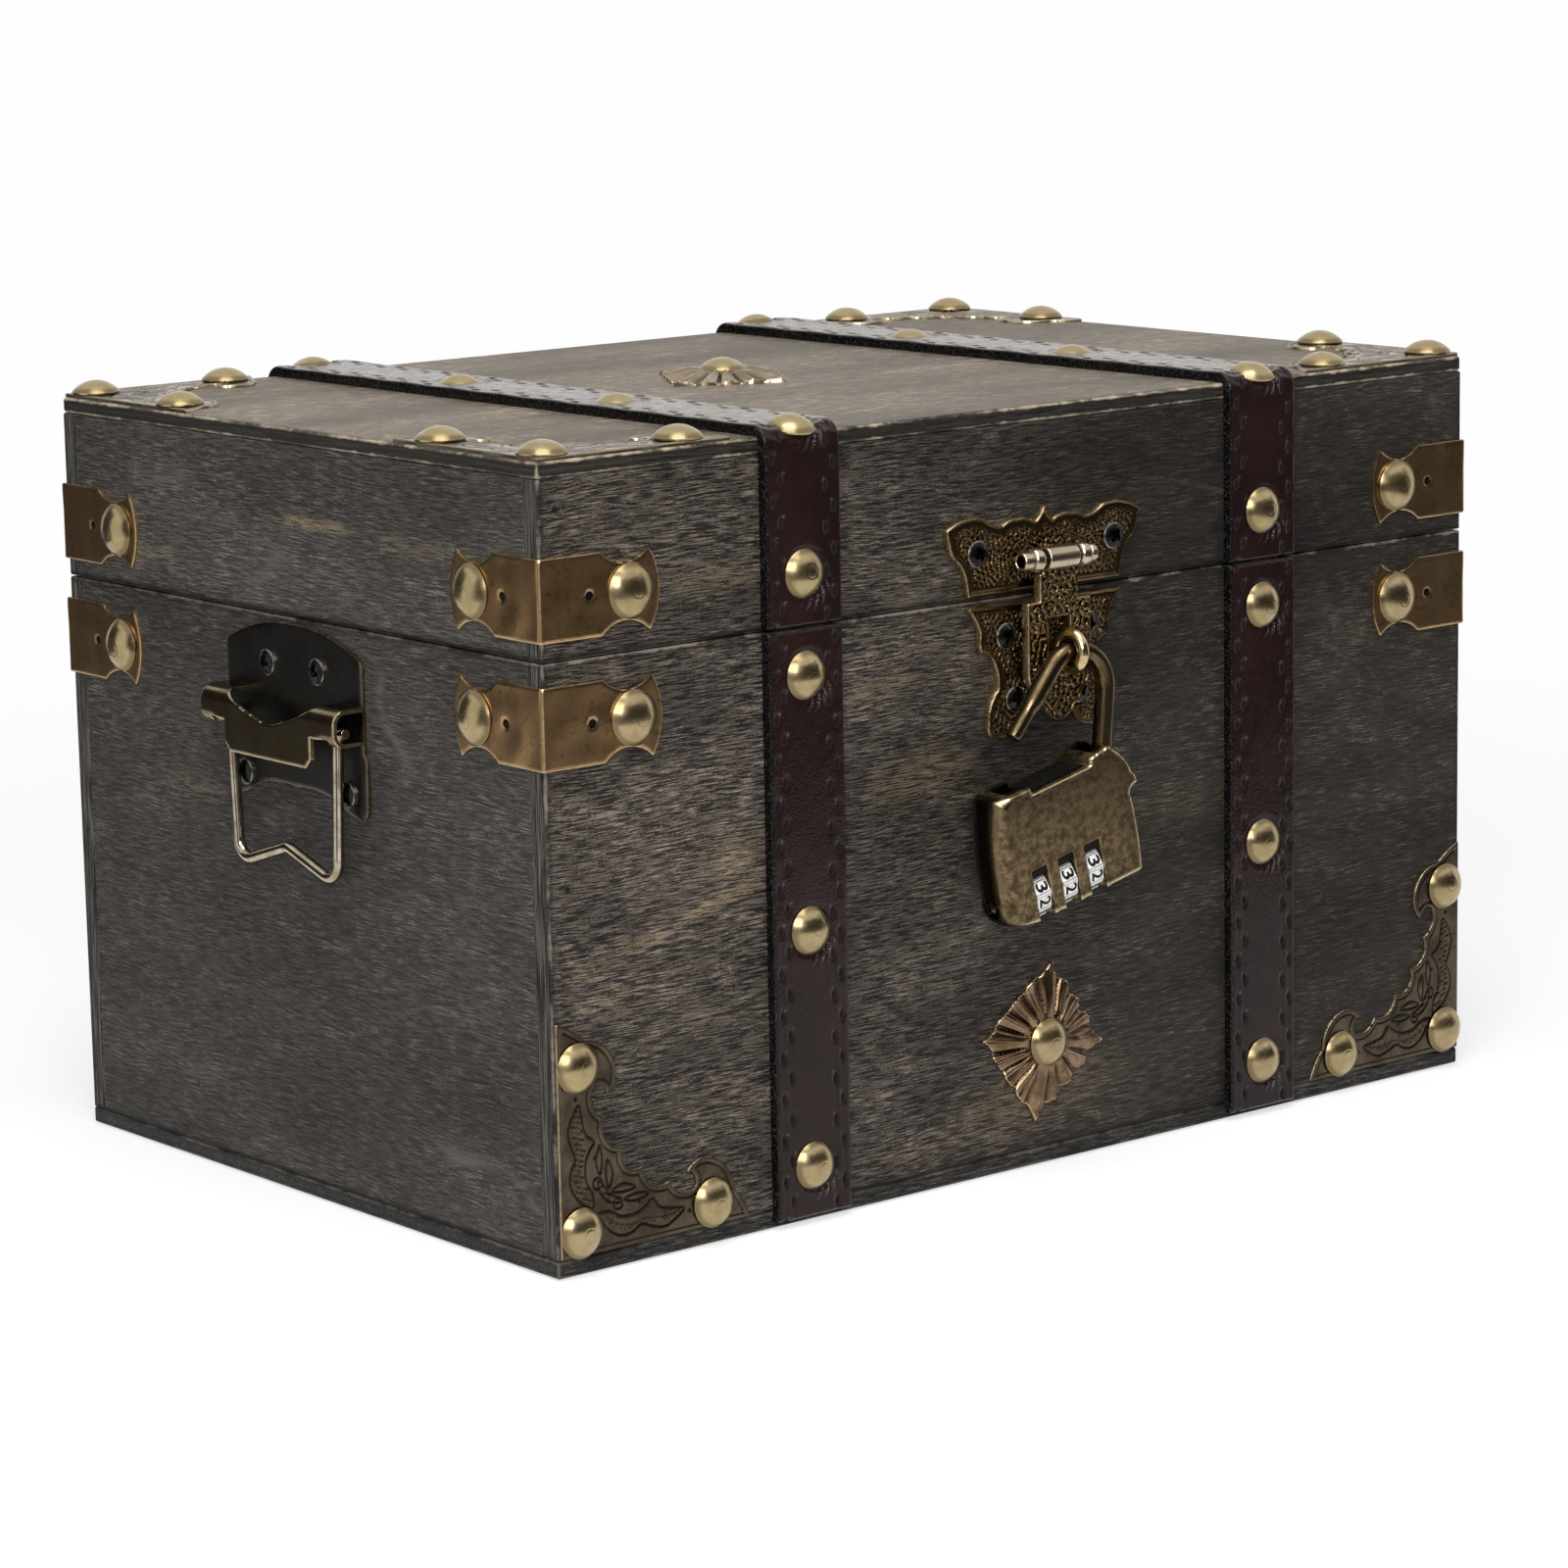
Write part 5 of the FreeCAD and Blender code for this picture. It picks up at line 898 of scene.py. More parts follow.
def metalFinish(name):
    # Blotches of two tones, small specks of patina, bare bright metal along the edges, a dark stain inside
    # them and dark metal in the hollows, which on the nails' rims and the padlock's sides is painted shade.
    tone = metal[name]
    finish, tree, shader = newFinish(name)
    coord = ownPlace(tree)
    blotch = noise(tree, coord, tone["blotch"], 4.0, 0.62)
    grit = noise(tree, coord, tone["grit"], 3.0, 0.6)
    colour = blend(tree, spread(tree, blotch, 0.36, 0.64), tone["dark"], tone["base"])
    specks = times(tree, spread(tree, grit, 0.56, 0.70), tone["gritShare"])
    colour = blend(tree, specks, colour, tone["speck"])
    if "recess" in tone:
        hollow = spread(tree, mark(tree, "relief"), 0.0, 0.75, 0.92, 0.0)
        colour = blend(tree, hollow, colour, tone["recess"])
    if "patina" in tone:
        stained = times(tree, spread(tree, mark(tree, "edge"), 0.8, tone["patina"], 0.62, 0.0),
                        spread(tree, blotch, 0.30, 0.62, 1.0, 0.5))
        colour = blend(tree, stained, colour, tuple(value * 0.4 for value in tone["dark"]))
    if tone["wear"]:
        rub = plus(tree, mark(tree, "edge"), scaled(tree, blotch, tone["wear"], -0.45 * tone["wear"]))
        bare = times(tree, spread(tree, rub, 0.0, tone["wear"], 1.0, 0.0),
                     spread(tree, grit, 0.30, 0.55, 0.35, 1.0))
        colour = blend(tree, bare, colour, tone["bright"])
    roughness = spread(tree, blotch, 0.35, 0.65, tone["rough"][1], tone["rough"][0])
    bump = add(tree, "Bump",
               {"Height": plus(tree, blotch, times(tree, grit, 0.4)), "Strength": tone["bump"],
                "Distance": 0.0003})
    connect(tree, shader, Base_Color=colour, Roughness=roughness, Normal=bump)
    fixed(shader, Metallic=1.0)
    return finish


def inkFinish(name, colour, second):
    finish, tree, shader = newFinish(name)
    coord = ownPlace(tree)
    patch = noise(tree, coord, 900.0, 3.0)
    connect(tree, shader, Base_Color=blend(tree, spread(tree, patch, 0.4, 0.7), colour, second),
            Roughness=spread(tree, patch, 0.3, 0.7, 0.5, 0.7))
    fixed(shader, Specular_IOR_Level=0.12)
    return finish


metals = {name: metalFinish(name) for name in metal}
print("metals mixed")

# Domed nails
nail = {"head": 5.9, "plateHead": 5.45, "strapHead": 5.3, "rim": 0.45, "dome": 3.0, "shank": 0.8,
        "length": 4.2, "ring": 1.45, "ringDepth": 0.04, "ringWide": 0.16, "ringSink": 0.012, "top": 1.0,
        "shade": 0.75, "sides": 44, "bendTilt": 12, "sink": 0.5, "lidSink": 1.5, "seat": 0.8,
        "bandInset": 22.5, "plateSpots": ((5, 5), (5, 40), (40, 5)), "ornamentSeat": 2.6,
        "lidOrnamentSeat": 2.1}


def nailShell(places, head):
    # A cap of a sphere on a short rim, with painted shade that darkens it towards the rim. A shallow ring
    # mark lies a little off its middle, turned by chance on each nail.
    count = len(places)
    origin = np.array([place for place, _ in places])[:, None, None]
    outward = np.array([unit(way) for _, way in places])
    upward = np.where(np.abs(outward[:, 2:]) > 0.8, (0.0, 1.0, 0.0), (0.0, 0.0, 1.0))
    side = np.cross(upward, outward)
    side /= np.linalg.norm(side, axis=1)[:, None]
    upward = np.cross(outward, side)
    rim, rise = nail["rim"], nail["dome"] - nail["rim"]
    ball = (head ** 2 + rise ** 2) / (2 * rise)
    radius = np.concatenate([head * np.sin(np.linspace(math.pi / 2, 0.62, 9)),
                             np.linspace(0.55 * head, 0, 21)])
    cap = rim + np.sqrt(ball ** 2 - radius ** 2) - (ball - rise)
    foot = np.array([(0, -nail["length"]), (nail["shank"], 1.6 - nail["length"]), (nail["shank"], 0),
                     (head - 0.35, 0), (head - 0.08, 0.1)])
    radius = np.concatenate([foot[:, 0], radius])
    height = np.concatenate([foot[:, 1], cap])
    turn = np.arange(nail["sides"]) * 2 * math.pi / nail["sides"]
    across = radius[:, None] * np.cos(turn)
    up = radius[:, None] * np.sin(turn)
    angle = chance.uniform(0, 2 * math.pi, count)[:, None, None]
    shift = chance.uniform(0.2, 0.9, count)[:, None, None]
    away = np.hypot(across - shift * np.cos(angle), up - shift * np.sin(angle))
    onTop = height[:, None] > nail["top"]
    ring = np.exp(-((away - nail["ring"]) / nail["ringWide"]) ** 2) * onTop
    tall = height[:, None] - nail["ringDepth"] * ring - nail["ringSink"] * (away < nail["ring"]) * onTop
    points = (origin + across[None, ..., None] * side[:, None, None]
              + up[None, ..., None] * upward[:, None, None] + tall[..., None] * outward[:, None, None])
    rows = len(radius)
    step = (np.arange(count) * rows * nail["sides"])[:, None, None]
    quads = (gridFaces(rows, nail["sides"], True)[None] + step).reshape(-1, 4)
    # Painted shade: the dome darkens towards its rim through the relief mark.
    onDome = (height >= rim - 0.01) * (radius < head - 0.01)
    shade = nail["shade"] * eased(head - 1.8, head - 0.4, radius) * onDome
    return shell(points.reshape(-1, 3), quads,
                 marks={"relief": 1 - np.maximum(0.65 * ring, shade[None, :, None]).ravel()})


def strapNails():
    onBody, onLid = [], []
    face, sink, tilt = chest["halfDepth"] + strap["thick"], nail["sink"], math.radians(nail["bendTilt"])
    for across in strap["places"].values():
        for facing in (-1, 1):
            onBody += [((across, facing * (face - sink), height), (0, facing, 0))
                       for height in strap["nailHeights"]]
            onLid.append(((across, facing * (face - sink), strap["lidNailHeight"]), (0, facing, 0)))
            onLid.append(((across, facing * strap["lidNailDepth"],
                           chest["height"] + strap["thick"] - nail["lidSink"]), (0, 0, 1)))
            reach = strap["bend"] - nail["lidSink"]
            onLid.append(((across, facing * (face - strap["bend"] + reach * math.sin(tilt)),
                           chest["height"] + strap["thick"] - strap["bend"] + reach * math.cos(tilt)),
                          (0, facing * math.sin(tilt), math.cos(tilt))))
    return onBody, onLid


def bandNails(middle):
    places = []
    for side in (-1, 1):
        for facing in (-1, 1):
            places.append(((side * (chest["halfWidth"] - nail["bandInset"]),
                            facing * (chest["halfDepth"] + nail["seat"]), middle), (0, facing, 0)))
            places.append(((side * (chest["halfWidth"] + nail["seat"]),
                            facing * (chest["halfDepth"] - nail["bandInset"]), middle), (side, 0, 0)))
    return places


def makeNails():
    strapBody, strapLid = strapNails()
    onBody, onLid = [], []
    for side in (-1, 1):
        for across, up in nail["plateSpots"]:
            aside = side * (chest["halfWidth"] - plate["edge"] - across)
            onBody.append(((aside, -chest["halfDepth"] - nail["seat"], plate["foot"] + up), (0, -1, 0)))
            for facing in (-1, 1):
                deep = facing * (chest["halfDepth"] - plate["edge"] - up)
                onLid.append(((aside, deep, chest["height"] + nail["seat"]), (0, 0, 1)))
    (across, up), spot = ornament["front"]["middle"], ornament["lid"]["middle"]
    onBody.append(((across, -chest["halfDepth"] - nail["ornamentSeat"], up), (0, -1, 0)))
    onLid.append(((*spot, chest["height"] + nail["lidOrnamentSeat"]), (0, 0, 1)))
    for part, body, onPlates, onStraps in (("body", "chest", onBody, strapBody),
                                           ("lid", "lid", onLid, strapLid)):
        onBands = bandNails(band["heights"][part])
        shells = [nailShell(onBands, nail["head"]), nailShell(onPlates, nail["plateHead"]),
                  nailShell(onStraps, nail["strapHead"])]
        meshPiece(f"{part}Nails", shells, [metals["nailBrass"]], body, [f"{part}_nails"])


# Folded corner bands
band = {"half": 8.6, "waist": 15.0, "tip": 27.5, "notch": -0.21, "tail": 0.15, "hole": 12.0,
        "holeRadius": 1.0, "holeBottom": 1.1, "holeRise": 0.25, "sheet": 0.8, "fold": 0.55,
        "heights": {"lid": 141.7, "body": 115.4}, "mesh": 0.4, "rimDrop": 0.18, "dent": 0.035,
        "dentLong": 9.0}


def makeBands():
    # One strip drawn flat, with a fish tail at each end, then bent round the corner: the fold turns through
    # a quarter circle. A black disc at the bottom of each hole is painted shade.
    half, fold = band["half"], band["fold"]
    waist, tip = band["waist"] + fold, band["tip"] + fold
    notch, tail = band["notch"], band["tail"]
    corners = [(-waist, -half), (waist, -half, notch), (tip, -half, tail), (tip, half, notch),
               (waist, half), (-waist, half, notch), (-tip, half, tail), (-tip, -half, notch)]
    holes = [circleLoop(side * (band["hole"] + fold), 0, band["holeRadius"]) for side in (-1, 1)]
    grid = sheetGrid([outlineLoop(corners, band["mesh"])] + holes, band["mesh"])
    flat, edge = grid["flat"], grid["edge"]
    dents = band["dent"] * wavyField(flat, band["dentLong"], 20, 5)
    top = band["sheet"] - band["rimDrop"] * (edge < 0.05) + dents
    crest = np.abs(flat[:, 0])
    pierced = np.hypot(crest - band["hole"] - fold, flat[:, 1]) < band["holeRadius"] + 0.35
    marks = {"edge": np.where(pierced, 0.25 + 3 * edge, np.minimum(edge, crest * 0.8)),
             "relief": np.ones(len(flat))}

    def bent(side, facing, middle):
        def place(flat, height):
            across, up = flat.T
            turn = np.clip((across / fold + 1) / 2, 0, 1) * math.pi / 2
            onSide = np.maximum(-across - fold, 0)
            onFront = np.maximum(across - fold, 0)
            return np.stack([side * (chest["halfWidth"] - onFront + height * np.cos(turn)),
                             facing * (chest["halfDepth"] - onSide + height * np.sin(turn)), middle + up],
                            1)
        return place

    # Painted shade: near-black discs at the bottom of the holes.
    dark = inkFinish("holeShade", (0.002, 0.002, 0.002), (0.004, 0.004, 0.004))
    bottom = [(0, 0), (band["holeBottom"], 0), (band["holeBottom"], band["holeRise"]), (0, band["holeRise"])]
    for body, middle in band["heights"].items():
        for place, facing in frontBack:
            for name, side in leftRight:
                shells = [sheetShell(grid, top, 0.0, bent(side, facing, middle), marks)]
                onFace = (side * (chest["halfWidth"] - band["hole"]), facing * chest["halfDepth"], middle)
                onEnd = (side * chest["halfWidth"], facing * (chest["halfDepth"] - band["hole"]), middle)
                for spot, outward in ((onFace, (0, facing, 0)), (onEnd, (side, 0, 0))):
                    disc, discQuads = revolve(bottom, 20, spot, outward, (0, 0, 1))
                    shells.append(shell(disc, discQuads, finish=1))
                meshPiece(f"{body}Band_{place}_{name}", shells, [metals["bandBronze"], dark],
                          "lid" if body == "lid" else "chest", [f"{body}_band_{place}_{name}"])


makeBands()
print("bands folded")

# Embossed corner plates: an acanthus leaf along each leg, small leaves, buds and rings by the diagonal.
plate = {"leg": 50.0, "sheet": 0.8, "edge": 0.6, "foot": 4.2, "corner": 0.34, "border": 1.15, "deep": 0.34,
         "rimDrop": 0.2, "crease": 50, "mesh": 0.22, "step": 0.4,
         "shares": [(0.0, 1.0, -0.05), (0.14, 0.915, -0.18), (0.30, 0.775, -0.15), (0.255, 0.665, 0.35),
                    (0.175, 0.70, 0.20), (0.235, 0.568, 0.29), (0.325, 0.43, 0.147)],
         "leaf": [(9.6, 8.2), (10.6, 6.1), (13.4, 3.5), (16.1, 2.5), (18.7, 2.9), (20.9, 4.0), (23.5, 3.1),
                  (26.8, 2.3), (29.6, 3.3), (32.2, 5.2), (29.2, 5.9), (25.9, 6.7), (23.9, 8.9), (22.2, 7.7),
                  (19.5, 6.6), (15.6, 6.7), (12.6, 8.3)],
         "vein": [(11.6, 7.2), (14.6, 5.3), (18.2, 4.6), (22.0, 5.2), (26.2, 4.6), (30.4, 5.0)],
         "sprigs": [[(13.4, 12.4), (16.2, 13.6), (19.4, 12.3), (16.4, 11.9)],
                    [(16.6, 10.2), (19.6, 10.9), (22.8, 10.3), (19.6, 9.4)],
                    [(9.8, 15.4), (11.8, 13.2), (12.4, 10.6), (10.4, 12.4)]],
         "rings": [(14.8, 9.6, 1.2), (7.9, 7.9, 1.1)],
         "dots": [(12.9, 6.2), (16.4, 3.9), (24.2, 4.2), (26.9, 5.6), (20.4, 9.0), (33.8, 4.4)]}


def plateRelief(flat):
    # Grooves along drawn lines, leaves raised between them, and a row of short cuts along each vein. Both
    # legs are mirror images.
    groove = np.zeros(len(flat))
    raised = np.zeros(len(flat))
    for turned in (flat, flat[:, ::-1]):
        for points in [plate["leaf"]] + plate["sprigs"]:
            line = smoothLine(points, 150, True)
            away, _, inside = nearestOnLoops(turned, [line])
            groove = np.maximum(groove, np.exp(-(away / 0.27) ** 2))
            raised = np.maximum(raised, inside * eased(0.0, 0.9, away))
        vein = smoothLine(plate["vein"], 160)
        away = lineDistance(turned, vein)
        reach = 1.1 + 0.5 * np.sin(turned[:, 0] * 2.3)
        cuts = np.exp(-(((turned[:, 0] + 0.35 * turned[:, 1]) % 1.15 - 0.57) / 0.24) ** 2) * (away < reach)
        groove = np.maximum(groove, np.maximum(np.exp(-(away / 0.26) ** 2), 0.95 * cuts * (raised > 0.2)))
        for across, up, radius in plate["rings"]:
            away = np.hypot(turned[:, 0] - across, turned[:, 1] - up)
            groove = np.maximum(groove, np.exp(-((away - radius) / 0.25) ** 2))
        for across, up in plate["dots"]:
            away = np.hypot(turned[:, 0] - across, turned[:, 1] - up)
            groove = np.maximum(groove, np.exp(-(away / 0.42) ** 2))
    return groove, raised


def makePlates():
    leg = plate["leg"]
    half = cornersFrom(plate["shares"], leg, leg)
    bulges = [corner[2] for corner in half]
    other = [(up, across, before) for (across, up, _), before in zip(half, [0] + bulges[:-1])]
    corner = leg * plate["corner"]
    corners = half + [(corner, corner, bulges[-1])] + other[::-1] + [(0.0, 0.0)]
    grid = sheetGrid([outlineLoop(corners, plate["step"])], plate["mesh"])
    flat, edge = grid["flat"], grid["edge"]
    groove, raised = plateRelief(flat)
    border = np.exp(-((edge - plate["border"]) / 0.2) ** 2) * (flat.min(1) > 1.6)
    relief = 0.62 + 0.38 * raised + 0.38 * (edge < 0.9) - 0.62 * np.maximum(groove, 0.8 * border)
    relief = np.clip(relief, 0, 1)
    top = plate["sheet"] - plate["deep"] * (1 - relief) - plate["rimDrop"] * (edge < 0.05)
    marks = {"relief": relief}

    def onFront(side):
        return lambda flat, height: np.stack([side * (chest["halfWidth"] - plate["edge"] - flat[:, 0]),
                                              -chest["halfDepth"] - height, plate["foot"] + flat[:, 1]], 1)

    def onLid(side, facing):
        return lambda flat, height: np.stack([side * (chest["halfWidth"] - plate["edge"] - flat[:, 0]),
                                              facing * (chest["halfDepth"] - plate["edge"] - flat[:, 1]),
                                              chest["height"] + height], 1)

    for name, side in leftRight:
        meshPiece(f"frontCornerPlate_{name}", [sheetShell(grid, top, 0.0, onFront(side), marks)],
                  [metals["plateBronze"]], "chest", [f"front_corner_plate_{name}"],
                  plate["crease"])
        for place, facing in frontBack:
            meshPiece(f"lidCornerPlate_{place}_{name}",
                      [sheetShell(grid, top, 0.0, onLid(side, facing), marks)], [metals["lidPlateBronzeLit"]],
                      "lid", [f"lid_corner_plate_{place}_{name}"], plate["crease"])


makePlates()
print("corner plates pressed")

# Pressed four-pointed ornaments
ornament = {"reach": 18.3, "notches": (0.19, 0.395, 0.605, 0.81), "inset": (0.050, 0.048, 0.048, 0.050),
            "lobe": 0.20, "tip": -0.05, "sheet": 0.8, "peak": 1.8, "flute": 1.15, "least": 0.35,
            "rimDrop": 0.15, "crease": 55, "mesh": 0.25, "step": 0.3,
            "front": {"middle": (0.0, 28.3), "turn": -8.5}, "lid": {"middle": (-12.0, 3.0), "turn": 14.0}}


def makeOrnaments():
    # A low pyramid on a square of four slim leaf tips and three lobes a side: its height falls from the
    # middle, and a flute runs from the nail to each lobe and tip, as a function of the share of the way
    # along the side.
    reach, notches = ornament["reach"], np.array([0.0, *ornament["notches"], 1.0])
    tips = np.array([(1, 0), (0, 1), (-1, 0), (0, -1)])
    bulges = [ornament["tip"], *[ornament["lobe"]] * 3, ornament["tip"]]
    corners = []
    for first, second in zip(tips, np.roll(tips, -1, 0)):
        inward = -unit(first + second)
        for share, inset, bulge in zip(notches[:-1], (0.0, *ornament["inset"]), bulges):
            corners.append((*(reach * (first + (second - first) * share + inward * inset)), bulge))
    grid = sheetGrid([outlineLoop(corners, ornament["step"])], ornament["mesh"])
    flat, edge = grid["flat"], grid["edge"]
    size = np.abs(flat).sum(1)
    share = np.abs(flat[:, 1]) / np.maximum(size, 0.01)
    sector = np.clip(np.searchsorted(notches, share, side="right") - 1, 0, 4)
    along = (share - notches[sector]) / (notches[sector + 1] - notches[sector])
    across = np.where(sector == 0, along, np.where(sector == 4, 1 - along, np.abs(2 * along - 1)))
    petal = 1 - across ** 1.7 + 0.12 * np.cos(across * 9.4)
    petal -= 0.35 * np.exp(-(np.abs(flat).min(1) / 0.3) ** 2)
    out = eased(0.26, 0.60, size / reach)
    fall = 1 - eased(0.30, 1.0, size / reach)
    top = ornament["sheet"] + ornament["peak"] * fall + ornament["flute"] * out * (petal - 0.55)
    top = np.maximum(top, ornament["least"]) - ornament["rimDrop"] * (edge < 0.05)
    marks = {"relief": np.clip(1 - out * (1 - petal), 0, 1)}

    def turned(flat, spot):
        turn = math.radians(spot["turn"])
        spin = np.array([[math.cos(turn), math.sin(turn)], [-math.sin(turn), math.cos(turn)]])
        return flat @ spin + spot["middle"]

    def onFront(flat, height):
        spot = turned(flat, ornament["front"])
        return np.stack([spot[:, 0], -chest["halfDepth"] - height, spot[:, 1]], 1)

    def onLid(flat, height):
        spot = turned(flat, ornament["lid"])
        return np.stack([spot[:, 0], spot[:, 1], chest["height"] + height], 1)

    for part, place, finish, body in (("front", onFront, "ornamentCopper", "chest"),
                                      ("lid", onLid, "lidOrnamentCopperLit", "lid")):
        shells = [sheetShell(grid, top, 0.0, place, marks)]
        meshPiece(f"{part}Ornament", shells, [metals[finish]], body, [f"{part}_ornament"],
                  ornament["crease"])


makeOrnaments()
print("ornaments pressed")
makeNails()
print("nails driven")

# Butterfly clasp
clasp = {"shift": 1.0, "sheet": 2.0, "wingHalf": 28.2, "wingTall": 18.8, "wingFoot": 130.2,
         "tailHalf": 22.5, "tailTall": 29.4, "tailTop": 127.6,
         "wings": [(0.0, 1.0, 0.12), (0.09, 0.78, -0.10), (0.285, 0.83, -0.10), (0.43, 0.775, 0.08),
                   (0.62, 0.885, -0.10), (1.0, 0.80, -0.06), (0.94, 0.47, 0.10), (0.815, 0.20, 0.0),
                   (0.79, 0.0, 0.0)],
         "tails": [(1.0, 0.0, 0.06), (0.84, 0.20, -0.10), (0.83, 0.335, 0.15), (0.65, 0.46, 0.10),
                   (0.63, 0.64, -0.12), (0.75, 0.88, -0.30), (0.60, 1.0, -0.10), (0.44, 0.96, 0.15)],
         "tailNotch": 0.80, "pinY": -96.2, "pinZ": 137.2, "pinHalf": 8.4, "pinCore": 1.2, "pinEnd": 2.1,
         "pinHollow": 1.4, "pinLeft": 2.8, "pinRight": 1.8, "knuckle": 2.7, "knuckleLong": 3.1,
         "knuckleStart": (5.3, -8.4), "webHalf": 1.35, "webInset": 0.2, "mesh": 0.22, "step": 0.4,
         "deep": 0.40, "crease": 50, "upperRelief": (11, 1.7, 1.2), "lowerRelief": (12, 1.2, 1.2)}
hasp = {"half": 9.2, "neck": 5.6, "barrel": 4.7, "length": 36.0, "shoulder": 9.4, "stand": 4.4,
        "sheet": 2.2, "slotHalf": 3.2, "slotDrop": 13.2, "slotLong": 12.6, "play": 0.3, "clear": 0.6,
        "relief": (13, 0.2, 1.55), "shares": [(1.0, 0.66, -0.10), (0.78, 0.82, -0.05), (0.45, 0.92, -0.14)]}
staple = {"ring": 3.8, "wire": 1.4, "middle": (-100, 117),
          "stem": [(0, 92), (2.1, 92), (1.9, 92.5), (1.3, 93.2), (1.2, 94), (1.2, 96.6), (0, 96.6)]}


def castSheet(loops, sheet, seed, band, wave, place):
    # A cast plate: a thin raised rim, a smooth band as wide as band and a field of worm-like ridges from a
    # sum of waves of one length, with small beads between them.
    grid = sheetGrid(loops, clasp["mesh"])
    flat, edge = grid["flat"], grid["edge"]
    worms = eased(-0.45, 0.45, wavyField(flat, wave, 70, seed))
    beads = eased(1.1, 1.7, wavyField(flat, wave * 0.8, 60, seed + 50))
    field = eased(band, band + 0.7, edge)
    relief = (1 - field) * 0.58 + field * (0.05 + 0.90 * np.maximum(worms, beads))
    relief = np.where(edge < 0.45, 0.95, relief - 0.30 * np.exp(-((edge - 0.75) / 0.2) ** 2))
    relief = np.clip(relief, 0, 1)
    top = sheet - clasp["deep"] + clasp["deep"] * relief - rounded(edge, 0.45) * 0.6
    return sheetShell(grid, top, 0.0, place, {"relief": relief})


def barrelShell(start, finish, radius, hollow=0.0, finishNumber=0, ease=0.5, sides=40):
    # A turned barrel along the pin with eased ends, with a blind hole in its left end if it is hollow.
    turn = np.linspace(0, math.pi / 2, 7)
    left = [(radius - ease + ease * math.sin(angle), start + ease - ease * math.cos(angle))
            for angle in turn]
    right = [(radius - ease + ease * math.cos(angle), finish - ease + ease * math.sin(angle))
             for angle in turn]
    heart = [(0, start)]
    if hollow:
        heart = [(0, start + 2.6), (hollow, start + 2.6), (hollow, start + 0.30), (hollow, start + 0.15),
                 (hollow + 0.12, start)]
    rows = heart + left + right + [(0, finish)]
    points, quads = revolve(rows, sides, (0, clasp["pinY"], clasp["pinZ"]), (1, 0, 0), (0, 0, 1))
    inside = np.arange(len(rows)) < (3 if hollow else 0)
    return shell(points, quads, marks={"relief": np.repeat(1.0 - inside, sides)}, finish=finishNumber)


def makeClasp():
    shift = clasp["shift"]

    def onFront(lift):
        return lambda flat, height: np.stack([shift + flat[:, 0], -chest["halfDepth"] - lift - height,
                                              flat[:, 1]], 1)

    wings = mirroredLoop(cornersFrom(clasp["wings"], clasp["wingHalf"], clasp["wingTall"],
                                     clasp["wingFoot"]), clasp["step"])
    shells = [castSheet([wings], clasp["sheet"], *clasp["upperRelief"], onFront(0.0))]
    for place in clasp["knuckleStart"]:
        start, finish = shift + place, shift + place + clasp["knuckleLong"]
        shells.append(barrelShell(start, finish, clasp["knuckle"], finishNumber=1, ease=1.1))
        shells.append(boxShell((start + clasp["webInset"], clasp["pinY"], clasp["pinZ"] - clasp["webHalf"]),
                               (finish - clasp["webInset"], -chest["halfDepth"],
                                clasp["pinZ"] + clasp["webHalf"])))
    meshPiece("claspUpperPlate", shells, [metals["claspBronze"], metals["pinNickel"]], "lid",
              ["clasp_upper_plate"], clasp["crease"])
    half = cornersFrom(clasp["tails"], clasp["tailHalf"], -clasp["tailTall"], clasp["tailTop"])
    tails = mirroredLoop(half, clasp["step"],
                         (0.0, clasp["tailTop"] - clasp["tailTall"] * clasp["tailNotch"], half[-1][2]))
    meshPiece("claspLowerPlate", [castSheet([tails], clasp["sheet"], *clasp["lowerRelief"], onFront(0.0))],
              [metals["claspBronze"]], "chest", ["clasp_lower_plate"], clasp["crease"])
    top = clasp["pinZ"]
    clear = top - clasp["knuckle"] - hasp["clear"]
    half = [(hasp["barrel"], top, 0), (hasp["barrel"], clear, 0), (hasp["neck"], clear, 0),
            (hasp["neck"], top - hasp["shoulder"], 0), (hasp["half"], top - hasp["shoulder"], 0)]
    half += cornersFrom(hasp["shares"], hasp["half"], -hasp["length"], top)
    leaf = mirroredLoop(half, clasp["step"], (0.0, top - hasp["length"], half[-1][2]))
    slotTop = top - hasp["slotDrop"]
    slot = outlineLoop([(-hasp["slotHalf"], slotTop - hasp["slotLong"]),
                        (hasp["slotHalf"], slotTop - hasp["slotLong"]), (hasp["slotHalf"], slotTop),
                        (-hasp["slotHalf"], slotTop)], clasp["step"])
    reach = hasp["barrel"] - hasp["play"]
    shells = [castSheet([leaf, slot], hasp["sheet"], *hasp["relief"], onFront(hasp["stand"])),
              barrelShell(shift - reach, shift + reach, clasp["knuckle"], finishNumber=1, ease=0.4)]
    meshPiece("claspHasp", shells, [metals["haspBronze"], metals["pinNickel"]], "hasp", ["clasp_hasp"],
              clasp["crease"])
    left, right, end = shift - clasp["pinHalf"], shift + clasp["pinHalf"], clasp["pinEnd"]
    shells = [barrelShell(left - clasp["pinLeft"], left, end, clasp["pinHollow"]),
              barrelShell(left, right, clasp["pinCore"], finishNumber=1),
              barrelShell(right, right + clasp["pinRight"], end)]
    meshPiece("claspPin", shells, [metals["pinNickel"], metals["screwDark"]], "lid", ["clasp_pin"])
    meshPiece("claspStaple", stapleShells(), [metals["stapleBrass"]], "chest", ["clasp_staple"])


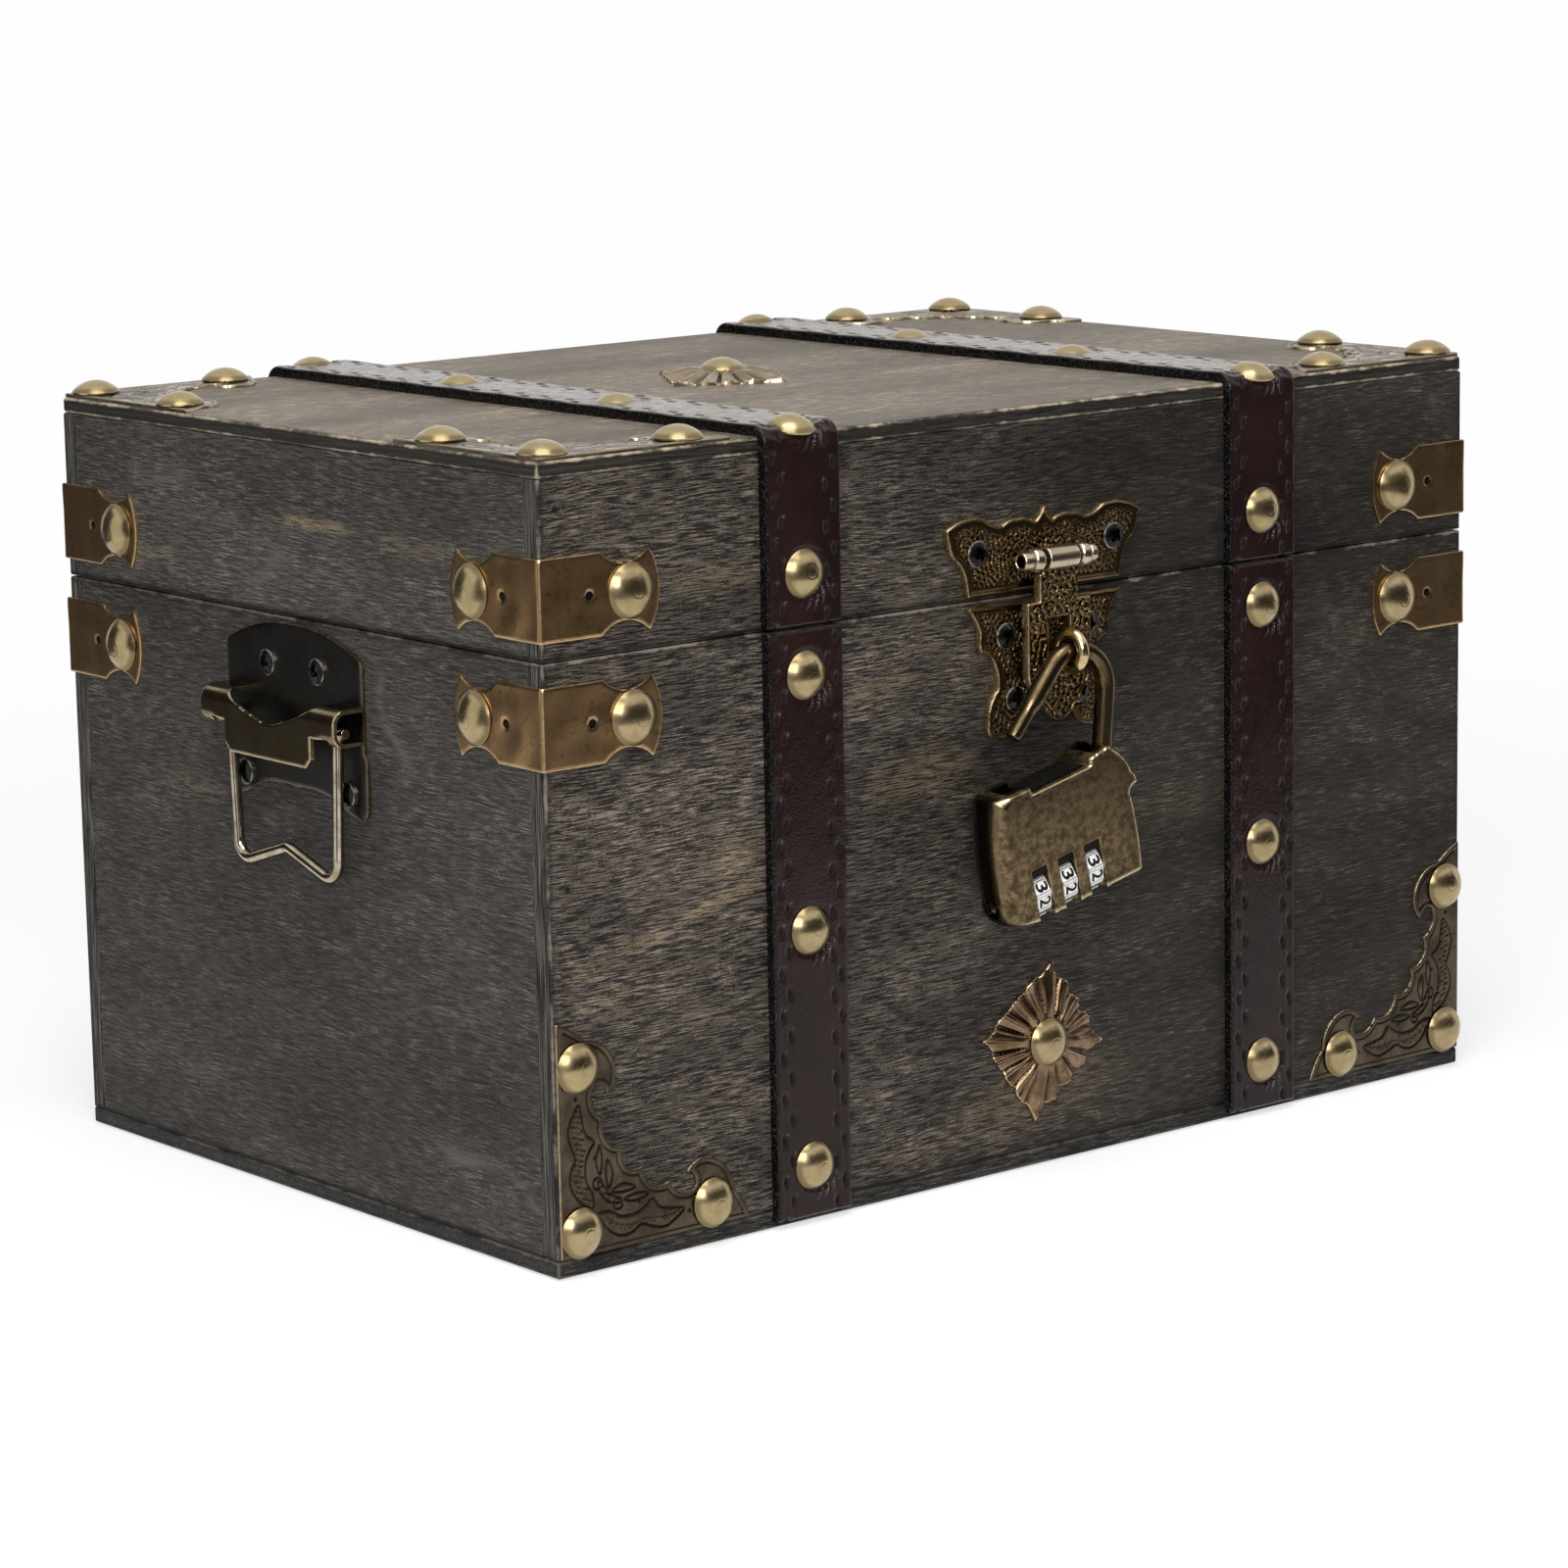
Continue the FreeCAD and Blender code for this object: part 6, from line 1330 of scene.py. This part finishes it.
def boxShell(low, high, finish=0):
    corners = np.array([[(low, high)[i][0], (low, high)[j][1], (low, high)[k][2]] for i in (0, 1)
                        for j in (0, 1) for k in (0, 1)], float)
    quads = np.array([(0, 1, 3, 2), (4, 6, 7, 5), (0, 4, 5, 1), (2, 3, 7, 6), (0, 2, 6, 4), (1, 5, 7, 3)])
    return shell(corners, quads, finish=finish)


def stapleShells():
    # A round eye, a circle carried round a circle, on a stem that widens at its foot.
    ring, wire, (deep, up) = staple["ring"], staple["wire"], staple["middle"]
    outer, inner = np.meshgrid(np.arange(57) * 2 * math.pi / 56, np.arange(24) * 2 * math.pi / 24,
                               indexing="ij")
    reach = ring + wire * np.cos(inner)
    points = np.stack([clasp["shift"] + wire * np.sin(inner), deep + reach * np.cos(outer),
                       up + reach * np.sin(outer)], -1)
    stemPoints, stemQuads = revolve(staple["stem"], 28, (clasp["shift"], 0, up), (0, -1, 0), (0, 0, 1))
    return [shell(points.reshape(-1, 3), gridFaces(57, 24, True)), shell(stemPoints, stemQuads)]


makeClasp()
print("clasp cast")

# Wood screws with a cross recess
screw = {"head": 2.9, "rim": 0.5, "dome": 1.5, "slot": 0.42, "reach": 1.6, "depth": 0.9, "sheet": 1.0,
         "wing": (20.0, 139.5), "tail": ((12.0, 120.7), (9.4, 106.5)),
         "handle": ((9.5, 118.4), (19.5, 93.0)), "hinges": (-40.3, 40.3), "hingeAside": 9.0,
         "hingeBody": 121.4, "hingeLid": 136.6, "mesh": 0.15, "crease": 50}


def screwShells(places):
    # A low cap of a sphere on a fine square grid, less a cross. Each copy is turned by chance and stands on
    # its face.
    grid = sheetGrid([circleLoop(0, 0, screw["head"], 60)], screw["mesh"])
    flat, edge = grid["flat"], grid["edge"]
    rise = screw["dome"] - screw["rim"]
    ball = (screw["head"] ** 2 + rise ** 2) / (2 * rise)
    cap = screw["rim"] + np.sqrt(ball ** 2 - (flat ** 2).sum(1)) - (ball - rise)
    across, up = np.abs(flat).T
    narrow = [1 - eased(screw["slot"] - 0.1, screw["slot"] + 0.1, away) for away in (across, up)]
    short = [1 - eased(screw["reach"] - 0.3, screw["reach"], away) for away in (up, across)]
    cross = np.maximum(narrow[0] * short[0], narrow[1] * short[1])
    shells = []
    for origin, outward in places:
        turn = chance.uniform(0, math.pi)
        outward = unit(outward)
        side = np.cross((0.0, 0.0, 1.0), outward)

        def place(flat, height, origin=np.array(origin), outward=outward, side=side, turn=turn):
            across = flat[:, 0] * math.cos(turn) - flat[:, 1] * math.sin(turn)
            up = flat[:, 0] * math.sin(turn) + flat[:, 1] * math.cos(turn)
            onFace = origin + across[:, None] * side + up[:, None] * (0.0, 0.0, 1.0)
            return onFace + height[:, None] * outward
        shells.append(sheetShell(grid, cap - screw["depth"] * cross, 0.0, place, {"relief": 1 - cross}))
    return shells


def makeScrews():
    face = chest["halfDepth"] + clasp["sheet"]
    middle, (aside, high) = clasp["shift"], screw["wing"]
    onLid = [((middle + side * aside, -face, high), (0, -1, 0)) for side in (-1, 1)]
    onBody = [((middle + side * across, -face, up), (0, -1, 0)) for side in (-1, 1)
              for across, up in screw["tail"]]
    onBody += [((end * (chest["halfWidth"] + screw["sheet"]), handle["shift"] + side * across, up),
                (end, 0, 0)) for end in (-1, 1) for side in (-1, 1) for across, up in screw["handle"]]
    for hinge in screw["hinges"]:
        for side in (-1, 1):
            across, deep = hinge + side * screw["hingeAside"], chest["halfDepth"] + screw["sheet"]
            onBody.append(((across, deep, screw["hingeBody"]), (0, 1, 0)))
            onLid.append(((across, deep, screw["hingeLid"]), (0, 1, 0)))
    meshPiece("bodyScrews", screwShells(onBody), [metals["screwDark"]], "chest", ["body_screws"],
              screw["crease"])
    meshPiece("lidScrews", screwShells(onLid), [metals["screwDark"]], "lid", ["lid_screws"],
              screw["crease"])
    for node in ("left_hinge_body_leaf", "right_hinge_body_leaf", "left_hinge_lid_leaf",
                 "right_hinge_lid_leaf", "hinge_pins"):
        dressNode(node, metals["hingeBronze"])


# Side handles
handle = {"shift": -1.5, "half": 26.5, "tall": 40.0, "top": 127.6, "sheet": 1.0, "foot": 0.89,
          "shares": [(0.0, 0.0, -0.06), (0.94, 0.13, -0.16), (0.965, 0.20, 0.0), (0.965, 0.635, 0.0),
                     (1.0, 0.67, 0.0), (1.0, 0.93, -0.28), (0.83, 0.985, -0.06), (0.62, 0.93, 0.06)],
          "tunnelHalf": 25.5, "roof": 112.6, "low": 104.2, "reach": 7.5, "bend": 3.2, "flapHalf": 16.5,
          "flapFoot": 99.0, "lip": 3.2,
          "dip": [(-16.5, 112.6, 0.06), (-5.775, 108.0, 0.10), (5.775, 108.0, 0.06), (16.5, 112.6)],
          "notch": 105.8, "mesh": 0.45, "step": 0.5, "tunnelMesh": 0.35, "tunnelStep": 0.4, "rimDrop": 0.2,
          "curl": (18.0, 22.4), "crease": 50}
bail = {"depth": 138.9, "height": 106.8, "half": 20.5, "stub": 2.7, "drop": 33.5, "taper": 1.6, "dip": 6.0,
        "radii": (2.2, 4.0, 4.0, 4.0, 2.2), "wire": 1.25, "ease": 0.3, "step": 0.6, "sides": 24}


makeScrews()
print("screws set")


def tunnelSection(run, wrap):
    # The tunnel's outer line: out from the plate, a quarter turn, down, and then either straight on or a
    # second quarter turn back to the plate, mixed by wrap. It gives the place (out, up) and the way that
    # the face looks.
    bend, reach, roof = handle["bend"], handle["reach"], handle["roof"]
    flat, arc, drop = reach - bend, bend * math.pi / 2, roof - handle["low"] - 2 * bend
    first = np.clip((run - flat) / bend, 0, math.pi / 2)
    second = np.clip((run - flat - arc - drop) / bend, 0, math.pi / 2)
    down = np.clip(run - flat - arc, 0, None)
    back = np.clip(run - flat - 2 * arc - drop, 0, None)
    out = np.minimum(run, flat) + bend * np.sin(first)
    level = roof - bend * (1 - np.cos(first))
    straight = np.stack([out, level - down], 1)
    curled = np.stack([out - bend * (1 - np.cos(second)) - back,
                       level - np.minimum(down, drop) - bend * np.sin(second)], 1)
    look = np.stack([np.sin(first), np.cos(first)], 1)
    lookCurled = np.where((second > 0)[:, None], np.stack([np.cos(second), -np.sin(second)], 1), look)
    wrap = wrap[:, None]
    way = look * (1 - wrap) + lookCurled * wrap
    return straight * (1 - wrap) + curled * wrap, way / np.linalg.norm(way, axis=1)[:, None]


def tunnelLoop():
    # The tunnel drawn flat as (across, run): ears at both ends, a flap between the bail's legs and a dip in
    # the upper edge.
    half, flap, lip = handle["tunnelHalf"], handle["flapHalf"], handle["tunnelHalf"] - handle["lip"]
    bend, roof = handle["bend"], handle["roof"]
    flat, arc = handle["reach"] - bend, bend * math.pi / 2
    dip = np.concatenate([arcSide(start, finish, start[2], handle["tunnelStep"])
                          for start, finish in zip(handle["dip"], handle["dip"][1:])]
                         + [[handle["dip"][-1]]])
    turn = np.arcsin(np.clip((dip[:, 1] - roof + bend) / bend, 0, 1))
    dip = np.stack([dip[:, 0],
                    flat + bend * (math.pi / 2 - turn) + np.clip(roof - bend - dip[:, 1], 0, None)], 1)
    notch = flat + arc + roof - bend - handle["notch"]
    foot = flat + arc + roof - bend - handle["flapFoot"]
    end = 2 * flat + 2 * arc + roof - handle["low"] - 2 * bend
    right = [(flap, flat), (flap, 0.0), (half, 0.0), (half, end), (lip, end), (lip, notch), (flap, notch),
             (flap, foot - 2.0), (flap - 2.0, foot)]
    line = right + [(-across, run) for across, run in right[::-1]]
    sides = np.concatenate([arcSide(start, finish, 0.0, handle["tunnelStep"])
                            for start, finish in zip(line, line[1:])] + [[line[-1]]])
    return np.concatenate([sides, dip[1:-1]])


def makeHandles():
    half = cornersFrom(handle["shares"], handle["half"], -handle["tall"], handle["top"])
    outline = mirroredLoop(half, handle["step"],
                           (0.0, handle["top"] - handle["tall"] * handle["foot"], half[-1][2]))
    plateGrid = sheetGrid([outline], handle["mesh"])
    plateTop = handle["sheet"] - handle["rimDrop"] * (plateGrid["edge"] < 0.05)
    tunnelGrid = sheetGrid([tunnelLoop()], handle["tunnelMesh"])
    tunnelTop = handle["sheet"] - handle["rimDrop"] * (tunnelGrid["edge"] < 0.05)
    foot = bail["height"] - bail["drop"]
    right = [(bail["half"] + bail["stub"], bail["height"]), (bail["half"], bail["height"]),
             (bail["half"] - bail["taper"], foot)]
    line = right + [(0.0, foot + bail["dip"])] + [(-across, up) for across, up in right[::-1]]
    for name, side in leftRight:
        def onSide(flat, height):
            return np.stack([side * (chest["halfWidth"] + height), handle["shift"] + flat[:, 0],
                             flat[:, 1]], 1)

        def rolled(flat, height):
            section, look = tunnelSection(flat[:, 1], eased(*handle["curl"], np.abs(flat[:, 0])))
            section = section - (handle["sheet"] - height)[:, None] * look
            return np.stack([side * (chest["halfWidth"] + handle["sheet"] + section[:, 0]),
                             handle["shift"] + flat[:, 0], section[:, 1]], 1)

        shells = [sheetShell(plateGrid, plateTop, 0.0, onSide),
                  sheetShell(tunnelGrid, tunnelTop, 0.0, rolled, finish=1)]
        meshPiece(f"{name}HandlePlate", shells, [metals["handleDark"], metals["handleOlive"]], "chest",
                  [f"{name}_handle_plate"], handle["crease"])
        stations = roundedPath([(side * bail["depth"], handle["shift"] + across, up)
                                for across, up in line], bail["radii"], bail["step"])
        points, quads = rod(stations, bail["wire"], bail["ease"], bail["sides"], (1, 0, 0))
        meshPiece(f"{name}HandleBail", [shell(points, quads)], [metals["bailBronze"]], f"{name}_bail",
                  [f"{name}_handle_bail"])


makeHandles()
print("handles bent")

# Padlock with number dials, drawn about the shackle's pivot as (across, deep, up) and tilted with the case
lock = {"pivot": (9.5, -100.0, 90.0), "tilt": 13.0, "width": 42.7, "height": 30.2, "thick": 11.0,
        "ease": 0.8, "round": 4.2,
        "shares": [(-0.88, -0.575, 0.30), (-0.75, -0.805, 0.0), (0.03, -0.805, 0.30), (0.055, -0.76, 0.03),
                   (0.063, -0.205, -0.20), (0.12, -0.165, 0.15), (0.10, -0.056, 0.08), (0.0, 0.17, 0.25),
                   (-0.06, 0.195, 0.05), (-0.162, 0.172, 0.0), (-0.173, 0.126, 0.0), (-0.58, 0.126, 0.0),
                   (-0.585, 0.175, 0.0), (-0.81, 0.175, 0.04)],
        "dials": {"left": -26.85, "middle": -18.9, "right": -10.95}, "slotHalf": 2.3, "slotTop": -12.85,
        "dialDrop": -19.3, "roundRun": (30.5, 35.5), "boreRun": (-45, -30),
        "cuts": {"recess": ((-24.55, -3.6, -1.715), (-7.69, 3.6, 9.0)),
                 "mouth": ((-30.2, -2.3, -4.7), (-23.6, 2.3, 9.0)),
                 "fork": ((-4.8, -2.4, -2.72), (20.0, 2.4, 15.0))}, "shadeDeep": (-5.1, -4.7),
        "shadeWide": 0.2, "shadeRise": 0.3, "pinRadius": 1.1, "pinHalf": 5.2, "facets": 10, "facing": 3,
        "digitDeep": 0.05, "rings": [(0, -36.0), (0.5, -36.3), (0.9, -36.0), (1.3, -36.0), (1.6, -36.5),
                                     (1.9, -36.6), (2.2, -36.5), (2.3, -36.2), (2.3, 0), (0, 0)],
        "dialSize": 5.8, "facet": 5.45, "dialHalf": 2.05, "phase": 22.5, "shade": 4.75, "bore": 2.35,
        "digitTall": 3.25, "digitWide": 2.15, "digitBold": 0.022, "oneWide": 0.55, "digitLift": 0.02,
        "mesh": 0.28, "step": 0.35, "slotEase": 0.25, "slotRun": (0.4, 1.4), "crease": 32, "dialCrease": 30,
        "dialEase": 0.25, "turnStep": 0.75, "bar": (12.2, 13.0), "groove": 15.4, "grooveWide": 0.8,
        "grooveDeep": 0.4, "line": 12.5, "lineWide": 0.5}
shackle = {"radius": 2.2, "taper": 0.48, "bend": 8.9, "centre": (2.2, -100.0, 108.1812),
           "tip": (-16.4, -100.0, 99.7), "eye": 2.4, "eyeHalf": 1.6, "eyeEase": 0.3, "ease": 0.5,
           "sides": 32}


def lockPlace(points):
    tilt = math.radians(lock["tilt"])
    across, deep, up = np.asarray(points).T
    return np.stack([lock["pivot"][0] + across * math.cos(tilt) - up * math.sin(tilt),
                     lock["pivot"][1] + deep,
                     lock["pivot"][2] + across * math.sin(tilt) + up * math.cos(tilt)], 1)


def carved(mesh, cutters):
    # The mesh less each of the closed cutters.
    items = [placed("carved", mesh)] + [placed("cutter", cutter) for cutter in cutters]
    for cutter in items[1:]:
        cut = items[0].modifiers.new("cut", "BOOLEAN")
        cut.operation, cut.solver, cut.object = "DIFFERENCE", "EXACT", cutter
    result = evaluated(items[0])
    for item in items:
        bpy.data.objects.remove(item)
    return result


def plainMesh(item):
    mesh = bpy.data.meshes.new("plain")
    mesh.from_pydata(item["points"].tolist(), [],
                     item["quads"].tolist() + [np.asarray(cap).tolist() for cap in item["caps"]])
    cleaned(mesh, 1e-4)
    return mesh


def lockLoop(slots=True):
    corners = cornersFrom(lock["shares"], lock["width"], lock["height"])
    low = corners[1][1]
    for place in sorted(lock["dials"].values(), reverse=True) if slots else []:
        left, right = place - lock["slotHalf"], place + lock["slotHalf"]
        corners[2:2] = [(left, low, 0), (left, lock["slotTop"], 0), (right, lock["slotTop"], 0),
                        (right, low, 0)]
    return outlineLoop(corners, lock["step"])


def makeLockCase():
    # Both faces are grids over the outline with its dial slots. Near the outline they fall off in a quarter
    # circle, with a radius that is large at the left end, small elsewhere and least at the dial slots. The
    # recess, the mouth, the fork and the spindle's hole are then cut out.
    loop = lockLoop()
    grid = sheetGrid([loop], lock["mesh"])
    flat, edge = grid["flat"], grid["edge"]
    radius = lock["ease"] + (lock["round"] - lock["ease"]) * eased(*lock["roundRun"], -flat[:, 0])
    aside = np.min([np.abs(flat[:, 0] - place) for place in lock["dials"].values()], 0) - lock["slotHalf"]
    above = flat[:, 1] - lock["slotTop"]
    atSlots = (1 - eased(*lock["slotRun"], aside)) * (1 - eased(*lock["slotRun"], above))
    radius = radius + (lock["slotEase"] - radius) * atSlots
    top = lock["thick"] / 2 - rounded(edge, radius)
    body = sheetShell(grid, top, -top, lambda flat, deep: np.stack([flat[:, 0], -deep, flat[:, 1]], 1))
    left, right = lock["boreRun"]
    bore = [(0, left), (lock["bore"], left), (lock["bore"], right), (0, right)]
    hole, holeQuads = revolve(bore, 32, (0, 0, lock["dialDrop"]), (1, 0, 0), (0, 0, 1))
    cutters = [boxShell(low, high) for low, high in lock["cuts"].values()] + [shell(hole, holeQuads)]
    mesh = carved(plainMesh(body), [plainMesh(cutter) for cutter in cutters])
    spots = meshPoints(mesh)
    away = nearestOnLoops(spots[:, [0, 2]], [lockLoop(False)])[0]
    rubbed = np.abs(away - 0.35) + 0.5 * np.clip(lock["thick"] / 2 - 1.0 - np.abs(spots[:, 1]), 0, None)
    mesh.vertices.foreach_set("co", (lockPlace(spots) * mm).ravel())
    # Painted shade: away from the two flat faces, on the case's sides and inside the cuts, the relief mark
    # falls to 0 and gives the dark hollow colour.
    bevel = lock["ease"] + (lock["round"] - lock["ease"]) * eased(*lock["roundRun"], -spots[:, 0])
    sidewall = lock["thick"] / 2 - 0.75 * bevel - 0.4
    outer = eased(-0.5, 0.4, np.abs(spots[:, 1]) - sidewall)
    markMesh(mesh, "edge", rubbed)
    markMesh(mesh, "relief", outer)
    return placePiece("padlockCase", mesh, [metals["lockBronze"]], "lock", ["padlock_case"],
                      lock["crease"])


def dialFinish():
    finish, tree, shader = newFinish("dialWhite")
    coord = ownPlace(tree)
    grime = noise(tree, coord, 700.0, 3.0)
    colour = blend(tree, spread(tree, grime, 0.45, 0.75), (0.80, 0.80, 0.79), (0.58, 0.57, 0.54))
    colour = blend(tree, spread(tree, mark(tree, "relief"), 0.2, 0.9, 0.9, 0.0), colour, (0.03, 0.03, 0.03))
    connect(tree, shader, Base_Color=colour, Roughness=spread(tree, grime, 0.3, 0.7, 0.30, 0.45))
    return finish


def makeDials():
    # Ten flat facets with a pair of bars between them. The radius is a function of the angle, carried
    # across the width with eased edges.
    white, ink = dialFinish(), inkFinish("digitInk", (0.006, 0.006, 0.006), (0.014, 0.014, 0.013))
    turn = np.radians(np.arange(0, 360, lock["turnStep"]))
    pitch = 360 / lock["facets"]
    cell = np.abs((np.degrees(turn) - lock["phase"] + pitch / 2) % pitch - pitch / 2)
    bar = eased(*lock["bar"], cell)
    groove = np.exp(-((cell - lock["groove"]) / lock["grooveWide"]) ** 2)
    facet = lock["facet"] / np.cos(np.radians(np.minimum(cell, lock["bar"][1])))
    size = (1 - bar) * facet + bar * (lock["dialSize"] - lock["grooveDeep"] * groove)
    line = np.exp(-((cell - lock["line"]) / lock["lineWide"]) ** 2)
    dark = np.append(np.maximum(groove * bar, 0.8 * line), 0)
    half, bore, ease = lock["dialHalf"], lock["bore"], lock["dialEase"]
    for name, place in lock["dials"].items():
        across = np.array([-half, -half, ease - half, half - ease, half, half])
        reach = np.stack([0 * size + bore, size - ease, size, size, size - ease, 0 * size + bore], 1)
        points = np.stack([np.broadcast_to(place + across, reach.shape), -reach * np.cos(turn)[:, None],
                           lock["dialDrop"] + reach * np.sin(turn)[:, None]], -1)
        points = np.concatenate([points, points[:1]])
        marks = {"relief": 1 - (dark[:, None] + 0 * points[..., 0]).ravel()}
        wheel = shell(lockPlace(points.reshape(-1, 3)), gridFaces(len(points), 6, True), marks=marks)
        meshPiece(f"dial_{name}", [wheel], [white], f"dial_{name}", [f"padlock_dial_{name}"],
                  lock["dialCrease"])
        shells = []
        for digit in range(lock["facets"]):
            text = bpy.data.curves.new("digit", "FONT")
            text.body, text.extrude, text.offset = str(digit), 0.02, lock["digitBold"]
            holder = placed("digit", text)
            mesh = evaluated(holder)
            bpy.data.objects.remove(holder)
            spots = meshPoints(mesh)
            low, high = spots.min(0), spots.max(0)
            spots = (spots - (low + high) / 2) / np.maximum(high - low, 1e-6)
            wide = lock["digitWide"] * (lock["oneWide"] if digit == 1 else 1.0)
            angle = math.radians(lock["phase"] + (digit - lock["facing"]) * pitch)
            up = -spots[:, 0] * wide
            out = lock["facet"] + lock["digitLift"] + spots[:, 2] * lock["digitDeep"]
            local = np.stack([place + spots[:, 1] * lock["digitTall"],
                              -out * math.cos(angle) + up * math.sin(angle),
                              lock["dialDrop"] + out * math.sin(angle) + up * math.cos(angle)], 1)
            faces = [list(face.vertices) for face in mesh.polygons]
            shells.append(shell(lockPlace(local), np.zeros((0, 4), int), faces))
        meshPiece(f"dialDigits_{name}", shells, [ink], f"dial_{name}", [], lock["dialCrease"])


def makeShackle():
    # Straight legs leave an arc at the points where lines from the pivot and from the tip touch it.
    centre, foot, tip = (np.array(shackle["centre"]), np.array(lock["pivot"]), np.array(shackle["tip"]))
    touch = []
    for point, sense in ((foot, 1), (tip, -1)):
        away = point - centre
        touch.append(math.atan2(away[2], away[0]) % (2 * math.pi)
                     + sense * math.acos(shackle["bend"] / np.linalg.norm(away)))
    turn = np.linspace(touch[0] - 2 * math.pi, touch[1], 60)
    arc = centre + shackle["bend"] * np.stack([np.cos(turn), 0 * turn, np.sin(turn)], 1)
    first = foot + np.linspace(0, 1, 16)[:-1, None] * (arc[0] - foot)
    end = tip + shackle["ease"] * unit(arc[-1] - tip)
    last = arc[-1] + np.linspace(0, 1, 14)[1:, None] * (end - arc[-1])
    points, quads = rod(np.concatenate([first, arc, last]), shackle["radius"], shackle["ease"],
                        shackle["sides"], (0, 1, 0), shackle["taper"])
    size, half, ease = shackle["eye"], shackle["eyeHalf"], shackle["eyeEase"]
    barrel = [(0, -half), (size - ease, -half), (size, ease - half), (size, half - ease),
              (size - ease, half), (0, half)]
    eye, eyeQuads = revolve(barrel, 36, lock["pivot"], (0, 1, 0), (0, 0, 1))
    meshPiece("padlockShackle", [shell(points, quads), shell(eye, eyeQuads)], [metals["shackleBronze"]],
              "shackle", ["padlock_shackle"])


def makeSpindle():
    # The dial spindle, with rings turned into its visible end and a black box above each dial as painted
    # shade in the top of its window, and the shackle's pivot pin, whose ends lie inside the case.
    points, quads = revolve(lock["rings"], 32, (0, 0, lock["dialDrop"]), (1, 0, 0), (0, 0, 1))
    radius, half = lock["pinRadius"], lock["pinHalf"]
    pin, pinQuads = revolve([(0, -half), (radius, -half), (radius, half), (0, half)], 24, lock["pivot"],
                            (0, 1, 0), (0, 0, 1))
    meshPiece("padlockPivotPin", [shell(pin, pinQuads)], [metals["shackleBronze"]], "lock",
              ["padlock_pivot_pin"])
    shells = [shell(lockPlace(points), quads)]
    for place in lock["dials"].values():
        (front, back), wide = lock["shadeDeep"], lock["slotHalf"] + lock["shadeWide"]
        shade = boxShell((place - wide, front, lock["dialDrop"] + lock["shade"]),
                         (place + wide, back, lock["slotTop"] + lock["shadeRise"]), 1)
        shells.append({**shade, "points": lockPlace(shade["points"])})
    dark = inkFinish("dialWindowShade", (0.004, 0.004, 0.004), (0.008, 0.008, 0.007))
    meshPiece("padlockSpindle", shells, [metals["screwDark"], dark], "lock", ["padlock_spindle"])


makeLockCase()
makeDials()
makeShackle()
makeSpindle()
dressNode("padlock_latch", inkFinish("latchBlack", (0.003, 0.003, 0.003), (0.007, 0.0065, 0.006)))
print("padlock assembled")
